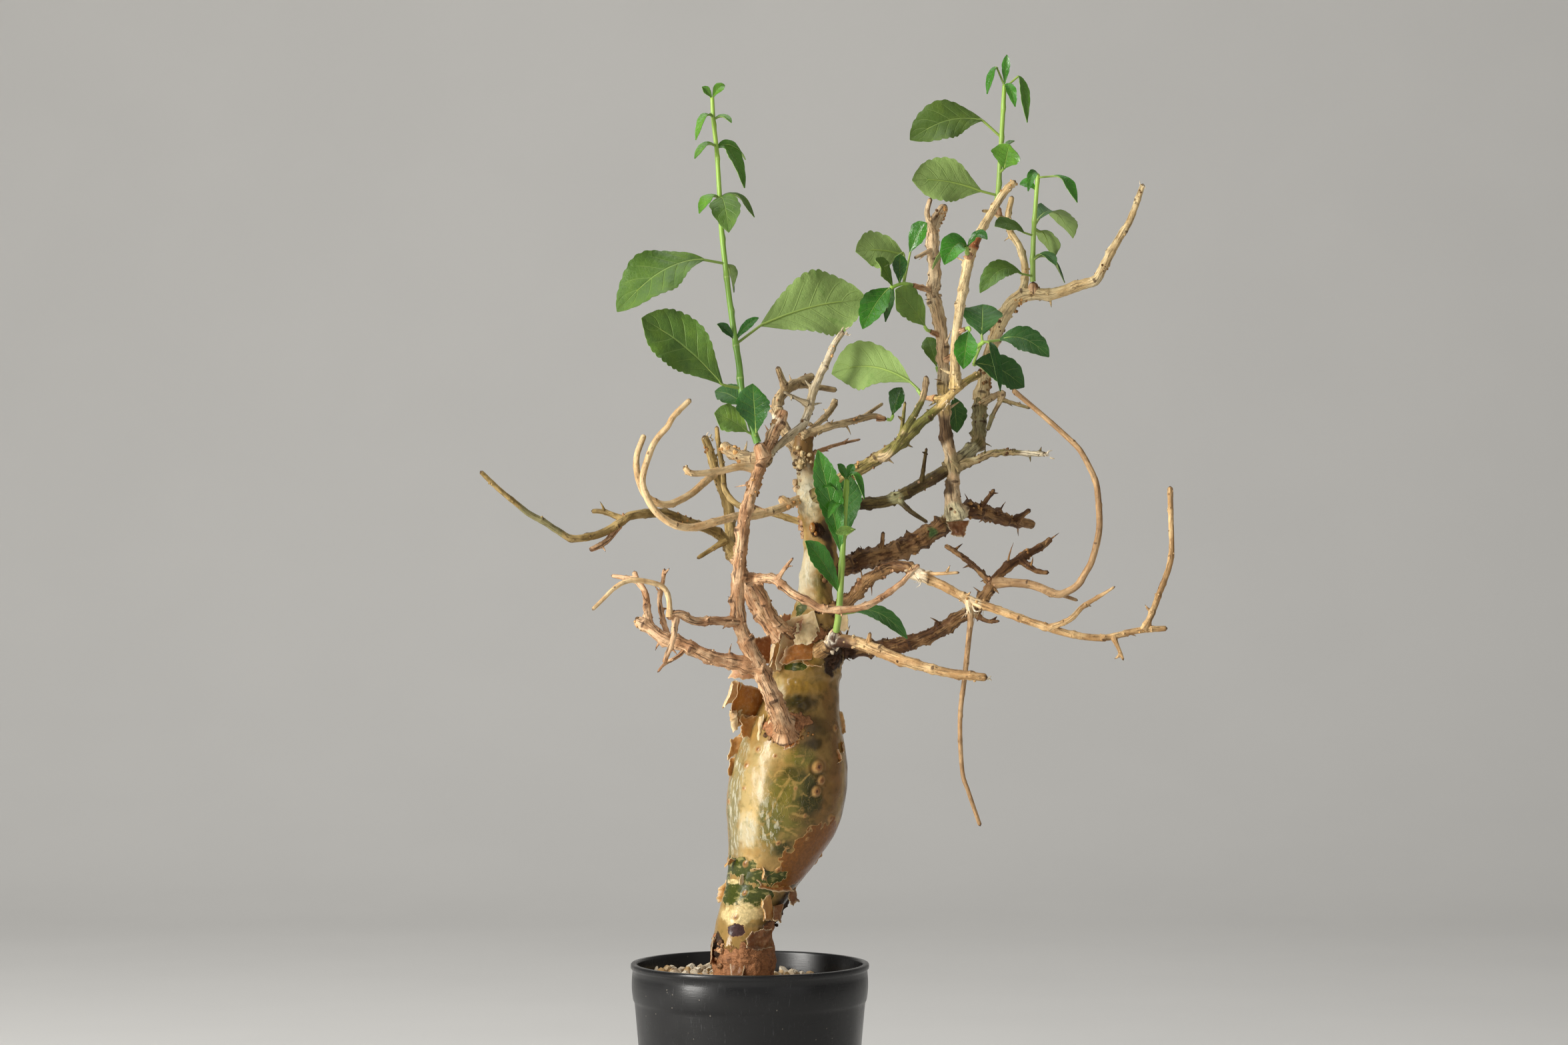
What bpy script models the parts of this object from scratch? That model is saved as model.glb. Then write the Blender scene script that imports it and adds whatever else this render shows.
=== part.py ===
"""A commiphora in a small round nursery pot: a swollen, peeling trunk with wandering twigs and green shoots.

The lists hold millimetres: X runs to the right, Y to the back and Z up, from the middle of the pot's underside.
"""

import math
import random

import bmesh
import bpy
from mathutils import Vector, geometry, noise

MM = 0.001
SEED = 7

# Pot, turned from its profile
RIM_RADIUS = 52.5
POT_HEIGHT = 112.0
BASE_RADIUS = 42.0
WALL = 1.7
FLOOR = 3.0
LIP_HEIGHT = 2.4
COLLAR_HEIGHT = 17.0
COLLAR_STEP = 1.1
POT_STEPS = 36
DRAIN_HOLES = 6
DRAIN_RADIUS = 4.0
DRAIN_RING = 25.0
DRAIN_TURN = 0.35

# Gravel in the pot
SOIL_TOP = 103.5
SOIL_CLEARANCE = 0.3
PEBBLE_PITCH = 8.0
PEBBLE_HEIGHT = 4.2
PEBBLE_MARGIN = 17.5
HEAP_RISE = 2.2

# Wood and leaves
CROWN_DEPTH = 1.4
SEAT_GAP = 0.3
TRUNK_SIDES = 16
TRUNK_LUMPS = 0.035
ROOT_DEPTH = 60.0
BLADE_THICKNESS = 0.8
PETIOLE_HALF_WIDTH = 0.6
TOOTH_DEPTH = 0.16
BLADE_FOLD = 0.16
SIX_SIDED_RADIUS = 1.85
FRONT = (0.0, -0.86, 0.5)
UP = (0.0, -0.35, 0.94)
LEFT_UP = (-0.5, -0.6, 0.6)
RIGHT_UP = (0.5, -0.6, 0.6)

# Trunk: height, middle from left to right, radius
TRUNK = (
    (ROOT_DEPTH, -2.6, 9.0), (85, -2.6, 12.2), (103, -2.6, 13.2), (110, -2.8, 13.6), (117, -3.2, 14.1),
    (124, -2.9, 12.9), (130, -2.1, 12.9), (135, 0, 13.8), (140, 2.6, 15), (146, 5.1, 16),
    (153, 8.4, 18.1), (161, 11.5, 20.8), (168, 13.5, 23.5), (175, 14.9, 25.3), (183, 15.6, 26.2),
    (190, 16.1, 26.2), (197.5, 17, 25.5), (205, 17.6, 24.4), (212, 18.4, 22.8), (219.5, 19.7, 20.5),
    (228, 22.2, 17.2), (235, 23.9, 15.1), (241.5, 24.5, 14.3), (248, 26.3, 12.4), (255, 28, 10.5),
    (263.5, 28.6, 8.2), (272, 28.9, 7), (281, 28.2, 6.4), (290, 30.7, 7.5), (297, 30.3, 6.6),
    (305, 29.7, 6.2), (319, 27, 6.2), (327, 25.6, 4.5), (333, 24, 3.8), (341, 22.9, 3), (346, 23.6, 2),
)

# Flakes of bark: direction of the fixed edge and of the free edge in degrees (0 is right, -90 the front),
# lower and upper edge, how far the free edge stands off
SIDE_FLAKES = (
    (-128, -186, 208, 226, 6.5),
    (-132, -178, 196, 207, 5.0),
    (-140, -172, 184, 194, 3.5),
    (-120, -80, 232, 252, 5.5),
    (-62, -100, 254, 266, 3.5),
    (30, 78, 205, 222, 4.5),
    (-20, 22, 166, 180, 3.5),
    (110, 150, 176, 198, 4.0),
    (-150, -196, 119, 135, 3.5),
    (-70, -30, 118, 131, 3.0),
    (60, 110, 128, 144, 3.0),
)

# Woody twigs: radii spread evenly over the points, then the points
WOOD = {
    "front_left": ((4.2, 3.0, 2.6, 2.4), (
        (17, -12, 209), (12, -25, 226), (4, -30, 244), (-3, -32, 259), (-5, -33, 272), (-4, -32, 289),
        (-2, -30, 308), (2, -27, 322), (6, -23, 334), (14, -17, 352), (15, -16, 355))),
    "front_left_tip": ((1.7, 1.9, 1.3), (
        (6, -23, 334), (12, -20, 339), (19, -16, 345), (24, -13, 350), (28, -11, 364), (31, -10, 371),
        (34, -9, 377), (37, -8, 384), (41, -8, 390))),
    "front_left_tip_spur": ((1.2, 0.5), ((25, -12.5, 358), (14.5, -16, 363))),
    "left_stub": ((3.2, 2.8, 2.4), (
        (5, -29.5, 244), (-4, -31, 245.5), (-16, -33, 248), (-27, -34, 253), (-36, -34, 256),
        (-43, -33, 261), (-49, -32, 264))),
    "left_stub_hook": ((1.0, 0.5), ((-27, -34, 253), (-30, -36, 249), (-36, -40, 245.5), (-39, -41, 242))),
    "left_stub_riser": ((1.8, 1.4, 1.1), (
        (-43, -33, 261), (-44, -27, 268), (-45, -24, 275.5), (-48.5, -22, 281), (-50, -21, 285))),
    "left_stub_riser_thorn": ((1.3, 0.8), ((-48.5, -22, 281), (-60, -20, 283))),
    "left_stub_twig": ((1.4, 0.8), (
        (-34, -34, 255), (-37, -26, 263), (-39, -20, 272), (-38, -17, 278), (-37, -15, 286))),
    "left_bracket": ((2.0, 1.7), (
        (-3, -32, 263), (-14, -38, 264), (-23, -42, 264), (-29, -45, 267), (-35, -47, 266))),
    "left_bracket_arc": ((1.2, 1.1, 0.8), (
        (-33.5, -46.5, 266), (-34, -47, 274), (-37, -48, 279), (-46, -50, 281.5), (-52, -51, 281),
        (-57, -52, 278), (-61, -53, 274), (-66, -54, 269))),
    "left_bracket_drop": ((1.4, 1.0), ((-31, -45.5, 266), (-32, -45, 257), (-35, -44, 249), (-36, -43, 246))),
    "front_crosser_root": ((2.4, 2.0), ((22, -3, 254), (11, -16, 264), (5, -25, 276), (1, -28.5, 281))),
    "front_crosser": ((2.0, 1.8, 1.4, 1.0), (
        (0, -29, 281.5), (8, -34, 282), (12, -36, 281), (18, -38, 276), (25, -39, 272.5), (32, -39, 269),
        (44, -39, 269), (51.5, -39, 271), (59, -38, 275.5), (65, -37, 280), (69, -36, 284), (73, -35, 288))),
    "front_crosser_thorn": ((1.1, 0.5), ((12, -36, 281), (15, -37.5, 286), (19, -38, 291))),
    "back_left": ((3.2, 2.8, 2.6), ((16, -1, 250), (3, 2, 268), (-1.5, 6, 278), (-7, 10, 292))),
    "back_left_arm": ((2.4, 2.2, 1.9, 1.5, 1.3, 1.0), (
        (-6, 10, 291), (-13, 8, 300), (-18, 5, 303), (-27, 0, 306), (-38, -8, 310), (-51.5, -15, 309),
        (-56, -17, 306), (-65, -20, 301), (-76, -24, 299), (-82, -26, 302), (-88, -28, 306),
        (-95, -30, 310), (-101, -32, 315), (-107, -34, 320), (-115, -37, 328))),
    "back_left_arm_high": ((1.4, 1.0), ((-54, -16, 307), (-63, -15, 310.5), (-69, -14, 311))),
    "back_left_arm_low": ((1.4, 1.2), ((-57, -17, 305), (-62, -18, 298), (-69, -23, 294))),
    "back_left_arm_root": ((1.4, 0.8), ((-11, 8, 298), (-23.5, 4, 290))),
    "back_riser": ((2.8, 2.3, 1.7), (
        (-7, 10, 291), (-9, 16, 304), (-10, 20, 314), (-13, 22, 322), (-16, 23, 330), (-18.5, 23, 339),
        (-21, 22, 345))),
    "back_riser_arc": ((1.7, 1.6, 1.3), (
        (-15, 23, 329), (-21.5, 16, 323), (-26, 12, 319), (-31, 8, 316), (-36, 5, 314), (-41, 3, 314.6),
        (-46, 2, 318), (-48.5, 2, 323), (-50, 3, 329), (-50, 5, 336), (-47, 9, 345))),
    "neck_back_twig": ((1.5, 1.3, 1.0), (
        (26, 0, 305), (10, 3, 310), (-4, 8, 313), (-11, 10, 320), (-12, 11, 328), (-14, 12, 340),
        (-15, 12, 349))),
    "left_loop": ((2.2, 1.8, 1.6, 1.4, 1.2), (
        (26, 1, 317), (19, -5, 315), (13, -9, 312), (1.5, -15, 309), (-4, -18, 309), (-12, -22, 307),
        (-23.5, -28, 304), (-31, -31, 304.6), (-37, -33, 308), (-41, -34, 312), (-44, -35, 317.5),
        (-45.6, -36, 325), (-42, -36, 337), (-39, -35, 342.5), (-35, -35, 347), (-32, -34, 352),
        (-25, -32, 359))),
    "left_loop_boss": ((2.0, 1.4), ((17, -6.5, 313), (13, -7, 317.5))),
    "front_left_twig": ((1.8, 1.5, 1.2), (
        (4, -24, 329), (-4, -28, 330), (-13, -32, 328), (-24, -37, 327), (-28, -38, 330))),
    "scarred_stub": ((2.8, 2.5), ((7, -22, 334), (-2, -14, 334), (-8, -8, 337), (-12, -4, 340))),
    "back_centre": ((2.8, 2.5, 2.0), (
        (24.5, 1, 332), (16, 14, 346), (12, 20, 355), (13, 24, 362), (18, 27, 367), (28.5, 33, 372.5))),
    "back_centre_side": ((1.5, 1.2), ((21, 28.5, 368.5), (32, 34, 367), (39, 36, 366))),
    "back_centre_stub": ((1.6, 1.3), ((16, 26, 365), (12, 22, 376))),
    "middle_twig": ((1.8, 1.5, 1.2), ((22.5, -1, 344), (34, 0, 348), (42, 3, 350), (54, 6, 353), (59, 6, 352))),
    "middle_twig_fork": ((1.0, 0.7), ((49, 5, 352), (59, 10, 359))),
    "middle_twig_back": ((1.3, 1.5), ((24, 1, 344), (35, 12, 355), (38, 16, 361))),
    "middle_thorn": ((1.1, 0.5), ((24, 0, 335), (37, 6, 340), (49, 10, 343))),
    "right_diagonal": ((3.0, 2.8, 2.6, 2.0, 1.5), (
        (27, -1, 316), (37, -10, 322.5), (43, -14, 327), (51, -17, 331), (62, -20, 338), (68, -21, 343),
        (74, -22, 349), (81, -22, 355), (91, -22, 365), (100.5, -22, 371))),
    "right_diagonal_riser": ((1.7, 1.5, 1.2), (
        (56, -18.5, 334), (60, -23, 335), (65, -27, 342), (68, -30, 347.5), (72, -32, 354), (75, -34, 361),
        (76, -35, 369))),
    "right_diagonal_spur": ((1.0, 0.6), ((65.5, -27.5, 343), (67, -33, 358))),
    "right_diagonal_leaf_twig": ((1.3, 1.1), ((86, -22, 360), (81, -15, 360), (78, -12, 360))),
    "pale_upright": ((2.2, 2.0, 2.3, 1.8, 1.5), (
        (89.5, -22, 364), (89, -22, 378), (90, -21, 390), (93, -19, 409), (96, -18, 422.5), (99, -17, 430),
        (103, -16, 437), (111, -14, 450), (116, -14, 455))),
    "tall_riser": ((3.4, 2.8, 2.6, 2.6, 3.0, 2.6, 2.8, 2.2), (
        (92, 15, 308), (90, 14, 317), (90, 14, 331), (87, 13, 346), (86, 12, 361), (86, 12, 375),
        (85, 12, 390), (83, 12, 401), (81, 12, 409), (82, 12, 417), (81, 12, 431), (82, 12, 439),
        (87, 12, 447.5))),
    "tall_riser_tip": ((1.5, 1.0), ((81.5, 11.5, 435), (78.5, 8, 443), (80, 7, 450))),
    "tall_riser_thorn": ((1.1, 0.7), ((82, 12, 428), (72.6, 5, 423))),
    "thick_right": ((3.8, 3.8, 3.8, 3.0, 2.0), (
        (30, 0, 284), (43, 8, 287), (51, 10, 290), (62, 13, 292.5), (71, 15, 296), (79, 16, 300.5),
        (87, 17, 305), (94, 18, 311), (103, 22, 311), (110, 26, 309), (116, 30, 307), (128.5, 36, 305))),
    "thick_right_fork": ((1.5, 1.0), ((119, 31, 306.5), (126, 28, 312))),
    "thick_right_thorn": ((1.3, 0.8), ((102, 21, 311), (109, 17, 321))),
    "thick_right_stub": ((1.2, 0.8), ((58, 12, 291), (59, 8, 302))),
    "cross": ((2.7, 2.6, 2.8), (
        (28, 0, 310), (47, 6, 314), (58, 8, 315), (65, 10, 317), (80, 13, 325), (88, 14, 330))),
    "cross_drop": ((1.4, 0.8), ((65, 10, 317), (71, 6, 311), (78.5, 4, 306))),
    "cross_thorn": ((1.2, 0.6), ((76, 12, 323), (78, 4, 339))),
    "kinked": ((3.0, 2.8, 3.0, 2.6), (
        (89, 14, 330), (98, 20, 338), (102, 23, 342.5), (103, 26, 355), (103.5, 28, 364))),
    "kinked_side": ((1.6, 1.2, 1.0, 0.9), ((103, 27, 359), (113, 20, 364), (109, 22, 355), (106, 21, 347))),
    "kinked_thorn": ((1.0, 0.7), ((111, 21, 361.5), (125, 17, 357))),
    "kinked_low": ((1.9, 1.6, 1.1), ((92, 15, 331), (101, 12, 334), (110, 8, 337), (130, -3, 336))),
    "long_riser": ((2.6, 2.8, 3.2, 2.8, 2.4, 2.0, 1.7, 1.2), (
        (103.5, 28, 361), (107, 30, 379.5), (110, 31, 389), (113, 31, 397), (117, 31, 404), (122, 30, 408),
        (128, 29, 409), (136, 28, 409), (149, 26, 413), (155, 25, 415), (158, 24, 420), (162, 22, 428),
        (166, 20, 435), (170, 18, 442), (175, 14, 457))),
    "long_riser_thorn": ((1.3, 0.8), ((112, 31, 395), (106, 27, 404))),
    "back_stem": ((1.9, 1.6, 1.3), (
        (122, 30, 407), (124, 36, 415), (124.4, 40, 423), (122, 42, 432), (118.5, 44, 438),
        (117, 44, 445), (119, 44, 455))),
    "back_stem_spur": ((1.3, 1.2, 0.7), ((118, 44, 442), (111, 44, 447), (105, 42, 448))),
    "lower_right": ((4.2, 3.4, 2.9, 2.6, 2.2, 1.8, 1.2), (
        (26, 0, 246), (40, 2, 250), (51, 2, 250.5), (62, 0, 251), (76, -4, 255), (84, -6, 259),
        (91, -8, 264), (98.5, -9, 268), (103, -10, 274), (109, -10, 283), (118, -6, 290),
        (128.5, -1, 295.5), (133, 1, 299))),
    "lower_right_back": ((1.3, 1.1), ((106, -10, 279), (96, -3, 289), (86, 2, 296))),
    "lower_right_stub": ((1.4, 1.0), ((118, -6, 290), (125, -8, 285), (131, -9, 284))),
    "lower_right_thorn": ((1.2, 0.6), ((97, -9, 267), (103.5, -12, 263), (109, -14, 263))),
    "great_arc": ((2.0, 1.7, 1.5, 1.4, 1.3, 1.2, 1.1), (
        (107, -10, 280), (122, -15, 279), (133, -18, 275), (138, -19, 276), (142.5, -20, 279),
        (145.5, -21, 284), (148.5, -22, 290), (151.5, -22, 303), (151, -22, 317), (150, -21, 324),
        (147, -20, 331), (143, -19, 338), (137, -18, 344), (130.5, -17, 350), (114.5, -14, 364))),
    "great_arc_thorn": ((1.1, 0.7), ((131, -17.5, 276), (143, -15, 272))),
    "rough_link": ((2.8, 2.4, 2.2), (
        (30, 1, 264), (42, -8, 271), (47, -12, 276), (51.5, -16, 281), (56, -20, 284), (62, -23, 287),
        (68, -26, 286.6), (73, -29, 283.5))),
    "long_right": ((2.2, 2.0, 1.8, 1.6, 1.4, 1.2), (
        (70, -27.5, 285), (76, -30, 282), (83, -33, 279), (94, -36, 273), (108, -40, 268), (122, -43, 263),
        (137, -45, 258.5), (151, -45, 257), (165, -45, 260), (178, -45, 261))),
    "long_right_riser": ((1.4, 1.3, 1.2), (
        (168, -45, 260), (171.6, -44, 267.6), (174.5, -43, 275), (180, -41, 290.6), (180.4, -38, 308.7),
        (180.3, -36, 321.6))),
    "long_right_thorn": ((1.3, 1.1, 0.5), (
        (128, -44, 261), (136.5, -47, 265), (142, -48, 270.5), (149, -50, 275), (155, -52, 279))),
    "long_right_down_thorn": ((1.1, 0.6), ((155, -45, 257.5), (159, -48, 247.5))),
    "long_right_root_thorn": ((1.0, 0.6), ((72, -28.5, 284), (80, -34, 284), (90, -38, 284.6))),
    "hanging_twig": ((1.4, 1.2, 1.0, 0.9), (
        (94, -36, 273), (94.7, -38, 264.6), (94, -37, 256), (92.4, -36, 240), (90.4, -36, 222),
        (91.3, -36, 200), (94, -37, 190.5), (99, -37, 176))),
    "pale_low": ((3.4, 3.0, 2.6, 2.2, 1.7), (
        (28, -4, 248), (35, -16, 252.5), (37, -22, 255), (43, -27, 254.6), (50, -31, 253), (63, -38, 248),
        (71, -41, 245.5), (85, -44, 242), (101.5, -46, 240))),
    "pale_low_thorn": ((1.2, 0.7), ((51, -32, 253), (52, -33, 259))),
}

# Short spurs that the green shoots stand on: root, tip, radius
SPURS = {
    "shoot_left": ((6, -23.5, 334), (3.6, -23.8, 340.5), 2.2),
    "shoot_front": ((37, -22.5, 255), (37.6, -26, 259.5), 2.2),
    "shoot_upper_right": ((112, 44, 446.2), (112, 44, 450.5), 1.6),
    "shoot_right": ((127.5, 29, 409), (127.2, 28.6, 414.5), 1.8),
    "spray_centre": ((81, 12, 409), (71.5, 4.5, 411), 1.2),
    "leaf_centre": ((84.5, 12, 389), (79.5, 8.5, 391), 1.1),
    "spray_upright": ((95.5, -18, 421), (94.4, -22.5, 422.5), 1.3),
    "leaf_middle": ((81, -15, 360), (77, -11.2, 360.4), 1.1),
    "leaf_twig": ((56, 6, 352.5), (60.5, 5.9, 351.8), 1.1),
    "spray_right": ((86, 12, 378), (99, -3.5, 383), 1.3),
    "leaf_front": ((90, -21, 388.5), (93.8, -24, 389.8), 1.0),
    "leaf_back": ((86, 12, 361), (89, 16.5, 362.5), 1.1),
    "leaf_back_left": ((86, 12, 371), (84.3, 16, 373), 1.0),
}

# Green stems, from the spur's tip on: radii, then points
STEMS = {
    "shoot_left": ((1.75, 1.6, 1.4, 1.2, 1.0, 0.9), (
        (1, -24, 348), (-3, -22, 361), (-4.4, -20, 374), (-6, -18, 384), (-9, -14, 405), (-12, -10, 431),
        (-13, -8, 446), (-14.4, -6, 468), (-16, -5, 483), (-16.5, -5, 493))),
    "shoot_front": ((1.6, 1.5, 1.3, 1.1), (
        (38.4, -29, 265), (39, -30, 272.5), (40, -30, 290), (41, -30, 308), (42, -30, 325))),
    "shoot_upper_right": ((1.3, 1.2, 1.0), (
        (112.6, 43, 457), (113, 42, 464), (114, 40, 483), (115, 37, 505))),
    "shoot_right": ((1.3, 1.1, 0.9), ((127, 27, 426), (127.3, 26, 437), (128, 25, 448), (129, 24, 463))),
    "spray_centre": ((0.9, 0.8), ((67, 3, 411.5), (61.5, 2, 409.5))),
    "leaf_centre": ((0.8, 0.7), ((77, 7, 393.5),)),
    "spray_upright": ((1.0, 0.9), ((94.2, -24, 425.5),)),
    "leaf_middle": ((0.9, 0.8), ((73, -8.5, 365),)),
    "leaf_twig": ((0.8, 0.7), ((63.5, 5, 354),)),
    "spray_right": ((1.0, 0.9), ((103, -7, 385.5),)),
    "leaf_front": ((0.8, 0.7), ((95.4, -25.5, 388.4),)),
    "leaf_back": ((0.8, 0.7), ((91, 19.5, 361.8),)),
    "leaf_back_left": ((0.8, 0.7), ((83, 18, 376),)),
}

# Leaves: point on the stem, foot of the blade (or None), tip, half width, arch and the way the face looks
LEAVES = {
    "shoot_left": (
        ((-10.6, -11.8, 419), (-19, -15, 420.5), (-57, -26, 398), 9.5, 0.2, UP),
        ((-3.4, -21.6, 364), (-11, -25, 365), (-46, -36, 395), 12.5, 0.12, LEFT_UP),
        ((1.6, -24, 346), (-1.5, -26.5, 347), (-15, -32, 356), 7.0, 0.1, FRONT),
        ((-1.6, -22.8, 356), None, (-15, -16, 366), 4.6, 0.12, UP),
        ((1.4, -24, 347), (2.2, -27.5, 348.5), (1, -34, 365), 7.0, 0.08, FRONT),
        ((-5.9, -18, 383.5), (4, -12.5, 391.5), (51.5, 2, 406), 13.5, 0.1, FRONT),
        ((-6.2, -17.8, 385), None, (4, -17, 395), 2.2, 0.1, FRONT),
        ((-6.2, -17.8, 385), None, (-14, -20, 392), 2.2, 0.1, FRONT),
        ((-10.5, -11.9, 418), None, (-7, -5, 407), 3.0, 0.3, UP),
        ((-13.1, -7.9, 448), None, (-10, -19, 433), 5.6, 0.25, FRONT),
        ((-13.1, -7.9, 448), None, (2, -5, 440), 3.4, 0.3, UP),
        ((-13.1, -7.9, 448), None, (-22, -11, 441), 3.2, 0.3, UP),
        ((-14.5, -6, 470), None, (-2.4, -3, 453), 5.0, 0.35, RIGHT_UP),
        ((-14.6, -6, 470.5), None, (-2, 1, 466), 2.6, 0.2, UP),
        ((-14.6, -6, 471), None, (-24, -11, 465), 2.4, 0.25, UP),
        ((-16.1, -5, 484), None, (-23.5, -12, 473), 2.6, 0.3, LEFT_UP),
        ((-16, -5, 483), None, (-8, -9, 481), 2.4, 0.2, UP),
        ((-16.5, -5, 492), None, (-12, -2, 499), 2.0, 0.1, FRONT),
        ((-16.5, -5, 492), None, (-21, -6, 497), 1.8, 0.1, FRONT),
    ),
    "shoot_front": (
        ((40, -30, 291), None, (29.5, -35, 337), 6.0, 0.04, FRONT),
        ((40.3, -30, 297), (41.5, -27.5, 299), (43.5, -21, 326), 6.2, 0.05, FRONT),
        ((39.1, -30, 275), None, (24, -38, 298), 5.5, 0.08, FRONT),
        ((38.5, -29.2, 266.5), (44, -28, 267), (68, -31, 256), 4.0, 0.2, FRONT),
        ((40.5, -30, 300), None, (48, -34, 304), 2.6, 0.15, FRONT),
        ((41.3, -30, 313), None, (34, -35, 324), 2.6, 0.1, FRONT),
        ((42, -30, 324), None, (49, -32, 320), 2.4, 0.3, UP),
        ((42, -30, 324), None, (38, -33, 331), 2.0, 0.1, FRONT),
        ((42, -30, 324), None, (45, -28, 331), 2.0, 0.1, FRONT),
    ),
    "shoot_upper_right": (
        ((113.9, 40.3, 481), (106, 40, 488.6), (72, 33, 480), 9.0, 0.14, FRONT),
        ((112.5, 43.2, 455), (105.5, 42, 456.5), (73, 35, 461), 9.5, 0.12, FRONT),
        ((113.1, 41.8, 465), (115, 39, 466.5), (117, 33, 477), 5.4, 0.05, FRONT),
        ((113.5, 41, 474), None, (120, 44, 480), 1.8, 0.1, UP),
        ((115, 37.3, 503), (121, 37, 508.5), (125, 34, 487), 2.8, 0.25, RIGHT_UP),
        ((115, 37.1, 504), None, (119.5, 33, 494), 2.4, 0.3, FRONT),
        ((115, 37.1, 504), (112, 37, 512), (107, 35, 500), 2.2, 0.3, LEFT_UP),
        ((115, 37, 504.5), None, (116, 36, 518), 2.0, 0.05, FRONT),
    ),
    "shoot_right": (
        ((127.4, 25.8, 439), (129, 29, 442), (147, 47, 436), 9.0, 0.25, UP),
        ((127.4, 25.9, 438), (129.5, 28, 437), (137, 37, 424), 7.5, 0.25, UP),
        ((127.2, 26.2, 435), (123, 24, 436), (109, 14, 438), 4.2, 0.12, FRONT),
        ((127, 27.2, 424), None, (136.5, 18, 421), 3.8, 0.25, UP),
        ((127, 27.2, 424), None, (142, 34, 414.5), 3.4, 0.3, UP),
        ((127.1, 28.2, 417), (122, 24, 417.5), (102, 9, 408), 5.4, 0.2, FRONT),
        ((129, 24, 462), None, (124, 17, 454), 2.2, 0.3, FRONT),
        ((128.9, 24.1, 461), (136, 22, 461.5), (146, 18, 449), 3.2, 0.2, RIGHT_UP),
        ((128.5, 24.5, 455), None, (121, 26, 458), 2.4, 0.2, FRONT),
    ),
    "spray_centre": (
        ((68, 3.3, 411.4), (68.5, 5, 424), (46.5, -4, 426), 8.0, 0.12, FRONT),
        ((68, 3.3, 411.4), (70.5, 4, 425), (78, 0, 437), 4.0, 0.12, FRONT),
        ((63, 2.2, 410), None, (55, -7, 421), 4.0, 0.1, FRONT),
        ((66, 2.9, 411.2), None, (66, -4, 424), 3.4, 0.1, FRONT),
        ((62, 2, 409.7), None, (50, -5, 391), 5.0, 0.15, FRONT),
        ((64, 2.4, 410.3), None, (60, 8, 395), 2.4, 0.2, FRONT),
    ),
    "leaf_centre": (((77.6, 7.3, 393), None, (63, -1, 408), 6.0, 0.1, FRONT),),
    "spray_upright": (
        ((94.3, -23.7, 425), None, (84, -30, 417.5), 4.6, 0.3, FRONT),
        ((94.3, -23.8, 425.2), None, (102.5, -29, 428), 2.6, 0.3, FRONT),
        ((94.3, -23.4, 424.5), None, (80, -8, 417), 3.2, 0.2, UP),
    ),
    "leaf_middle": (((74, -9.2, 364), (71, -8, 367), (36, 0, 373), 9.0, 0.2, FRONT),),
    "leaf_twig": (((63, 5.2, 353.5), None, (67.5, 1, 365), 4.0, 0.1, FRONT),),
    "spray_right": (
        ((102, -6, 385), (102, -2, 388), (103, 6, 402), 6.8, 0.1, FRONT),
        ((102, -6, 385), (109, -4, 386), (131, -8, 379), 5.4, 0.2, FRONT),
        ((102.6, -6.7, 385.4), (104.5, -10, 385), (109, -17, 363), 2.8, 0.2, RIGHT_UP),
        ((101.8, -5.9, 384.8), (104, -2, 379), (121, 8, 367), 6.2, 0.1, UP),
    ),
    "leaf_front": (((94.8, -25, 388.8), None, (92, -32, 372), 4.4, 0.12, FRONT),),
    "leaf_back": (((90.6, 18.8, 362), None, (92.8, 26, 347), 3.8, 0.15, FRONT),),
    "leaf_back_left": (((83.2, 17.8, 375.6), None, (78, 22, 388), 3.0, 0.08, FRONT),),
}


def crown_point(x, y, z):
    """A point of the crown in metres; the lists are flatter from front to back than the plant."""
    return Vector((x * MM, y * CROWN_DEPTH * MM, z * MM))


def remove_scene_objects():
    for item in list(bpy.data.objects):
        bpy.data.objects.remove(item, do_unlink=True)


def new_collection(name):
    collection = bpy.data.collections.new(name)
    bpy.context.scene.collection.children.link(collection)
    return collection


def new_material(name, colour, roughness):
    material = bpy.data.materials.new(name)
    material.use_nodes = True
    shader = material.node_tree.nodes["Principled BSDF"]
    shader.inputs["Base Color"].default_value = (*colour, 1.0)
    shader.inputs["Roughness"].default_value = roughness
    shader.inputs["Metallic"].default_value = 0.0
    return material


def object_from_bmesh(name, mesh_data, collection, material=None):
    mesh = bpy.data.meshes.new(name)
    mesh_data.to_mesh(mesh)
    mesh_data.free()
    item = bpy.data.objects.new(name, mesh)
    if material:
        mesh.materials.append(material)
    collection.objects.link(item)
    return item


def spread(values, count):
    """The values, read evenly over count places."""
    read = []
    for index in range(count):
        at = index * (len(values) - 1) / max(1, count - 1)
        low = min(int(at), len(values) - 2)
        read.append(values[low] + (values[low + 1] - values[low]) * (at - low))
    return read


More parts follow.
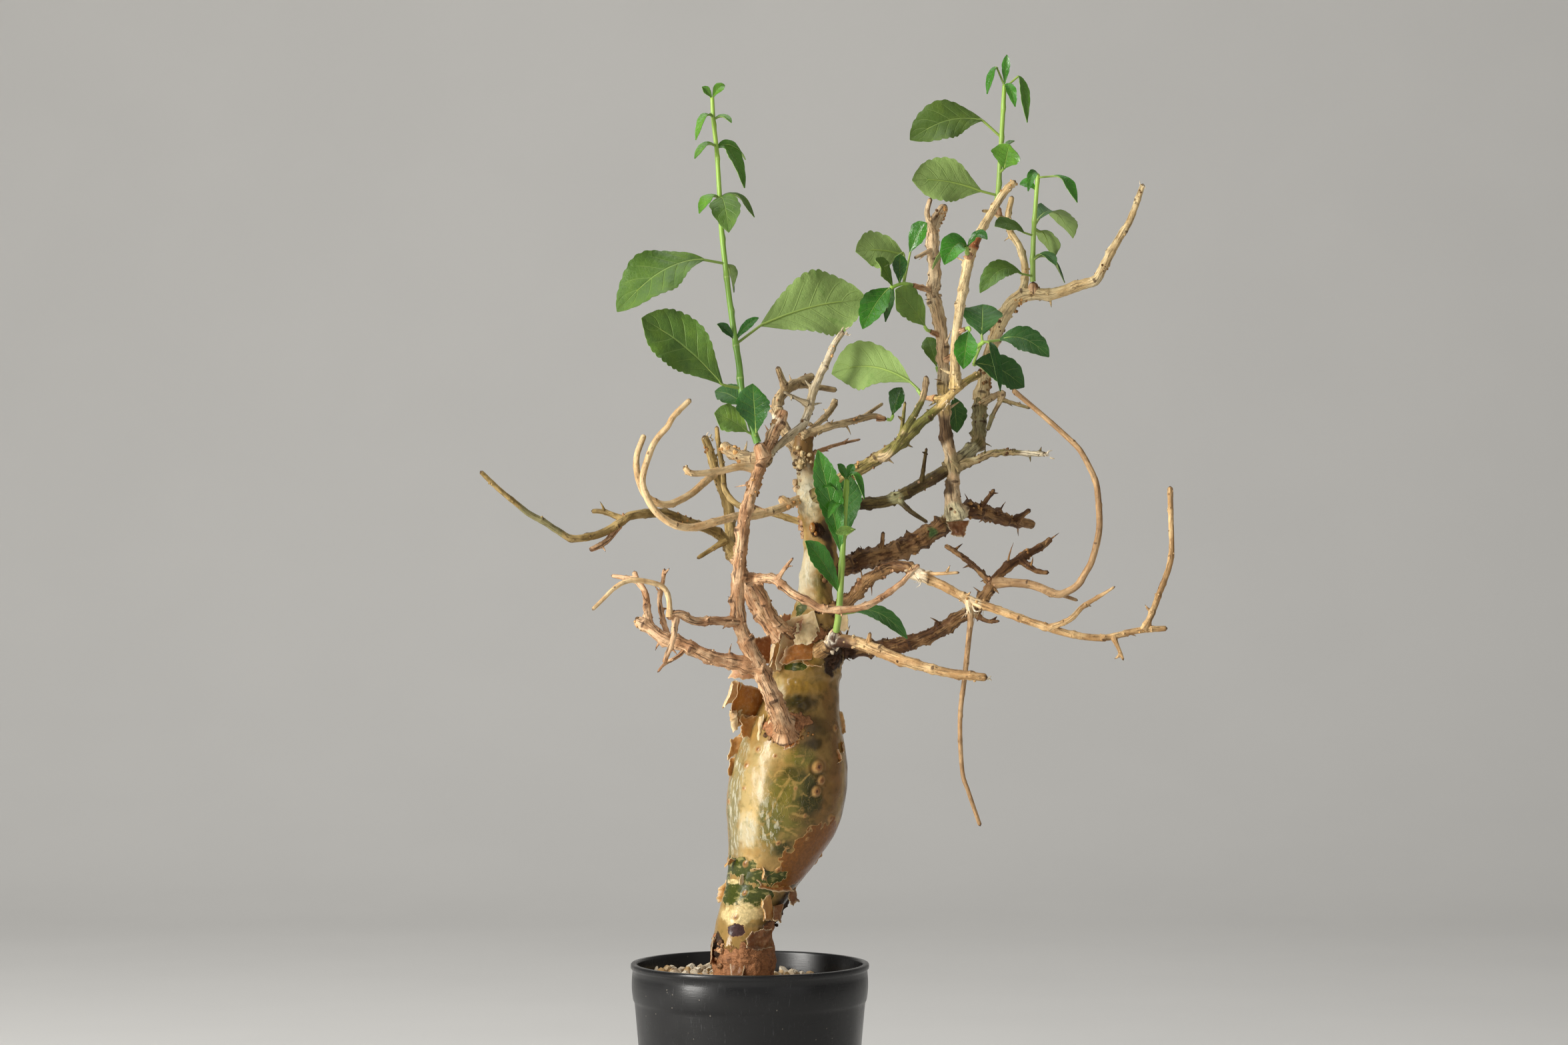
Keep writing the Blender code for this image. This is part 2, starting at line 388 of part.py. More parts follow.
def tube(name, radii, points, collection):
    """A closed tube through the points, from a curve with round section."""
    curve = bpy.data.curves.new(name, "CURVE")
    curve.dimensions = "3D"
    curve.bevel_depth = MM
    curve.bevel_resolution = 1 if max(radii) > SIX_SIDED_RADIUS else 0
    curve.use_fill_caps = True
    spline = curve.splines.new("POLY")
    spline.points.add(len(points) - 1)
    for place, point, radius in zip(spline.points, points, spread(radii, len(points))):
        place.co = (*point, 1.0)
        place.radius = radius
    guide = bpy.data.objects.new(name, curve)
    collection.objects.link(guide)
    view_layer = bpy.context.view_layer
    view_layer.update()
    mesh = bpy.data.meshes.new_from_object(guide.evaluated_get(bpy.context.evaluated_depsgraph_get()))
    welded = bmesh.new()
    welded.from_mesh(mesh)
    bmesh.ops.remove_doubles(welded, verts=welded.verts, dist=0.00001)
    bmesh.ops.recalc_face_normals(welded, faces=welded.faces)
    welded.to_mesh(mesh)
    welded.free()
    piece = bpy.data.objects.new(name + "_tube", mesh)
    collection.objects.link(piece)
    piece.matrix_world = guide.matrix_world.copy()
    bpy.data.objects.remove(guide, do_unlink=True)
    bpy.data.curves.remove(curve)
    return piece


def apply_modifiers(item):
    view_layer = bpy.context.view_layer
    view_layer.update()
    mesh = bpy.data.meshes.new_from_object(item.evaluated_get(bpy.context.evaluated_depsgraph_get()))
    item.modifiers.clear()
    old = item.data
    item.data = mesh
    bpy.data.meshes.remove(old)


def join_by_union(item, pieces):
    """Grow the item by every object in the collection, which is emptied."""
    boolean = item.modifiers.new("Union", "BOOLEAN")
    boolean.operation = "UNION"
    boolean.operand_type = "COLLECTION"
    boolean.collection = pieces
    boolean.solver = "MANIFOLD"
    apply_modifiers(item)
    for piece in list(pieces.objects):
        bpy.data.objects.remove(piece, do_unlink=True)
    bpy.data.collections.remove(pieces)


def finish_item(item, material, smooth_angle):
    mesh = item.data
    mesh.materials.clear()
    mesh.materials.append(material)
    for polygon in mesh.polygons:
        polygon.material_index = 0
    mesh.shade_smooth()
    mesh.set_sharp_from_angle(angle=math.radians(smooth_angle))


def closed_grid(mesh_data, outer, inner):
    """Close two like grids of vertices, outer and inner, into one plate, split alike on both faces."""
    rows = len(outer)
    columns = len(outer[0])
    for row in range(rows - 1):
        for column in range(columns - 1):
            a, b = outer[row][column], outer[row][column + 1]
            c, d = outer[row + 1][column + 1], outer[row + 1][column]
            mesh_data.faces.new((a, b, c))
            mesh_data.faces.new((a, c, d))
            e, f = inner[row][column], inner[row][column + 1]
            g, h = inner[row + 1][column + 1], inner[row + 1][column]
            mesh_data.faces.new((g, f, e))
            mesh_data.faces.new((h, g, e))
    rim = [(row, 0) for row in range(rows)]
    rim += [(rows - 1, column) for column in range(1, columns)]
    rim += [(row, columns - 1) for row in range(rows - 2, -1, -1)]
    rim += [(0, column) for column in range(columns - 2, 0, -1)]
    for (r0, c0), (r1, c1) in zip(rim, rim[1:] + rim[:1]):
        mesh_data.faces.new((outer[r0][c0], outer[r1][c1], inner[r1][c1]))
        mesh_data.faces.new((outer[r0][c0], inner[r1][c1], inner[r0][c0]))
    bmesh.ops.recalc_face_normals(mesh_data, faces=mesh_data.faces)


def trunk_at(height):
    """Middle from left to right and radius of the trunk at a height."""
    for (z0, x0, r0), (z1, x1, r1) in zip(TRUNK, TRUNK[1:]):
        if height <= z1:
            share = max(0.0, (height - z0) / (z1 - z0))
            return x0 + (x1 - x0) * share, r0 + (r1 - r0) * share
    return TRUNK[-1][1:]


def trunk_surface(height, angle, stand_off):
    middle, radius = trunk_at(height)
    reach = radius + stand_off
    return Vector(((middle + reach * math.cos(angle)) * MM, reach * math.sin(angle) * MM, height * MM))


def make_trunk_core(collection):
    """The swollen trunk and its tap root, lofted through round sections with soft lumps."""
    mesh_data = bmesh.new()
    rings = []
    for height, middle, radius in TRUNK:
        ring = []
        above_soil = 0.0 if height < SOIL_TOP + 5 else 1.0
        for side in range(TRUNK_SIDES):
            angle = 2 * math.pi * side / TRUNK_SIDES
            lump = noise.noise(Vector((math.cos(angle) * 1.3, math.sin(angle) * 1.3, height / 22)))
            reach = radius * (1 + TRUNK_LUMPS * lump * above_soil)
            x = middle + reach * math.cos(angle)
            ring.append(mesh_data.verts.new((x * MM, reach * math.sin(angle) * MM, height * MM)))
        rings.append(ring)
    for lower, upper in zip(rings, rings[1:]):
        for side in range(TRUNK_SIDES):
            after = (side + 1) % TRUNK_SIDES
            mesh_data.faces.new((lower[side], lower[after], upper[after], upper[side]))
    mesh_data.faces.new(rings[0][::-1])
    mesh_data.faces.new(rings[-1])
    bmesh.ops.recalc_face_normals(mesh_data, faces=mesh_data.faces)
    return object_from_bmesh("trunk", mesh_data, collection)


def make_side_flake(number, fixed, free, low, high, lift, pieces):
    """A sheet of bark that is rooted along one upright edge and curls off towards the other."""
    columns = 5
    rows = 4
    sunk = 1.2
    mesh_data = bmesh.new()
    outer, inner = [], []
    draw = random.Random(SEED + number)
    for row in range(rows):
        height = low + (high - low) * row / (rows - 1)
        ragged = draw.uniform(0.82, 1.0)
        outer.append([])
        inner.append([])
        for column in range(columns):
            share = column / (columns - 1)
            angle = math.radians(fixed + (free - fixed) * share * ragged)
            stand_off = -sunk + (lift + sunk) * share ** 1.3
            outer[row].append(mesh_data.verts.new(trunk_surface(height, angle, stand_off + BLADE_THICKNESS)))
            inner[row].append(mesh_data.verts.new(trunk_surface(height, angle, stand_off)))
    closed_grid(mesh_data, outer, inner)
    object_from_bmesh(f"flake_{number}", mesh_data, pieces)


def make_trunk(collection, material):
    trunk = make_trunk_core(collection)
    pieces = new_collection("trunk_pieces")
    for number, flake in enumerate(SIDE_FLAKES):
        make_side_flake(number, *flake, pieces)
    for name, (radii, points) in WOOD.items():
        tube(name, radii, [crown_point(*point) for point in points], pieces)
    for name, (root, tip, radius) in SPURS.items():
        tube(name + "_spur", (radius, radius), [crown_point(*root), crown_point(*tip)], pieces)
    join_by_union(trunk, pieces)
    finish_item(trunk, material, 50)


def blade_profile(share):
    """Half width along a blade as a share of its widest, from its foot at 0 to its tip at 1."""
    return math.sin(math.pi * share ** 0.78) ** 0.8 if 0 < share < 1 else 0.0


def blade_rows(half_width):
    for limit, rows in ((2.5, 4), (4.5, 6), (7.0, 8)):
        if half_width < limit:
            return rows
    return 11


def make_leaf(name, leaf, pieces):
    """One leaf as a thin arched plate: a narrow petiole, then a blade with toothed edges."""
    start, foot, tip, half_width, arch, face = leaf
    start, tip = crown_point(*start), crown_point(*tip)
    middles = [start]
    half_widths = [PETIOLE_HALF_WIDTH]
    blade_start = start
    if foot:
        blade_start = crown_point(*foot)
        middles.append(blade_start)
        half_widths.append(PETIOLE_HALF_WIDTH)
    length = (tip - blade_start).length
    rows = blade_rows(half_width)
    for row in range(1, rows + 1):
        share = row / rows
        bow = Vector((0, 0, 1)) * arch * length * 4 * share * (1 - share)
        middles.append(blade_start.lerp(tip, share) + bow)
        tooth = 1.0 if row % 2 else 1.0 - TOOTH_DEPTH
        half_widths.append(max(0.35, half_width * blade_profile(share) * tooth))
    looks = Vector(face).normalized()
    columns = (-1, 0, 1) if half_width >= 7 else (-1, 1)
    mesh_data = bmesh.new()
    outer, inner = [], []
    for row, (middle, half) in enumerate(zip(middles, half_widths)):
        before = middles[max(0, row - 1)]
        after = middles[min(len(middles) - 1, row + 1)]
        along = (after - before).normalized()
        normal = (looks - along * looks.dot(along)).normalized()
        across = along.cross(normal)
        outer.append([])
        inner.append([])
        for column in columns:
            fold = BLADE_FOLD * half * abs(column)
            place = middle + (across * column * half + normal * fold) * MM
            outer[row].append(mesh_data.verts.new(place + normal * BLADE_THICKNESS / 2 * MM))
            inner[row].append(mesh_data.verts.new(place - normal * BLADE_THICKNESS / 2 * MM))
    closed_grid(mesh_data, outer, inner)
    return object_from_bmesh(name, mesh_data, pieces)


def make_shoot(name, collection, material):
    """A green stem with its leaves, standing just off the spur that bears it."""
    root, spur_tip, _ = SPURS[name]
    radii, points = STEMS[name]
    seat = crown_point(*spur_tip)
    away = (seat - crown_point(*root)).normalized()
    route = [seat + away * SEAT_GAP * MM, seat + away * (SEAT_GAP + 1.5) * MM]
    route += [crown_point(*point) for point in points]
    pieces = new_collection(name + "_pieces")
    stem = tube(name, radii, route, collection)
    stem.name = name
    for number, leaf in enumerate(LEAVES[name]):
        make_leaf(f"{name}_leaf_{number}", leaf, pieces)
    join_by_union(stem, pieces)
    finish_item(stem, material, 40)


def pot_profile():
    """The pot's section from the middle of its inner floor, up, over the lip and down to its underside."""
    collar_foot = POT_HEIGHT - COLLAR_HEIGHT
    below_collar = RIM_RADIUS - COLLAR_STEP - 0.6
    inner_top = RIM_RADIUS - COLLAR_STEP - WALL
    return (
        (0, FLOOR), (BASE_RADIUS - WALL, FLOOR), (inner_top, POT_HEIGHT - 1), (inner_top + 0.5, POT_HEIGHT),
        (RIM_RADIUS - 0.4, POT_HEIGHT), (RIM_RADIUS, POT_HEIGHT - 0.6), (RIM_RADIUS, POT_HEIGHT - LIP_HEIGHT),
        (RIM_RADIUS - 0.8, POT_HEIGHT - LIP_HEIGHT - 0.8), (RIM_RADIUS - 0.4, POT_HEIGHT - COLLAR_HEIGHT / 2),
        (RIM_RADIUS - 0.9, collar_foot + 1.5), (below_collar, collar_foot - 0.5),
        (BASE_RADIUS + 0.6, 3.0), (BASE_RADIUS - 1.2, 0), (0, 0),
    )


def make_pot(collection, cutters, material):
    mesh_data = bmesh.new()
    ring = [mesh_data.verts.new((radius * MM, 0, height * MM)) for radius, height in pot_profile()]
    for first, second in zip(ring, ring[1:]):
        mesh_data.edges.new((first, second))
    pot = object_from_bmesh("pot", mesh_data, collection, material)
    screw = pot.modifiers.new("Turn", "SCREW")
    screw.axis = "Z"
    screw.steps = POT_STEPS
    screw.render_steps = POT_STEPS
    screw.use_merge_vertices = True
    screw.merge_threshold = 0.0001
    for number in range(DRAIN_HOLES):
        angle = 2 * math.pi * (number + DRAIN_TURN) / DRAIN_HOLES
        hole = bmesh.new()
        bmesh.ops.create_cone(
            hole, cap_ends=True, segments=10, radius1=DRAIN_RADIUS * MM, radius2=DRAIN_RADIUS * MM,
            depth=3 * FLOOR * MM)
        cutter = object_from_bmesh(f"drain_{number}", hole, cutters)
        cutter.location = (DRAIN_RING * math.cos(angle) * MM, DRAIN_RING * math.sin(angle) * MM, 0)
        cutter.hide_render = True
        cutter.display_type = "WIRE"
        drain = pot.modifiers.new(f"Drain {number}", "BOOLEAN")
        drain.operation = "DIFFERENCE"
        drain.object = cutter
    return pot


def pebble_height(row, column, x, y, draw):
    """Height of one point of the gravel: each second point of the lattice is the top of a pebble."""
    heap = HEAP_RISE * (0.6 * y - 0.8 * x) / RIM_RADIUS
    near_trunk = math.hypot(x - TRUNK[2][1], y) < PEBBLE_MARGIN
    if near_trunk:
        return SOIL_TOP
    crest = row % 2 == 0 and column % 2 == 0
    return SOIL_TOP + heap + (draw.uniform(0.6, 1.0) * PEBBLE_HEIGHT if crest else draw.uniform(0, 1.2))


def soil_radius(height):
    inner_top = RIM_RADIUS - COLLAR_STEP - WALL
    inner_base = BASE_RADIUS - WALL
    return inner_base + (inner_top - inner_base) * (height - FLOOR) / (POT_HEIGHT - 1 - FLOOR) - SOIL_CLEARANCE


def make_soil(collection, cutters, material):
    """The gravel that fills the pot, its top raised into pebbles, with a plain hole for the tap root."""
    draw = random.Random(SEED)
    edge = soil_radius(SOIL_TOP) * math.cos(math.pi / POT_STEPS) - 0.15
    rim = [(edge * math.cos(2 * math.pi * n / POT_STEPS), edge * math.sin(2 * math.pi * n / POT_STEPS))
           for n in range(POT_STEPS)]
    places = [Vector(point) for point in rim]
    heights = [SOIL_TOP] * POT_STEPS
    step = PEBBLE_PITCH / 2
    row_step = step * math.sqrt(3) / 2
    reach = int(edge / row_step) + 1
    for row in range(-reach, reach + 1):
        for column in range(-reach, reach + 1):
            x = (column + 0.5 * (row % 2)) * step + draw.uniform(-0.5, 0.5)
            y = row * row_step + draw.uniform(-0.5, 0.5)
            if math.hypot(x, y) < edge - 1.6:
                places.append(Vector((x, y)))
                heights.append(pebble_height(row, column, x, y, draw))
    loop = [(n, (n + 1) % POT_STEPS) for n in range(POT_STEPS)]
    points, _, faces, _, _, _ = geometry.delaunay_2d_cdt(places, loop, [], 1, 0.0001)
    mesh_data = bmesh.new()
    top = [mesh_data.verts.new((p.x * MM, p.y * MM, heights[n] * MM)) for n, p in enumerate(points)]
    for face in faces:
        mesh_data.faces.new([top[n] for n in face])
    bottom_height = FLOOR + SOIL_CLEARANCE
    shrink = soil_radius(bottom_height) / soil_radius(SOIL_TOP)
    bottom = [mesh_data.verts.new((x * shrink * MM, y * shrink * MM, bottom_height * MM)) for x, y in rim]
    for n, after in loop:
        mesh_data.faces.new((top[n], top[after], bottom[after], bottom[n]))
    mesh_data.faces.new(bottom)
    bmesh.ops.recalc_face_normals(mesh_data, faces=mesh_data.faces)
    soil = object_from_bmesh("soil", mesh_data, collection, material)
    hole = bmesh.new()
    rings = []
    for height, radius in ((ROOT_DEPTH - 0.4, 9.4), (85, 12.6), (SOIL_TOP, 13.7), (POT_HEIGHT + 8, 14.4)):
        rings.append([
            hole.verts.new((
                (TRUNK[0][1] + radius * math.cos(2 * math.pi * n / TRUNK_SIDES)) * MM,
                radius * math.sin(2 * math.pi * n / TRUNK_SIDES) * MM, height * MM))
            for n in range(TRUNK_SIDES)])
    for lower, upper in zip(rings, rings[1:]):
        for n in range(TRUNK_SIDES):
            after = (n + 1) % TRUNK_SIDES
            hole.faces.new((lower[n], lower[after], upper[after], upper[n]))
    hole.faces.new(rings[0][::-1])
    hole.faces.new(rings[-1])
    bmesh.ops.recalc_face_normals(hole, faces=hole.faces)
    cutter = object_from_bmesh("root_hole", hole, cutters)
    cutter.hide_render = True
    cutter.display_type = "WIRE"
    cut = soil.modifiers.new("Root hole", "BOOLEAN")
    cut.operation = "DIFFERENCE"
    cut.object = cutter
    return soil


def main():
    remove_scene_objects()
    plant = new_collection("potted_commiphora")
    cutters = new_collection("cutters")
    make_pot(plant, cutters, new_material("pot_plastic", (0.012, 0.012, 0.014), 0.45))
    make_soil(plant, cutters, new_material("pumice", (0.55, 0.42, 0.24), 0.9))
    make_trunk(plant, new_material("bark", (0.3, 0.19, 0.1), 0.6))
    for name in STEMS:
        make_shoot(name, plant, new_material("leaf_" + name, (0.13, 0.29, 0.06), 0.5))


main()
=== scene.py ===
"""Looks of the potted commiphora: pot, gravel, peeling trunk, twigs and green shoots over the packed frame.

The lists hold millimetres: X runs to the right, Y to the back and Z up, from the middle of the pot's underside.
"""

import math
import random

import bmesh
import bpy
import numpy as np
from bpy.props import FloatProperty, FloatVectorProperty, IntProperty, PointerProperty
from mathutils import Matrix, Vector, noise


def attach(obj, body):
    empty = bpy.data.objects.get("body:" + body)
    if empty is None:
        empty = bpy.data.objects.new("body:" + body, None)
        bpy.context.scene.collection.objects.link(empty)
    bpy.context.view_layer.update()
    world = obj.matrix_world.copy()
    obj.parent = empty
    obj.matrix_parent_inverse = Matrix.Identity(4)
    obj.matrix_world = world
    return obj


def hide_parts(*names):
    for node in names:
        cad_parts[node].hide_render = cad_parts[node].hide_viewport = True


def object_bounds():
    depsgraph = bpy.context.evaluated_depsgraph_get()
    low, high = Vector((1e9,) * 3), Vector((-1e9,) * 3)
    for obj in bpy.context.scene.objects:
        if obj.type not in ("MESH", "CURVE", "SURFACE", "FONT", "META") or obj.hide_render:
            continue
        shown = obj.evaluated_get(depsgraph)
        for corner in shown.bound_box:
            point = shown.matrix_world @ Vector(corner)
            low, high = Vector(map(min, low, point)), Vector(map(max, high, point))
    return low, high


bl_info = {
    "name": "Potted commiphora",
    "version": (1, 0, 0),
    "blender": (4, 5, 0),
    "location": "3D View > Sidebar > Commiphora",
    "description": "Builds the dressed potted commiphora over its CAD frame",
    "category": "Object",
}

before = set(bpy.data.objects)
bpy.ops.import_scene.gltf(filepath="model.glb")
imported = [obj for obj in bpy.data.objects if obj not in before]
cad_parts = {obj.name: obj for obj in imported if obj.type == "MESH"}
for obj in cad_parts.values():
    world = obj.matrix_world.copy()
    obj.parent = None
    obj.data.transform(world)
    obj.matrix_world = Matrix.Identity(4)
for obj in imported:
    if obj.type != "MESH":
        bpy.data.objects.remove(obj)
CAD_BOX = [list(corner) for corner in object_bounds()]

MM = 0.001
SEED = 7

CROWN_DEPTH = 1.4
ROOT_DEPTH = 60.0
FRONT = (0.0, -0.86, 0.5)
UP = (0.0, -0.35, 0.94)
LEFT_UP = (-0.5, -0.6, 0.6)
RIGHT_UP = (0.5, -0.6, 0.6)

# Trunk: height, middle from left to right, radius
TRUNK = (
    (ROOT_DEPTH, -2.6, 9.0), (85, -2.6, 12.2), (103, -2.6, 13.2), (110, -2.8, 13.6), (117, -3.2, 14.1),
    (124, -2.9, 12.9), (130, -2.1, 12.9), (135, 0, 13.8), (140, 2.6, 15), (146, 5.1, 16),
    (153, 8.4, 18.1), (161, 11.5, 20.8), (168, 13.5, 23.5), (175, 14.9, 25.3), (183, 15.6, 26.2),
    (190, 16.1, 26.2), (197.5, 17, 25.5), (205, 17.6, 24.4), (212, 18.4, 22.8), (219.5, 19.7, 20.5),
    (228, 22.2, 17.2), (235, 23.9, 15.1), (241.5, 24.5, 14.3), (248, 26.3, 12.4), (255, 28, 10.5),
    (263.5, 28.6, 8.2), (272, 28.9, 7), (281, 28.2, 6.4), (290, 30.7, 7.5), (297, 30.3, 6.6),
    (305, 29.7, 6.2), (319, 27, 6.2), (327, 25.6, 4.5), (333, 24, 3.8), (341, 22.9, 3), (346, 23.6, 2),
)

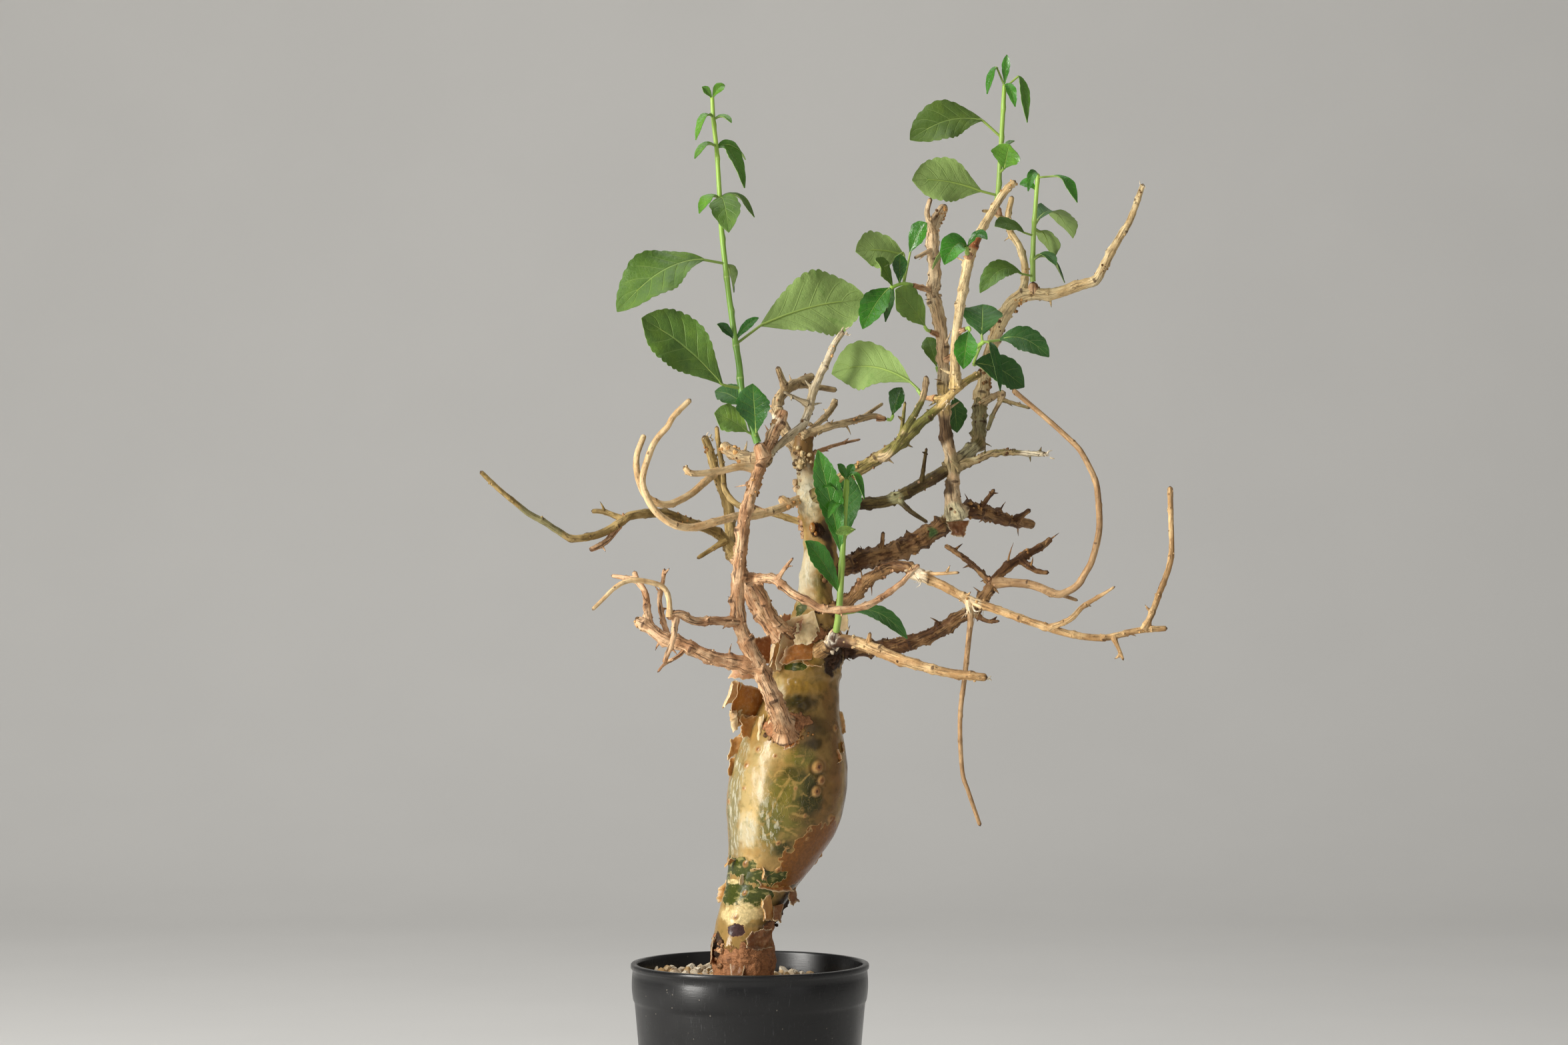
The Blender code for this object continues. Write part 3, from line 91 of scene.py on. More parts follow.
# Woody twigs: radii spread evenly over the points, then the points
WOOD = {
    "front_left": ((4.2, 3.0, 2.6, 2.4), (
        (17, -12, 209), (12, -25, 226), (4, -30, 244), (-3, -32, 259), (-5, -33, 272), (-4, -32, 289),
        (-2, -30, 308), (2, -27, 322), (6, -23, 334), (14, -17, 352), (15, -16, 355))),
    "front_left_tip": ((1.7, 1.9, 1.3), (
        (6, -23, 334), (12, -20, 339), (19, -16, 345), (24, -13, 350), (28, -11, 364), (31, -10, 371),
        (34, -9, 377), (37, -8, 384), (41, -8, 390))),
    "front_left_tip_spur": ((1.2, 0.5), ((25, -12.5, 358), (14.5, -16, 363))),
    "left_stub": ((3.2, 2.8, 2.4), (
        (5, -29.5, 244), (-4, -31, 245.5), (-16, -33, 248), (-27, -34, 253), (-36, -34, 256),
        (-43, -33, 261), (-49, -32, 264))),
    "left_stub_hook": ((1.0, 0.5), ((-27, -34, 253), (-30, -36, 249), (-36, -40, 245.5), (-39, -41, 242))),
    "left_stub_riser": ((1.8, 1.4, 1.1), (
        (-43, -33, 261), (-44, -27, 268), (-45, -24, 275.5), (-48.5, -22, 281), (-50, -21, 285))),
    "left_stub_riser_thorn": ((1.3, 0.8), ((-48.5, -22, 281), (-60, -20, 283))),
    "left_stub_twig": ((1.4, 0.8), (
        (-34, -34, 255), (-37, -26, 263), (-39, -20, 272), (-38, -17, 278), (-37, -15, 286))),
    "left_bracket": ((2.0, 1.7), (
        (-3, -32, 263), (-14, -38, 264), (-23, -42, 264), (-29, -45, 267), (-35, -47, 266))),
    "left_bracket_arc": ((1.2, 1.1, 0.8), (
        (-33.5, -46.5, 266), (-34, -47, 274), (-37, -48, 279), (-46, -50, 281.5), (-52, -51, 281),
        (-57, -52, 278), (-61, -53, 274), (-66, -54, 269))),
    "left_bracket_drop": ((1.4, 1.0), ((-31, -45.5, 266), (-32, -45, 257), (-35, -44, 249), (-36, -43, 246))),
    "front_crosser_root": ((2.4, 2.0), ((22, -3, 254), (11, -16, 264), (5, -25, 276), (1, -28.5, 281))),
    "front_crosser": ((2.0, 1.8, 1.4, 1.0), (
        (0, -29, 281.5), (8, -34, 282), (12, -36, 281), (18, -38, 276), (25, -39, 272.5), (32, -39, 269),
        (44, -39, 269), (51.5, -39, 271), (59, -38, 275.5), (65, -37, 280), (69, -36, 284), (73, -35, 288))),
    "front_crosser_thorn": ((1.1, 0.5), ((12, -36, 281), (15, -37.5, 286), (19, -38, 291))),
    "back_left": ((3.2, 2.8, 2.6), ((16, -1, 250), (3, 2, 268), (-1.5, 6, 278), (-7, 10, 292))),
    "back_left_arm": ((2.4, 2.2, 1.9, 1.5, 1.3, 1.0), (
        (-6, 10, 291), (-13, 8, 300), (-18, 5, 303), (-27, 0, 306), (-38, -8, 310), (-51.5, -15, 309),
        (-56, -17, 306), (-65, -20, 301), (-76, -24, 299), (-82, -26, 302), (-88, -28, 306),
        (-95, -30, 310), (-101, -32, 315), (-107, -34, 320), (-115, -37, 328))),
    "back_left_arm_high": ((1.4, 1.0), ((-54, -16, 307), (-63, -15, 310.5), (-69, -14, 311))),
    "back_left_arm_low": ((1.4, 1.2), ((-57, -17, 305), (-62, -18, 298), (-69, -23, 294))),
    "back_left_arm_root": ((1.4, 0.8), ((-11, 8, 298), (-23.5, 4, 290))),
    "back_riser": ((2.8, 2.3, 1.7), (
        (-7, 10, 291), (-9, 16, 304), (-10, 20, 314), (-13, 22, 322), (-16, 23, 330), (-18.5, 23, 339),
        (-21, 22, 345))),
    "back_riser_arc": ((1.7, 1.6, 1.3), (
        (-15, 23, 329), (-21.5, 16, 323), (-26, 12, 319), (-31, 8, 316), (-36, 5, 314), (-41, 3, 314.6),
        (-46, 2, 318), (-48.5, 2, 323), (-50, 3, 329), (-50, 5, 336), (-47, 9, 345))),
    "neck_back_twig": ((1.5, 1.3, 1.0), (
        (26, 0, 305), (10, 3, 310), (-4, 8, 313), (-11, 10, 320), (-12, 11, 328), (-14, 12, 340),
        (-15, 12, 349))),
    "left_loop": ((2.2, 1.8, 1.6, 1.4, 1.2), (
        (26, 1, 317), (19, -5, 315), (13, -9, 312), (1.5, -15, 309), (-4, -18, 309), (-12, -22, 307),
        (-23.5, -28, 304), (-31, -31, 304.6), (-37, -33, 308), (-41, -34, 312), (-44, -35, 317.5),
        (-45.6, -36, 325), (-42, -36, 337), (-39, -35, 342.5), (-35, -35, 347), (-32, -34, 352),
        (-25, -32, 359))),
    "left_loop_boss": ((2.0, 1.4), ((17, -6.5, 313), (13, -7, 317.5))),
    "front_left_twig": ((1.8, 1.5, 1.2), (
        (4, -24, 329), (-4, -28, 330), (-13, -32, 328), (-24, -37, 327), (-28, -38, 330))),
    "scarred_stub": ((2.8, 2.5), ((7, -22, 334), (-2, -14, 334), (-8, -8, 337), (-12, -4, 340))),
    "back_centre": ((2.8, 2.5, 2.0), (
        (24.5, 1, 332), (16, 14, 346), (12, 20, 355), (13, 24, 362), (18, 27, 367), (28.5, 33, 372.5))),
    "back_centre_side": ((1.5, 1.2), ((21, 28.5, 368.5), (32, 34, 367), (39, 36, 366))),
    "back_centre_stub": ((1.6, 1.3), ((16, 26, 365), (12, 22, 376))),
    "middle_twig": ((1.8, 1.5, 1.2), ((22.5, -1, 344), (34, 0, 348), (42, 3, 350), (54, 6, 353), (59, 6, 352))),
    "middle_twig_fork": ((1.0, 0.7), ((49, 5, 352), (59, 10, 359))),
    "middle_twig_back": ((1.3, 1.5), ((24, 1, 344), (35, 12, 355), (38, 16, 361))),
    "middle_thorn": ((1.1, 0.5), ((24, 0, 335), (37, 6, 340), (49, 10, 343))),
    "right_diagonal": ((3.0, 2.8, 2.6, 2.0, 1.5), (
        (27, -1, 316), (37, -10, 322.5), (43, -14, 327), (51, -17, 331), (62, -20, 338), (68, -21, 343),
        (74, -22, 349), (81, -22, 355), (91, -22, 365), (100.5, -22, 371))),
    "right_diagonal_riser": ((1.7, 1.5, 1.2), (
        (56, -18.5, 334), (60, -23, 335), (65, -27, 342), (68, -30, 347.5), (72, -32, 354), (75, -34, 361),
        (76, -35, 369))),
    "right_diagonal_spur": ((1.0, 0.6), ((65.5, -27.5, 343), (67, -33, 358))),
    "right_diagonal_leaf_twig": ((1.3, 1.1), ((86, -22, 360), (81, -15, 360), (78, -12, 360))),
    "pale_upright": ((2.2, 2.0, 2.3, 1.8, 1.5), (
        (89.5, -22, 364), (89, -22, 378), (90, -21, 390), (93, -19, 409), (96, -18, 422.5), (99, -17, 430),
        (103, -16, 437), (111, -14, 450), (116, -14, 455))),
    "tall_riser": ((3.4, 2.8, 2.6, 2.6, 3.0, 2.6, 2.8, 2.2), (
        (92, 15, 308), (90, 14, 317), (90, 14, 331), (87, 13, 346), (86, 12, 361), (86, 12, 375),
        (85, 12, 390), (83, 12, 401), (81, 12, 409), (82, 12, 417), (81, 12, 431), (82, 12, 439),
        (87, 12, 447.5))),
    "tall_riser_tip": ((1.5, 1.0), ((81.5, 11.5, 435), (78.5, 8, 443), (80, 7, 450))),
    "tall_riser_thorn": ((1.1, 0.7), ((82, 12, 428), (72.6, 5, 423))),
    "thick_right": ((3.8, 3.8, 3.8, 3.0, 2.0), (
        (30, 0, 284), (43, 8, 287), (51, 10, 290), (62, 13, 292.5), (71, 15, 296), (79, 16, 300.5),
        (87, 17, 305), (94, 18, 311), (103, 22, 311), (110, 26, 309), (116, 30, 307), (128.5, 36, 305))),
    "thick_right_fork": ((1.5, 1.0), ((119, 31, 306.5), (126, 28, 312))),
    "thick_right_thorn": ((1.3, 0.8), ((102, 21, 311), (109, 17, 321))),
    "thick_right_stub": ((1.2, 0.8), ((58, 12, 291), (59, 8, 302))),
    "cross": ((2.7, 2.6, 2.8), (
        (28, 0, 310), (47, 6, 314), (58, 8, 315), (65, 10, 317), (80, 13, 325), (88, 14, 330))),
    "cross_drop": ((1.4, 0.8), ((65, 10, 317), (71, 6, 311), (78.5, 4, 306))),
    "cross_thorn": ((1.2, 0.6), ((76, 12, 323), (78, 4, 339))),
    "kinked": ((3.0, 2.8, 3.0, 2.6), (
        (89, 14, 330), (98, 20, 338), (102, 23, 342.5), (103, 26, 355), (103.5, 28, 364))),
    "kinked_side": ((1.6, 1.2, 1.0, 0.9), ((103, 27, 359), (113, 20, 364), (109, 22, 355), (106, 21, 347))),
    "kinked_thorn": ((1.0, 0.7), ((111, 21, 361.5), (125, 17, 357))),
    "kinked_low": ((1.9, 1.6, 1.1), ((92, 15, 331), (101, 12, 334), (110, 8, 337), (130, -3, 336))),
    "long_riser": ((2.6, 2.8, 3.2, 2.8, 2.4, 2.0, 1.7, 1.2), (
        (103.5, 28, 361), (107, 30, 379.5), (110, 31, 389), (113, 31, 397), (117, 31, 404), (122, 30, 408),
        (128, 29, 409), (136, 28, 409), (149, 26, 413), (155, 25, 415), (158, 24, 420), (162, 22, 428),
        (166, 20, 435), (170, 18, 442), (175, 14, 457))),
    "long_riser_thorn": ((1.3, 0.8), ((112, 31, 395), (106, 27, 404))),
    "back_stem": ((1.9, 1.6, 1.3), (
        (122, 30, 407), (124, 36, 415), (124.4, 40, 423), (122, 42, 432), (118.5, 44, 438),
        (117, 44, 445), (119, 44, 455))),
    "back_stem_spur": ((1.3, 1.2, 0.7), ((118, 44, 442), (111, 44, 447), (105, 42, 448))),
    "lower_right": ((4.2, 3.4, 2.9, 2.6, 2.2, 1.8, 1.2), (
        (26, 0, 246), (40, 2, 250), (51, 2, 250.5), (62, 0, 251), (76, -4, 255), (84, -6, 259),
        (91, -8, 264), (98.5, -9, 268), (103, -10, 274), (109, -10, 283), (118, -6, 290),
        (128.5, -1, 295.5), (133, 1, 299))),
    "lower_right_back": ((1.3, 1.1), ((106, -10, 279), (96, -3, 289), (86, 2, 296))),
    "lower_right_stub": ((1.4, 1.0), ((118, -6, 290), (125, -8, 285), (131, -9, 284))),
    "lower_right_thorn": ((1.2, 0.6), ((97, -9, 267), (103.5, -12, 263), (109, -14, 263))),
    "great_arc": ((2.0, 1.7, 1.5, 1.4, 1.3, 1.2, 1.1), (
        (107, -10, 280), (122, -15, 279), (133, -18, 275), (138, -19, 276), (142.5, -20, 279),
        (145.5, -21, 284), (148.5, -22, 290), (151.5, -22, 303), (151, -22, 317), (150, -21, 324),
        (147, -20, 331), (143, -19, 338), (137, -18, 344), (130.5, -17, 350), (114.5, -14, 364))),
    "great_arc_thorn": ((1.1, 0.7), ((131, -17.5, 276), (143, -15, 272))),
    "rough_link": ((2.8, 2.4, 2.2), (
        (30, 1, 264), (42, -8, 271), (47, -12, 276), (51.5, -16, 281), (56, -20, 284), (62, -23, 287),
        (68, -26, 286.6), (73, -29, 283.5))),
    "long_right": ((2.2, 2.0, 1.8, 1.6, 1.4, 1.2), (
        (70, -27.5, 285), (76, -30, 282), (83, -33, 279), (94, -36, 273), (108, -40, 268), (122, -43, 263),
        (137, -45, 258.5), (151, -45, 257), (165, -45, 260), (178, -45, 261))),
    "long_right_riser": ((1.4, 1.3, 1.2), (
        (168, -45, 260), (171.6, -44, 267.6), (174.5, -43, 275), (180, -41, 290.6), (180.4, -38, 308.7),
        (180.3, -36, 321.6))),
    "long_right_thorn": ((1.3, 1.1, 0.5), (
        (128, -44, 261), (136.5, -47, 265), (142, -48, 270.5), (149, -50, 275), (155, -52, 279))),
    "long_right_down_thorn": ((1.1, 0.6), ((155, -45, 257.5), (159, -48, 247.5))),
    "long_right_root_thorn": ((1.0, 0.6), ((72, -28.5, 284), (80, -34, 284), (90, -38, 284.6))),
    "hanging_twig": ((1.4, 1.2, 1.0, 0.9), (
        (94, -36, 273), (94.7, -38, 264.6), (94, -37, 256), (92.4, -36, 240), (90.4, -36, 222),
        (91.3, -36, 200), (94, -37, 190.5), (99, -37, 176))),
    "pale_low": ((3.4, 3.0, 2.6, 2.2, 1.7), (
        (28, -4, 248), (35, -16, 252.5), (37, -22, 255), (43, -27, 254.6), (50, -31, 253), (63, -38, 248),
        (71, -41, 245.5), (85, -44, 242), (101.5, -46, 240))),
    "pale_low_thorn": ((1.2, 0.7), ((51, -32, 253), (52, -33, 259))),
}

# Short spurs that the green shoots stand on: root, tip, radius
SPURS = {
    "shoot_left": ((6, -23.5, 334), (3.6, -23.8, 340.5), 2.2),
    "shoot_front": ((37, -22.5, 255), (37.6, -26, 259.5), 2.2),
    "shoot_upper_right": ((112, 44, 446.2), (112, 44, 450.5), 1.6),
    "shoot_right": ((127.5, 29, 409), (127.2, 28.6, 414.5), 1.8),
    "spray_centre": ((81, 12, 409), (71.5, 4.5, 411), 1.2),
    "leaf_centre": ((84.5, 12, 389), (79.5, 8.5, 391), 1.1),
    "spray_upright": ((95.5, -18, 421), (94.4, -22.5, 422.5), 1.3),
    "leaf_middle": ((81, -15, 360), (77, -11.2, 360.4), 1.1),
    "leaf_twig": ((56, 6, 352.5), (60.5, 5.9, 351.8), 1.1),
    "spray_right": ((86, 12, 378), (99, -3.5, 383), 1.3),
    "leaf_front": ((90, -21, 388.5), (93.8, -24, 389.8), 1.0),
    "leaf_back": ((86, 12, 361), (89, 16.5, 362.5), 1.1),
    "leaf_back_left": ((86, 12, 371), (84.3, 16, 373), 1.0),
}

# Green stems, from the spur's tip on: radii, then points
STEMS = {
    "shoot_left": ((1.75, 1.6, 1.4, 1.2, 1.0, 0.9), (
        (1, -24, 348), (-3, -22, 361), (-4.4, -20, 374), (-6, -18, 384), (-9, -14, 405), (-12, -10, 431),
        (-13, -8, 446), (-14.4, -6, 468), (-16, -5, 483), (-16.5, -5, 493))),
    "shoot_front": ((1.6, 1.5, 1.3, 1.1), (
        (38.4, -29, 265), (39, -30, 272.5), (40, -30, 290), (41, -30, 308), (42, -30, 325))),
    "shoot_upper_right": ((1.3, 1.2, 1.0), (
        (112.6, 43, 457), (113, 42, 464), (114, 40, 483), (115, 37, 505))),
    "shoot_right": ((1.3, 1.1, 0.9), ((127, 27, 426), (127.3, 26, 437), (128, 25, 448), (129, 24, 463))),
    "spray_centre": ((0.9, 0.8), ((67, 3, 411.5), (61.5, 2, 409.5))),
    "leaf_centre": ((0.8, 0.7), ((77, 7, 393.5),)),
    "spray_upright": ((1.0, 0.9), ((94.2, -24, 425.5),)),
    "leaf_middle": ((0.9, 0.8), ((73, -8.5, 365),)),
    "leaf_twig": ((0.8, 0.7), ((63.5, 5, 354),)),
    "spray_right": ((1.0, 0.9), ((103, -7, 385.5),)),
    "leaf_front": ((0.8, 0.7), ((95.4, -25.5, 388.4),)),
    "leaf_back": ((0.8, 0.7), ((91, 19.5, 361.8),)),
    "leaf_back_left": ((0.8, 0.7), ((83, 18, 376),)),
}

# Leaves: point on the stem, foot of the blade (or None), tip, half width, arch and the way the face looks
LEAVES = {
    "shoot_left": (
        ((-10.6, -11.8, 419), (-19, -15, 420.5), (-57, -26, 397), 12.5, 0.13, (-0.1, -0.8, 0.6)),
        ((-3.4, -21.6, 364), (-11, -25, 365), (-46, -36, 393.5), 12.6, 0.06, (-0.15, -0.9, 0.4)),
        ((1.6, -24, 344), (-0.5, -25.5, 345), (-15, -29, 353), 7.0, 0.06, FRONT),
        ((-1.6, -22.8, 356), None, (-15, -17, 363), 5.6, 0.1, FRONT),
        ((2.6, -24, 343), (3, -27, 344), (1.5, -35, 365.5), 7.6, 0.05, (-0.2, -0.9, 0.4)),
        ((-5.9, -18, 383.5), (4, -12.5, 391.5), (51.5, 2, 404.5), 15.6, 0.05, (0.05, -0.95, 0.3)),
        ((-6.2, -17.8, 385), None, (4, -17, 395), 2.2, 0.1, FRONT),
        ((-6.2, -17.8, 385), None, (-14, -20, 392), 2.2, 0.1, FRONT),
        ((-10.5, -11.9, 418), None, (-7, -5, 407), 3.0, 0.3, UP),
        ((-13.1, -7.9, 448), None, (-9, -19, 432), 7.0, 0.22, FRONT),
        ((-13.1, -7.9, 448), None, (2, -5, 440), 3.4, 0.3, UP),
        ((-13.1, -7.9, 448), None, (-22, -11, 441), 3.2, 0.3, UP),
        ((-14.5, -6, 470), None, (-2.4, -3, 453), 5.0, 0.35, RIGHT_UP),
        ((-14.6, -6, 470.5), None, (-2, 1, 466), 2.6, 0.2, UP),
        ((-14.6, -6, 471), None, (-24, -11, 465), 2.4, 0.25, UP),
        ((-16.1, -5, 484), None, (-23.5, -12, 473), 2.6, 0.3, LEFT_UP),
        ((-16, -5, 483), None, (-8, -9, 481), 2.4, 0.2, UP),
        ((-16.5, -5, 492), None, (-11, -3, 498), 2.4, 0.2, FRONT),
        ((-16.5, -5, 492), None, (-21, -6, 497), 1.8, 0.1, FRONT),
    ),
    "shoot_front": (
        ((40, -30, 291), None, (29.5, -35, 337), 6.0, 0.04, FRONT),
        ((40.3, -30, 297), (41.5, -27.5, 299), (43.5, -21, 326), 6.2, 0.05, FRONT),
        ((39.1, -30, 275), None, (24, -38, 298), 4.9, 0.08, FRONT),
        ((38.5, -29.2, 266.5), (44, -28, 267), (68, -31, 256), 4.0, 0.2, FRONT),
        ((41.5, -30.5, 300.5), (45.6, -34, 303), (37.3, -36.5, 301.4), 2.2, 0.05, (0, -0.95, 0.3)),
        ((41.3, -30, 313), None, (33, -35, 321), 1.6, 0.3, FRONT),
        ((41.3, -30, 313), None, (34, -35, 308), 2.2, 0.35, FRONT),
        ((42, -30, 324), None, (49.5, -32, 316), 2.0, 0.55, RIGHT_UP),
        ((42, -30, 324), None, (38, -33, 331), 2.0, 0.1, FRONT),
        ((42, -30, 324), None, (45, -28, 331), 2.0, 0.1, FRONT),
    ),
    "shoot_upper_right": (
        ((113.9, 40.3, 481), (106, 40, 488.6), (72, 33, 479), 10.2, 0.12, (0, -0.92, 0.38)),
        ((112.5, 43.2, 455), (105.5, 42, 456.5), (73, 35, 461), 11.4, 0.06, (0, -0.95, 0.3)),
        ((113.1, 41.8, 465), (115, 39, 466.5), (117, 33, 477), 7.0, 0.05, FRONT),
        ((113.5, 41, 474), None, (120, 44, 480), 1.8, 0.1, UP),
        ((115, 37.3, 503), (121, 37, 508.5), (125, 34, 487), 2.8, 0.25, RIGHT_UP),
        ((115, 37.1, 504), None, (119.5, 33, 494), 2.4, 0.3, FRONT),
        ((115, 37.1, 504), (112, 37, 512), (107, 35, 500), 2.2, 0.3, LEFT_UP),
        ((115, 37, 504.5), None, (116, 36, 518), 2.0, 0.05, FRONT),
    ),
    "shoot_right": (
        ((127.4, 25.8, 439), (129, 29, 442), (147, 47, 436), 9.0, 0.25, UP),
        ((127.4, 25.9, 438), (129.5, 28, 437), (137, 37, 424), 7.5, 0.25, UP),
        ((127.2, 26.2, 435), (123, 24, 436), (109, 14, 438), 4.2, 0.12, FRONT),
        ((127, 27.2, 424), None, (136.5, 18, 421), 3.8, 0.25, UP),
        ((127, 27.2, 424), None, (142, 34, 414.5), 3.4, 0.3, UP),
        ((127.1, 28.2, 417), (122, 24, 417.5), (102, 9, 408), 5.4, 0.2, FRONT),
        ((129, 24, 462), None, (124, 17, 454), 2.2, 0.3, FRONT),
        ((128.9, 24.1, 461), (136, 22, 461.5), (146, 18, 449), 3.2, 0.2, RIGHT_UP),
        ((128.5, 24.5, 455), None, (121, 26, 458), 2.4, 0.2, FRONT),
    ),
    "spray_centre": (
        ((68, 3.3, 411.4), (68.5, 5, 424), (46.5, -4, 425), 9.2, 0.06, (0, -0.95, 0.3)),
        ((68, 3.3, 411.4), (70.5, 4, 425), (78, 0, 438), 4.6, 0.1, FRONT),
        ((63, 2.2, 410), None, (55, -7, 421), 4.0, 0.1, FRONT),
        ((66, 2.9, 411.2), None, (66, -4, 424), 3.4, 0.1, FRONT),
        ((62, 2, 409.7), None, (49.5, -5, 391), 6.2, 0.1, FRONT),
        ((64, 2.4, 410.3), None, (60, 8, 395), 2.4, 0.2, FRONT),
    ),
    "leaf_centre": (((77.6, 7.3, 393), None, (64, -1, 408.5), 8.2, 0.04, FRONT),),
    "spray_upright": (
        ((94.3, -23.7, 425), None, (84, -30, 417), 5.8, 0.3, FRONT),
        ((94.3, -23.8, 425.2), None, (102.5, -29, 428), 2.6, 0.3, FRONT),
        ((94.3, -23.4, 424.5), None, (80, -8, 417), 3.2, 0.2, UP),
    ),
    "leaf_middle": (((74, -9.2, 364), (71, -8, 367), (36, 0, 371.5), 11.4, 0.14, (0, -0.95, 0.3)),),
    "leaf_twig": (((63, 5.2, 353.5), None, (67, 1, 365.5), 4.4, 0.06, (-0.3, -0.9, 0.3)),),
    "spray_right": (
        ((102, -6, 385), (102, -2, 388), (103, 6, 402.5), 9.4, 0.06, (0, -0.95, 0.3)),
        ((102, -6, 385), (109, -4, 386), (131, -8, 378.5), 6.6, 0.18, FRONT),
        ((102.6, -6.7, 385.4), (104.5, -10, 385), (109, -17, 363), 2.8, 0.2, RIGHT_UP),
        ((101.8, -5.9, 384.8), (98, -1, 376), (121.5, 8, 366), 8.4, 0.1, FRONT),
    ),
    "leaf_front": (((94.8, -25, 388.8), None, (92, -32, 372), 5.2, 0.08, FRONT),),
    "leaf_back": (((90.6, 18.8, 362), None, (92.8, 26, 346.5), 5.4, 0.1, FRONT),),
    "leaf_back_left": (((83.2, 17.8, 375.6), None, (79, 22, 389), 4.4, 0.08, FRONT),),
}


def srgb(red, green, blue):
    """A colour given as 0 to 255, in linear light."""
    def linear(value):
        value /= 255
        return value / 12.92 if value <= 0.04045 else ((value + 0.055) / 1.055) ** 2.4
    return linear(red), linear(green), linear(blue)


def length(name, description, millimetres):
    return FloatProperty(name=name, description=description, default=millimetres * MM, min=0.0, unit="LENGTH",
                         precision=5)


def colour(name, description, *value):
    return FloatVectorProperty(name=name, description=description, default=srgb(*value), size=3, subtype="COLOR",
                               min=0.0, max=1.0)


class PotSizes(bpy.types.PropertyGroup):
    """Sizes and colour of the pot"""
    rim_radius: length("Rim radius", "Outside radius of the lip", 52.5)
    height: length("Height", "From the table to the lip", 112.0)
    base_radius: length("Base radius", "Outside radius of the foot", 42.0)
    wall: length("Wall", "Thickness of the side", 1.7)
    floor: length("Floor", "Thickness of the floor", 3.0)
    lip_height: length("Lip height", "Height of the rolled lip", 2.4)
    collar_height: length("Collar height", "From the lip's top to the step under the collar", 17.0)
    collar_step: length("Collar step", "How far the collar stands out", 1.1)
    steps: IntProperty(name="Steps", description="Faces round the pot", default=144, min=24)
    plastic: colour("Plastic", "Moulded black plastic", 15, 15, 16)


class GravelSizes(bpy.types.PropertyGroup):
    """Sizes and colours of the gravel"""
    top: length("Top", "Height of the gravel's bed", 103.5)
    grain: length("Grain", "Mean width of a pumice grain", 6.4)
    gap: length("Gap", "Least distance between grains", 4.1)
    cream: colour("Cream", "Palest grains", 226, 214, 190)
    tan: colour("Tan", "Yellow-tan grains", 196, 160, 108)
    dust: colour("Dust", "Dark fines between the grains", 92, 74, 54)


class WoodSizes(bpy.types.PropertyGroup):
    """Sizes of the trunk and twigs"""
    row: length("Row", "Distance between rows of points on the trunk", 0.72)
    columns: IntProperty(name="Columns", description="Points round the trunk", default=220, min=16)
    twig_row: length("Twig row", "Distance between rings of points on a twig", 0.75)
    relief: length("Relief", "Height of the small lumps of the bark", 0.35)
    sheet: length("Sheet", "Thickness of a peeling sheet of bark", 0.28)


class LeafSizes(bpy.types.PropertyGroup):
    """Sizes and colours of the leaves"""
    blade: length("Blade", "Thickness of a leaf", 0.42)
    row: length("Row", "Distance between rows of points on a leaf", 0.7)
    tooth: FloatProperty(name="Tooth", description="Depth of the teeth as a share of half the width",
                         default=0.11, min=0.0, max=0.5)
    fold: FloatProperty(name="Fold", description="Rise of the edges as a share of half the width",
                        default=0.16, min=0.0, max=1.0)
    vein: colour("Vein", "Pale veins", 160, 188, 96)
    underside: colour("Underside", "Matt lower face", 146, 170, 96)
    stem: colour("Stem", "Green stems and stalks", 112, 156, 62)


class StageSizes(bpy.types.PropertyGroup):
    """Camera, floor and lights"""
    distance: length("Camera distance", "From the plant's middle to the camera", 1784.0)
    side: length("Camera side", "Camera to the right of the pot's middle", 15.0)
    height: length("Camera height", "Camera above the table", 306.0)
    lens: FloatProperty(name="Lens", description="Focal length in millimetres", default=92.95, min=1.0)
    paper: colour("Paper", "Pale floor and backdrop", 226, 225, 222)


SETTINGS = {
    "commiphora_pot": PotSizes, "commiphora_gravel": GravelSizes, "commiphora_wood": WoodSizes,
    "commiphora_leaf": LeafSizes, "commiphora_stage": StageSizes,
}


def crown_point(x, y, z):
    """A point of the crown in metres; the lists are flatter from front to back than the plant."""
    return Vector((x * MM, y * CROWN_DEPTH * MM, z * MM))


def ease(value):
    value = np.clip(value, 0.0, 1.0)
    return value * value * (3 - 2 * value)


# Shader nodes

def put(tree, kind, inputs=None, **settings):
    """Add a node, with its settings and its inputs, which are values or sockets."""
    item = tree.nodes.new(kind)
    for key, value in settings.items():
        setattr(item, key, value)
    for key, value in (inputs or {}).items():
        if isinstance(value, bpy.types.NodeSocket):
            tree.links.new(value, item.inputs[key])
        else:
            item.inputs[key].default_value = value
    return item


def calc(tree, operation, first, second=0.0):
    return put(tree, "ShaderNodeMath", {0: first, 1: second}, operation=operation).outputs[0]


def stretch(tree, vector, x, y, z):
    return put(tree, "ShaderNodeVectorMath", {0: vector, 1: (x, y, z)}, operation="MULTIPLY").outputs[0]


def band(tree, value, low, high, to_low=0.0, to_high=1.0):
    return put(tree, "ShaderNodeMapRange",
               {0: value, 1: low, 2: high, 3: to_low, 4: to_high}, interpolation_type="SMOOTHSTEP").outputs[0]


def blend(tree, factor, first, second, how="MIX"):
    return put(tree, "ShaderNodeMix", {0: factor, 6: first, 7: second}, data_type="RGBA",
               blend_type=how).outputs[2]


def cloud(tree, vector, scale, detail=3.0, roughness=0.55):
    return put(tree, "ShaderNodeTexNoise",
               {"Vector": vector, "Scale": scale, "Detail": detail, "Roughness": roughness}).outputs[0]


def read(tree, name, part="Fac"):
    return put(tree, "ShaderNodeAttribute", attribute_name=name).outputs[part]


def solid(value):
    return (*value, 1.0)


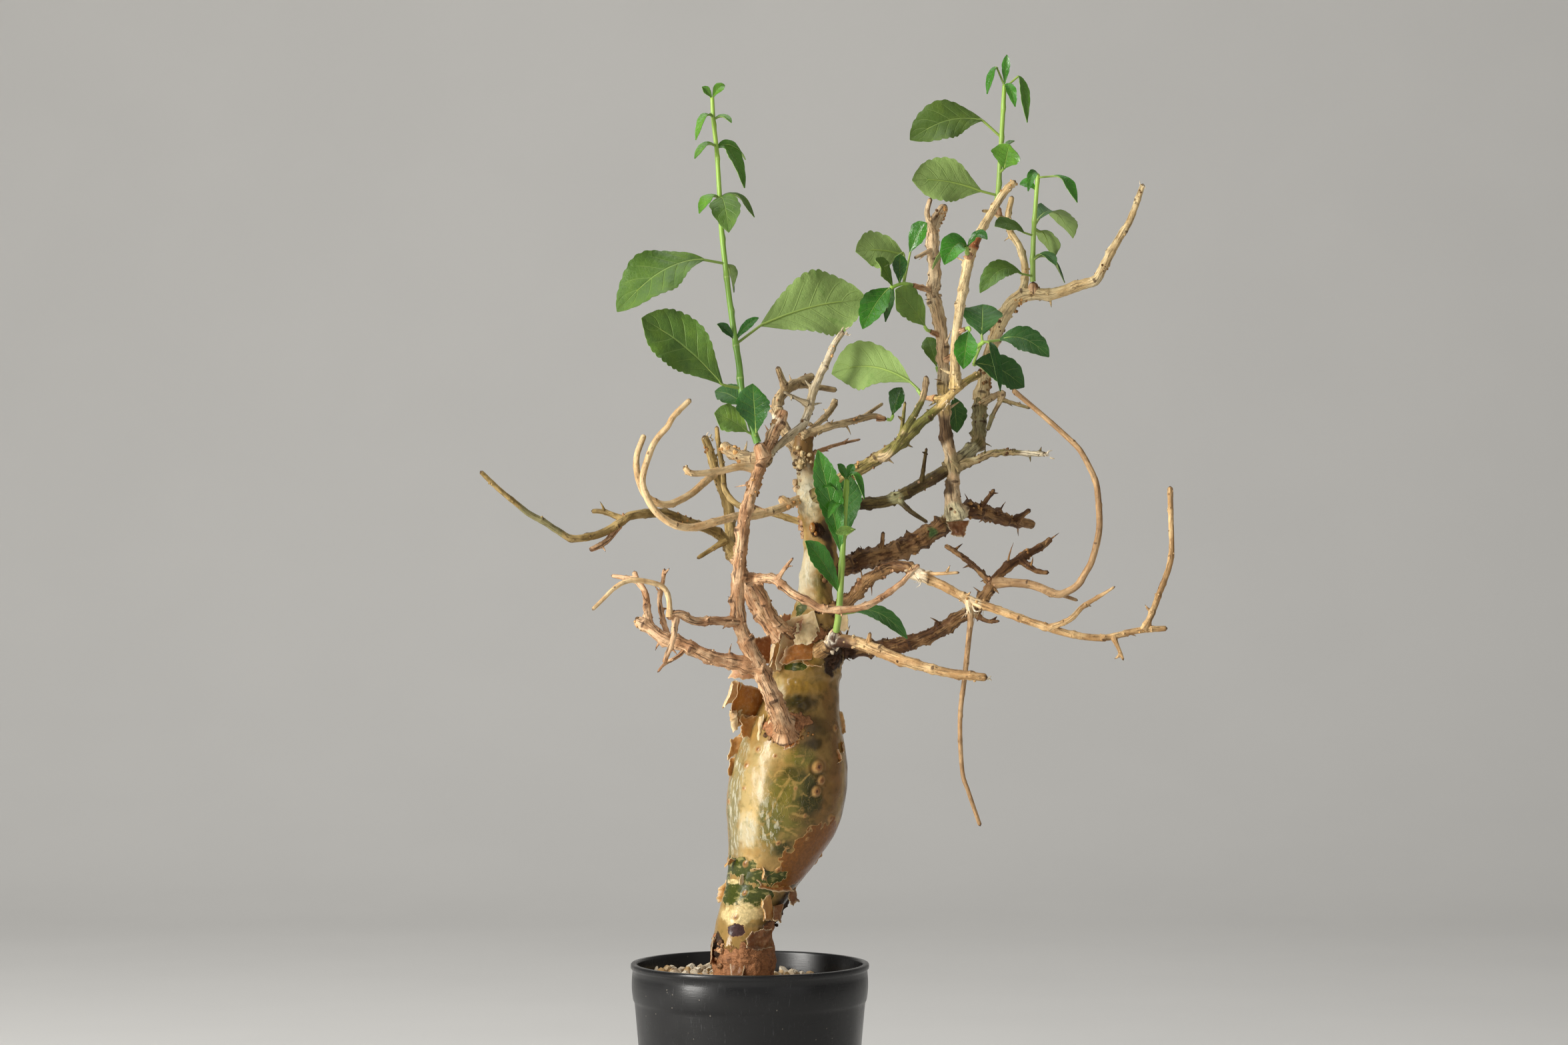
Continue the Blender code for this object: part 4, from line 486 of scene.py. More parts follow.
def new_group(name, inputs, outputs):
    """A shader node group and its two ends."""
    tree = bpy.data.node_groups.new(name, "ShaderNodeTree")
    kinds = {"value": "NodeSocketFloat", "colour": "NodeSocketColor", "vector": "NodeSocketVector"}
    for label, kind, start in inputs:
        socket = tree.interface.new_socket(label, in_out="INPUT", socket_type=kinds[kind])
        if start is not None:
            socket.default_value = start
    for label, kind in outputs:
        tree.interface.new_socket(label, in_out="OUTPUT", socket_type=kinds[kind])
    return tree, tree.nodes.new("NodeGroupInput").outputs, tree.nodes.new("NodeGroupOutput").inputs


def make_groups():
    """The effects that several finishes share."""
    tree, given, made = new_group(
        "Peeling layer",
        (("Under", "colour", None), ("Over", "colour", None), ("Field", "value", 0.0), ("Fringe", "value", 0.5),
         ("Ragged", "value", 1.0), ("Edge", "value", 0.08)),
        (("Colour", "colour"), ("Mask", "value")))
    torn = calc(tree, "MULTIPLY", calc(tree, "SUBTRACT", given["Fringe"], 0.5), given["Ragged"])
    reach = calc(tree, "ADD", given["Field"], torn)
    mask = band(tree, reach, calc(tree, "MULTIPLY", given["Edge"], -1.0), given["Edge"])
    tree.links.new(mask, made["Mask"])
    tree.links.new(blend(tree, mask, given["Under"], given["Over"]), made["Colour"])

    tree, given, made = new_group(
        "Streaks along the grain",
        (("Grain", "vector", None), ("Scale", "value", 600.0), ("Along", "value", 0.12), ("Low", "value", 0.4),
         ("High", "value", 0.62)),
        (("Mask", "value"), ("Height", "value")))
    along = put(tree, "ShaderNodeCombineXYZ", {0: 1.0, 1: 1.0, 2: given["Along"]}).outputs[0]
    drawn = put(tree, "ShaderNodeVectorMath", {0: given["Grain"], 1: along}, operation="MULTIPLY").outputs[0]
    value = cloud(tree, drawn, given["Scale"], 4.0, 0.6)
    tree.links.new(band(tree, value, given["Low"], given["High"]), made["Mask"])
    tree.links.new(value, made["Height"])

    tree, given, made = new_group(
        "Specks",
        (("Place", "vector", None), ("Scale", "value", 400.0), ("Size", "value", 0.25), ("Share", "value", 0.5)),
        (("Mask", "value"),))
    cells = put(tree, "ShaderNodeTexVoronoi", {"Vector": given["Place"], "Scale": given["Scale"]})
    tone = put(tree, "ShaderNodeSeparateColor", {0: cells.outputs["Color"]}).outputs[0]
    chosen = calc(tree, "LESS_THAN", tone, given["Share"])
    dot = band(tree, cells.outputs["Distance"], given["Size"], calc(tree, "MULTIPLY", given["Size"], 0.6))
    tree.links.new(calc(tree, "MULTIPLY", dot, chosen), made["Mask"])

    tree, given, made = new_group(
        "Fine crackle",
        (("Place", "vector", None), ("Scale", "value", 500.0), ("Width", "value", 0.06), ("Bend", "value", 0.002)),
        (("Line", "value"),))
    wander = put(tree, "ShaderNodeTexNoise", {"Vector": given["Place"], "Scale": 260.0, "Detail": 2.0}).outputs[1]
    moved = put(tree, "ShaderNodeVectorMath", {0: wander, 1: given["Bend"], 2: given["Place"]},
                operation="MULTIPLY_ADD").outputs[0]
    edge = put(tree, "ShaderNodeTexVoronoi", {"Vector": moved, "Scale": given["Scale"]},
               feature="DISTANCE_TO_EDGE").outputs["Distance"]
    tree.links.new(band(tree, edge, given["Width"], calc(tree, "MULTIPLY", given["Width"], 0.3)), made["Line"])


def scales_group():
    """Small flakes of dead bark, each of its own shade, with dark gaps between them."""
    tree, given, made = new_group(
        "Scales",
        (("Grain", "vector", None), ("Scale", "value", 700.0), ("Along", "value", 0.35), ("Gap", "value", 0.1)),
        (("Shade", "value"), ("Crack", "value")))
    along = put(tree, "ShaderNodeCombineXYZ", {0: 1.0, 1: 1.0, 2: given["Along"]}).outputs[0]
    drawn = put(tree, "ShaderNodeVectorMath", {0: given["Grain"], 1: along}, operation="MULTIPLY").outputs[0]
    wander = put(tree, "ShaderNodeTexNoise", {"Vector": drawn, "Scale": 700.0, "Detail": 4.0}).outputs[1]
    moved = put(tree, "ShaderNodeVectorMath", {0: wander, 1: (0.0016, 0.0016, 0.0016), 2: drawn},
                operation="MULTIPLY_ADD").outputs[0]
    cells = put(tree, "ShaderNodeTexVoronoi", {"Vector": moved, "Scale": given["Scale"]})
    edges = put(tree, "ShaderNodeTexVoronoi", {"Vector": moved, "Scale": given["Scale"]},
                feature="DISTANCE_TO_EDGE")
    tree.links.new(put(tree, "ShaderNodeSeparateColor", {0: cells.outputs["Color"]}).outputs[0], made["Shade"])
    tree.links.new(band(tree, edges.outputs["Distance"], given["Gap"], 0.0), made["Crack"])


def shared(tree, name, output, **inputs):
    """One output of a shared group, with the inputs named in lower case."""
    item = put(tree, "ShaderNodeGroup", node_tree=bpy.data.node_groups[name])
    for key, value in inputs.items():
        socket = item.inputs[key.capitalize()]
        if isinstance(value, bpy.types.NodeSocket):
            tree.links.new(value, socket)
        else:
            socket.default_value = value
    return item.outputs if output is None else item.outputs[output]


def new_finish(name):
    material = bpy.data.materials.new(name)
    material.use_nodes = True
    tree = material.node_tree
    place = put(tree, "ShaderNodeTexCoord").outputs["Object"]
    return material, tree, tree.nodes["Principled BSDF"], place


def relief(tree, shader, height, distance, strength=1.0):
    bump = put(tree, "ShaderNodeBump", {"Height": height, "Distance": distance, "Strength": strength})
    tree.links.new(bump.outputs[0], shader.inputs["Normal"])


def dress(tree, shader, **values):
    """Set the shader's sockets; a trailing underscore-free name is the socket's, in words."""
    for key, value in values.items():
        socket = shader.inputs[key.replace("_", " ").title().replace("Ior", "IOR")]
        if isinstance(value, bpy.types.NodeSocket):
            tree.links.new(value, socket)
        else:
            socket.default_value = value


def plastic_finish(sizes):
    material, tree, shader, place = new_finish("moulded_black_plastic")
    broad = cloud(tree, place, 38.0, 3.0)
    brushed = cloud(tree, stretch(tree, place, 1.0, 1.0, 14.0), 120.0, 4.0, 0.7)
    scuffs = band(tree, cloud(tree, stretch(tree, place, 5.0, 5.0, 0.7), 260.0, 5.0, 0.75), 0.58, 0.72)
    dust = shared(tree, "Specks", "Mask", place=place, scale=420.0, size=0.16, share=0.1)
    grey = solid(tuple(1.9 * part for part in sizes.plastic))
    tone = blend(tree, band(tree, broad, 0.35, 0.7, 0.0, 0.55), solid(sizes.plastic), grey)
    tone = blend(tree, calc(tree, "MULTIPLY", scuffs, 0.35), tone, solid(srgb(78, 78, 80)))
    tone = blend(tree, calc(tree, "MULTIPLY", dust, 0.5), tone, solid(srgb(130, 122, 110)))
    rough = calc(tree, "ADD", band(tree, broad, 0.3, 0.7, 0.22, 0.36), calc(tree, "MULTIPLY", scuffs, 0.14))
    dress(tree, shader, base_color=tone, roughness=rough)
    shader.inputs["Specular IOR Level"].default_value = 0.42
    height = calc(tree, "ADD", calc(tree, "MULTIPLY", brushed, 0.6), calc(tree, "MULTIPLY", dust, 0.5))
    relief(tree, shader, height, 0.00009, 0.7)
    return material


def pumice_finish(sizes):
    material, tree, shader, place = new_finish("pumice_grains")
    tone = read(tree, "grain_tone")
    pores = put(tree, "ShaderNodeTexVoronoi", {"Vector": place, "Scale": 1300.0}).outputs["Distance"]
    rough = cloud(tree, place, 900.0, 5.0, 0.7)
    stain = cloud(tree, place, 210.0, 3.0)
    base = blend(tree, band(tree, tone, 0.25, 0.85), solid(sizes.cream), solid(sizes.tan))
    base = blend(tree, band(tree, stain, 0.5, 0.72, 0.0, 0.6), base, solid(srgb(176, 138, 88)))
    pits = band(tree, pores, 0.3, 0.12)
    base = blend(tree, calc(tree, "MULTIPLY", pits, 0.55), base, solid(sizes.dust))
    dress(tree, shader, base_color=base, roughness=0.92)
    height = calc(tree, "SUBTRACT", calc(tree, "MULTIPLY", rough, 1.2), calc(tree, "MULTIPLY", pits, 0.8))
    relief(tree, shader, height, 0.0005)
    return material


def fines_finish(sizes):
    material, tree, shader, place = new_finish("gravel_fines")
    crumbs = cloud(tree, place, 700.0, 5.0, 0.7)
    tone = blend(tree, band(tree, crumbs, 0.4, 0.62), solid(sizes.dust), solid(sizes.tan))
    dress(tree, shader, base_color=tone, roughness=0.95)
    relief(tree, shader, crumbs, 0.0008)
    return material


LAYERS = (
    # Field, colour, raggedness, edge, thickness of the layer
    # The amber and bare colours are darkened with painted shade of the trunk's right side.
    ("amber", (116, 72, 26), 0.45, 0.03, 0.15),
    ("bare", (56, 62, 18), 1.1, 0.04, -0.5),
    ("cream", (192, 172, 122), 1.8, 0.14, 0.1),
    ("papery", (152, 104, 68), 0.9, 0.05, 0.4),
    ("scar", (50, 32, 16), 1.2, 0.10, 0.2),
    ("purple", (58, 38, 36), 2.4, 0.06, -0.4),
)


def trunk_finish():
    """Bark of the trunk: a glossy film over soft colours, torn away in places."""
    material, tree, shader, place = new_finish("peeling_bark")
    fringe = cloud(tree, stretch(tree, place, 1.0, 1.0, 0.8), 150.0, 6.0, 0.68)
    fine = cloud(tree, place, 900.0, 4.0, 0.6)
    mottle = cloud(tree, place, 80.0, 5.0, 0.65)
    soft = cloud(tree, place, 260.0, 5.0, 0.65)
    skin = read(tree, "skin", "Color")
    warm = blend(tree, 1.0, skin, solid((1.3, 1.2, 1.02)), "MULTIPLY")
    cool = blend(tree, 1.0, skin, solid((0.6, 0.64, 0.56)), "MULTIPLY")
    tone = blend(tree, band(tree, mottle, 0.44, 0.66, 0.0, 0.7), skin, warm)
    tone = blend(tree, band(tree, soft, 0.5, 0.34, 0.0, 0.7), tone, cool)
    tone = blend(tree, band(tree, mottle, 0.46, 0.3, 0.0, 0.4), tone, cool)
    depth = read(tree, "web")
    veil = calc(tree, "MULTIPLY", depth, band(tree, mottle, 0.4, 0.52))
    web = shared(tree, "Fine crackle", "Line", place=stretch(tree, place, 1.0, 1.0, 0.7), scale=105.0,
                 width=0.035, bend=0.014)
    drawn = cloud(tree, stretch(tree, place, 1.0, 1.0, 0.75), 150.0, 1.6, 0.45)
    curl = band(tree, calc(tree, "ABSOLUTE", calc(tree, "SUBTRACT", drawn, 0.5)), 0.011, 0.004)
    web = calc(tree, "MULTIPLY", calc(tree, "MAXIMUM", web, curl), veil)
    smudge = calc(tree, "MULTIPLY", depth, band(tree, cloud(tree, stretch(tree, place, 0.5, 0.5, 1.6), 300.0, 5.0),
                                                0.58, 0.66))
    tone = blend(tree, calc(tree, "MULTIPLY", smudge, 0.45), tone, solid(srgb(184, 142, 82)))
    tone = blend(tree, calc(tree, "MULTIPLY", web, 0.2), tone, solid(srgb(176, 144, 84)))
    strokes = calc(tree, "ADD", read(tree, "strokes"), calc(tree, "MULTIPLY", calc(tree, "SUBTRACT", soft, 0.5), 1.1))
    tone = blend(tree, band(tree, strokes, 0.45, 0.95, 0.0, 0.62), tone, solid(srgb(178, 144, 80)))
    frosted = read(tree, "frosted")
    flecks = shared(tree, "Streaks along the grain", "Mask", grain=place, scale=620.0, along=0.3, low=0.5,
                    high=0.58)
    flecks = calc(tree, "MULTIPLY", flecks, frosted)
    tone = blend(tree, calc(tree, "MULTIPLY", flecks, 0.7), tone, solid(srgb(204, 198, 172)))
    height = calc(tree, "ADD", calc(tree, "MULTIPLY", fine, 0.12), calc(tree, "MULTIPLY", flecks, 0.3))
    masks = {}
    for name, tint, ragged, edge, thick in LAYERS:
        shade = solid(srgb(*tint))
        lighter = solid(tuple(min(1.0, 1.5 * part) for part in srgb(*tint)))
        over = blend(tree, band(tree, fine, 0.35, 0.7), shade, lighter)
        made = shared(tree, "Peeling layer", None, under=tone, over=over, field=read(tree, name), fringe=fringe,
                      ragged=ragged, edge=edge)
        tone = made["Colour"]
        masks[name] = made["Mask"]
        height = calc(tree, "ADD", height, calc(tree, "MULTIPLY", made["Mask"], thick))
    for name, tint in (("bare", (214, 178, 116)), ("purple", (196, 146, 88)), ("amber", (190, 150, 96))):
        rim = calc(tree, "ABSOLUTE", calc(tree, "SUBTRACT", masks[name], 0.5))
        tone = blend(tree, band(tree, rim, 0.42, 0.2, 0.0, 0.7), tone, solid(srgb(*tint)))
    film = calc(tree, "MULTIPLY", masks["bare"], band(tree, cloud(tree, stretch(tree, place, 1.0, 1.0, 2.2), 190.0,
                                                              5.0), 0.54, 0.62))
    tone = blend(tree, calc(tree, "MULTIPLY", film, 0.7), tone, solid(srgb(150, 140, 84)))
    rough_part = calc(tree, "MAXIMUM", masks["papery"], masks["scar"])
    crease = shared(tree, "Streaks along the grain", None, grain=stretch(tree, place, 0.5, 0.5, 1.7), scale=420.0,
                    along=1.0, low=0.54, high=0.64)
    flaky = calc(tree, "MULTIPLY", rough_part, 0.8)
    shaded = blend(tree, 1.0, tone, solid((0.42, 0.37, 0.33)), "MULTIPLY")
    paler = blend(tree, 1.0, tone, solid((1.45, 1.42, 1.4)), "MULTIPLY")
    tone = blend(tree, calc(tree, "MULTIPLY", flaky, band(tree, soft, 0.5, 0.34)), tone, shaded)
    tone = blend(tree, calc(tree, "MULTIPLY", flaky, calc(tree, "MULTIPLY", crease["Mask"], 0.6)), tone, paler)
    fissure = band(tree, calc(tree, "ABSOLUTE", calc(tree, "SUBTRACT", mottle, 0.5)), 0.02, 0.004)
    fissure = calc(tree, "MULTIPLY", fissure, rough_part)
    tone = blend(tree, calc(tree, "MULTIPLY", fissure, 0.25), tone, solid(srgb(74, 48, 30)))
    bud = read(tree, "bud")
    tone = blend(tree, calc(tree, "MULTIPLY", band(tree, bud, 0.1, 0.5), 0.6), tone, solid(srgb(186, 142, 88)))
    ring = calc(tree, "ADD", bud, calc(tree, "MULTIPLY", calc(tree, "SUBTRACT", fine, 0.5), 0.5))
    tone = blend(tree, calc(tree, "MULTIPLY", band(tree, ring, 0.5, 0.66), 0.6), tone, solid(srgb(136, 84, 44)))
    tone = blend(tree, band(tree, ring, 0.76, 0.9, 0.0, 0.9), tone, solid(srgb(84, 50, 30)))
    rough = band(tree, fringe, 0.3, 0.7, 0.15, 0.3)
    rough = calc(tree, "ADD", rough, calc(tree, "MULTIPLY", rough_part, 0.4))
    rough = calc(tree, "ADD", rough, calc(tree, "MULTIPLY", read(tree, "matt"), 0.3))
    dress(tree, shader, base_color=tone, roughness=rough)
    shader.inputs["Specular IOR Level"].default_value = 0.3
    height = calc(tree, "ADD", height, calc(tree, "MULTIPLY", web, 0.15))
    height = calc(tree, "ADD", height, calc(tree, "MULTIPLY", calc(tree, "MULTIPLY", soft, rough), 0.9))
    height = calc(tree, "ADD", height, calc(tree, "MULTIPLY", calc(tree, "MULTIPLY", crease["Height"], rough_part),
                                            2.2))
    height = calc(tree, "SUBTRACT", height, calc(tree, "MULTIPLY", fissure, 0.25))
    relief(tree, shader, height, 0.0005)
    return material


def twig_finish():
    """Bark of the twigs, with the two colours that each twig carries."""
    material, tree, shader, place = new_finish("twig_bark")
    grain = read(tree, "grain", "Vector")
    rugged = read(tree, "rugged")
    streak = shared(tree, "Streaks along the grain", None, grain=grain, scale=1000.0, along=0.09, low=0.44, high=0.58)
    split = shared(tree, "Streaks along the grain", "Mask", grain=grain, scale=1500.0, along=0.07, low=0.44, high=0.36)
    bits = shared(tree, "Scales", None, grain=grain, scale=1500.0, along=0.16, gap=0.12)
    patch = band(tree, cloud(tree, stretch(tree, grain, 1.0, 1.0, 0.35), 260.0, 4.0, 0.6), 0.42, 0.6)
    tone = blend(tree, patch, read(tree, "twig_tone", "Color"), read(tree, "twig_pale", "Color"))
    lighter = blend(tree, 1.0, tone, solid((1.4, 1.35, 1.28)), "MULTIPLY")
    darker = blend(tree, 1.0, tone, solid((0.46, 0.4, 0.35)), "MULTIPLY")
    tone = blend(tree, calc(tree, "MULTIPLY", streak["Mask"], 0.6), tone, lighter)
    tone = blend(tree, calc(tree, "MULTIPLY", band(tree, bits["Shade"], 0.6, 0.05, 0.0, 0.3), rugged), tone, darker)
    tone = blend(tree, calc(tree, "MULTIPLY", split, calc(tree, "MULTIPLY", rugged, 0.7)), tone,
                 solid(srgb(66, 44, 30)))
    shadow = band(tree, cloud(tree, place, 330.0, 4.0, 0.65), 0.5, 0.34)
    tone = blend(tree, calc(tree, "MULTIPLY", shadow, 0.5), tone, darker)
    pores = shared(tree, "Specks", "Mask", place=stretch(tree, grain, 1.0, 1.0, 0.6), scale=620.0, size=0.26,
                   share=0.2)
    tone = blend(tree, calc(tree, "MULTIPLY", pores, 0.4), tone, solid(srgb(84, 54, 36)))
    scar = band(tree, calc(tree, "ADD", read(tree, "scar"), calc(tree, "MULTIPLY", streak["Height"], 0.4)), 0.5, 0.9)
    tone = blend(tree, calc(tree, "MULTIPLY", scar, 0.8), tone, solid(srgb(70, 46, 30)))
    rough = calc(tree, "ADD", band(tree, streak["Height"], 0.3, 0.7, 0.36, 0.5), calc(tree, "MULTIPLY", rugged, 0.16))
    dress(tree, shader, base_color=tone, roughness=rough)
    shader.inputs["Specular IOR Level"].default_value = 0.25
    ridges = calc(tree, "SUBTRACT", calc(tree, "MULTIPLY", bits["Shade"], 0.7), calc(tree, "MULTIPLY", split, 1.4))
    height = calc(tree, "ADD", calc(tree, "MULTIPLY", streak["Height"], 0.9), calc(tree, "MULTIPLY", ridges, rugged))
    height = calc(tree, "ADD", height, calc(tree, "MULTIPLY", pores, 0.4))
    height = calc(tree, "ADD", height, calc(tree, "MULTIPLY", cloud(tree, place, 1700.0, 3.0), 0.6))
    relief(tree, shader, height, 0.00032)
    return material


def sheet_finish():
    """Loose sheets of bark, thin enough for light to come through."""
    material, tree, shader, place = new_finish("bark_sheet")
    fine = cloud(tree, place, 700.0, 4.0, 0.6)
    patch = cloud(tree, place, 110.0, 3.0, 0.55)
    tone = blend(tree, band(tree, patch, 0.4, 0.72), read(tree, "sheet_tone", "Color"),
                 read(tree, "sheet_shade", "Color"))
    tone = blend(tree, band(tree, fine, 0.45, 0.68, 0.0, 0.15), tone, solid(srgb(222, 200, 160)))
    edge = read(tree, "sheet_edge")
    tone = blend(tree, calc(tree, "MULTIPLY", edge, 0.5), tone, solid(srgb(232, 214, 178)))
    streak = shared(tree, "Streaks along the grain", "Mask", grain=place, scale=380.0, along=0.3, low=0.52, high=0.64)
    tone = blend(tree, calc(tree, "MULTIPLY", streak, 0.2), tone, solid(srgb(140, 96, 58)))
    dress(tree, shader, base_color=tone, roughness=band(tree, fine, 0.3, 0.7, 0.3, 0.55))
    shader.inputs["Specular IOR Level"].default_value = 0.3
    shader.inputs["Subsurface Weight"].default_value = 0.3
    shader.inputs["Subsurface Radius"].default_value = (1.0, 0.6, 0.25)
    shader.inputs["Subsurface Scale"].default_value = 0.0012
    relief(tree, shader, fine, 0.00025)
    return material


def leaf_finish(name, sizes, sheen):
    """A leaf: pale veins over green above, matt and pale below."""
    material, tree, shader, place = new_finish(name)
    parts = put(tree, "ShaderNodeSeparateXYZ", {0: read(tree, "blade", "Vector")}).outputs
    across = calc(tree, "ABSOLUTE", parts[0])
    below = band(tree, parts[2], 0.4, -0.4)
    mid_width = calc(tree, "SUBTRACT", 0.075, calc(tree, "MULTIPLY", parts[1], 0.05))
    midrib = band(tree, across, mid_width, calc(tree, "MULTIPLY", mid_width, 0.35))
    pairs = calc(tree, "MULTIPLY", calc(tree, "SUBTRACT", parts[1], calc(tree, "MULTIPLY", across, 0.24)), 6.5)
    wave = calc(tree, "ABSOLUTE", calc(tree, "SUBTRACT", calc(tree, "FRACT", pairs), 0.5))
    side = calc(tree, "MULTIPLY", band(tree, wave, 0.43, 0.49), band(tree, across, 0.92, 0.5))
    net = shared(tree, "Fine crackle", "Line", place=place, scale=620.0, width=0.09, bend=0.001)
    veins = calc(tree, "MAXIMUM", midrib, calc(tree, "MULTIPLY", side, 0.5))
    veins = calc(tree, "MAXIMUM", veins, calc(tree, "MULTIPLY", net, 0.1))
    own = read(tree, "leaf_tone", "Color")
    mottle = cloud(tree, place, 120.0, 4.0, 0.6)
    light = blend(tree, 1.0, own, solid((1.45, 1.3, 1.0)), "MULTIPLY")
    shade = blend(tree, 1.0, own, solid((0.58, 0.68, 0.5)), "MULTIPLY")
    top = blend(tree, band(tree, mottle, 0.46, 0.68, 0.0, 0.75), own, light)
    top = blend(tree, band(tree, mottle, 0.46, 0.3, 0.0, 0.7), top, shade)
    low = blend(tree, 0.22, solid(sizes.underside), own)
    low = blend(tree, band(tree, mottle, 0.44, 0.3, 0.0, 0.5), low, own)
    tone = blend(tree, below, top, low)
    strength = calc(tree, "ADD", 0.4, calc(tree, "MULTIPLY", below, 0.12))
    tone = blend(tree, calc(tree, "MULTIPLY", veins, strength), tone, solid(sizes.vein))
    tip = band(tree, across, 0.985, 1.03)
    tone = blend(tree, calc(tree, "MULTIPLY", tip, 0.5), tone, solid(sizes.vein))
    rough = calc(tree, "ADD", band(tree, mottle, 0.3, 0.7, sheen, sheen + 0.14), calc(tree, "MULTIPLY", below, 0.24))
    dress(tree, shader, base_color=tone, roughness=rough)
    shader.inputs["Subsurface Weight"].default_value = 0.1
    shader.inputs["Subsurface Radius"].default_value = (0.8, 1.0, 0.25)
    shader.inputs["Subsurface Scale"].default_value = 0.0006
    sign = calc(tree, "SUBTRACT", calc(tree, "MULTIPLY", below, 2.0), 1.0)
    height = calc(tree, "MULTIPLY", veins, sign)
    height = calc(tree, "ADD", height, calc(tree, "MULTIPLY", cloud(tree, place, 420.0, 3.0), 1.1))
    relief(tree, shader, height, 0.0003)
    return material


def stem_finish(sizes):
    """Smooth green stems, paler where a leaf has left its scar."""
    material, tree, shader, place = new_finish("green_stem")
    grain = read(tree, "grain", "Vector")
    own = read(tree, "leaf_tone", "Color")
    streak = shared(tree, "Streaks along the grain", None, grain=grain, scale=700.0, along=0.06, low=0.42, high=0.62)
    pale = blend(tree, 1.0, own, solid((1.4, 1.25, 1.2)), "MULTIPLY")
    tone = blend(tree, calc(tree, "MULTIPLY", streak["Mask"], 0.6), own, pale)
    scar = band(tree, read(tree, "scar"), 0.3, 0.9, 0.0, 0.5)
    tone = blend(tree, scar, tone, solid(srgb(176, 192, 120)))
    dress(tree, shader, base_color=tone, roughness=0.36)
    shader.inputs["Subsurface Weight"].default_value = 0.1
    shader.inputs["Subsurface Radius"].default_value = (0.8, 1.0, 0.25)
    shader.inputs["Subsurface Scale"].default_value = 0.0008
    relief(tree, shader, streak["Height"], 0.0001)
    return material


def resin_finish():
    material, tree, shader, place = new_finish("amber_resin")
    clouded = cloud(tree, place, 500.0, 3.0)
    tone = blend(tree, band(tree, clouded, 0.4, 0.65), solid(srgb(214, 138, 52)), solid(srgb(240, 196, 112)))
    dress(tree, shader, base_color=tone, roughness=0.06)
    shader.inputs["Transmission Weight"].default_value = 0.6
    shader.inputs["IOR"].default_value = 1.52
    relief(tree, shader, clouded, 0.0002, 0.4)
    return material


def paper_finish(sizes):
    material, tree, shader, place = new_finish("studio_paper")
    weave = cloud(tree, place, 6.0, 2.0)
    tone = blend(tree, band(tree, weave, 0.3, 0.7, 0.0, 0.06), solid(sizes.paper), solid(srgb(190, 190, 188)))
    dress(tree, shader, base_color=tone, roughness=0.9)
    return material


# Meshes

class Shell:
    """Closed lofts of one piece, gathered part by part, with the values that its finish reads."""

    def __init__(self, values):
        self.sizes = values
        self.points, self.faces, self.finish = [], [], []
        self.values = {name: [] for name in values}
        self.count = 0

    def loft(self, rings, finish=0, cap="fan", **values):
        """Close rings of points into a skin; the values are one for all, one a ring or one a point."""
        rings = np.asarray(rings, dtype=float)
        rows, columns = rings.shape[:2]
        start = self.count
        self.points.append(rings.reshape(-1, 3))
        for name, size in self.sizes.items():
            value = np.asarray(values.get(name, 0.0 if size == 1 else (0.0,) * size), dtype=float)
            if size == 1:
                value = value.reshape(value.shape + (1,))
            while value.ndim < 3:
                value = value[np.newaxis] if value.ndim == 1 else value[:, np.newaxis]
            spread_out = np.broadcast_to(value, (rows, columns, size)).reshape(-1, size)
            self.values[name].append(spread_out)
        self.count += rows * columns
        index = start + np.arange(rows * columns).reshape(rows, columns)
        after = np.roll(index, -1, axis=1)
        quads = np.stack((index[:-1], after[:-1], after[1:], index[1:]), axis=-1).reshape(-1, 4)
        self.faces.extend(quads.tolist())
        made = len(quads)
        if cap == "zip":
            half = columns // 2
            for row, turned in ((index[0], True), (index[-1], False)):
                for k in range(half - 1):
                    face = [row[k], row[k + 1], row[columns - 2 - k], row[columns - 1 - k]]
                    self.faces.append([int(n) for n in (face[::-1] if turned else face)])
                    made += 1
        else:
            self.points.append(np.stack((rings[0].mean(axis=0), rings[-1].mean(axis=0))))
            for name, size in self.sizes.items():
                ends = self.values[name][-1].reshape(rows, columns, size)
                self.values[name].append(np.stack((ends[0].mean(axis=0), ends[-1].mean(axis=0))))
            for k in range(columns):
                after_k = (k + 1) % columns
                self.faces.append([int(index[0][after_k]), int(index[0][k]), self.count])
                self.faces.append([int(index[-1][k]), int(index[-1][after_k]), self.count + 1])
            self.count += 2
            made += 2 * columns
        self.finish += [finish] * made

    def build(self, name, finishes, node, slot, smooth=60):
        mesh = bpy.data.meshes.new(name)
        points = np.clip(np.concatenate(self.points), CAD_BOX[0], CAD_BOX[1])
        mesh.from_pydata(points.tolist(), [], self.faces)
        kinds = {1: "FLOAT", 3: "FLOAT_VECTOR", 4: "FLOAT_COLOR"}
        keys = {1: "value", 3: "vector", 4: "color"}
        for label, size in self.sizes.items():
            layer = mesh.attributes.new(label, kinds[size], "POINT")
            layer.data.foreach_set(keys[size], np.concatenate(self.values[label]).astype("f").ravel())
        for finish in finishes:
            mesh.materials.append(finish)
        mesh.polygons.foreach_set("material_index", self.finish)
        tidy = bmesh.new()
        tidy.from_mesh(mesh)
        bmesh.ops.recalc_face_normals(tidy, faces=tidy.faces)
        tidy.to_mesh(mesh)
        tidy.free()
        mesh.shade_smooth()
        mesh.set_sharp_from_angle(angle=math.radians(smooth))
        return place_piece(bpy.data.objects.new(name, mesh), node)


def place_piece(piece, node):
    """Put a finished mesh in the scene as the stand-in for its CAD node."""
    if not piece.users_collection:
        bpy.context.scene.collection.objects.link(piece)
    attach(piece, "root")
    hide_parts(node)
    return piece


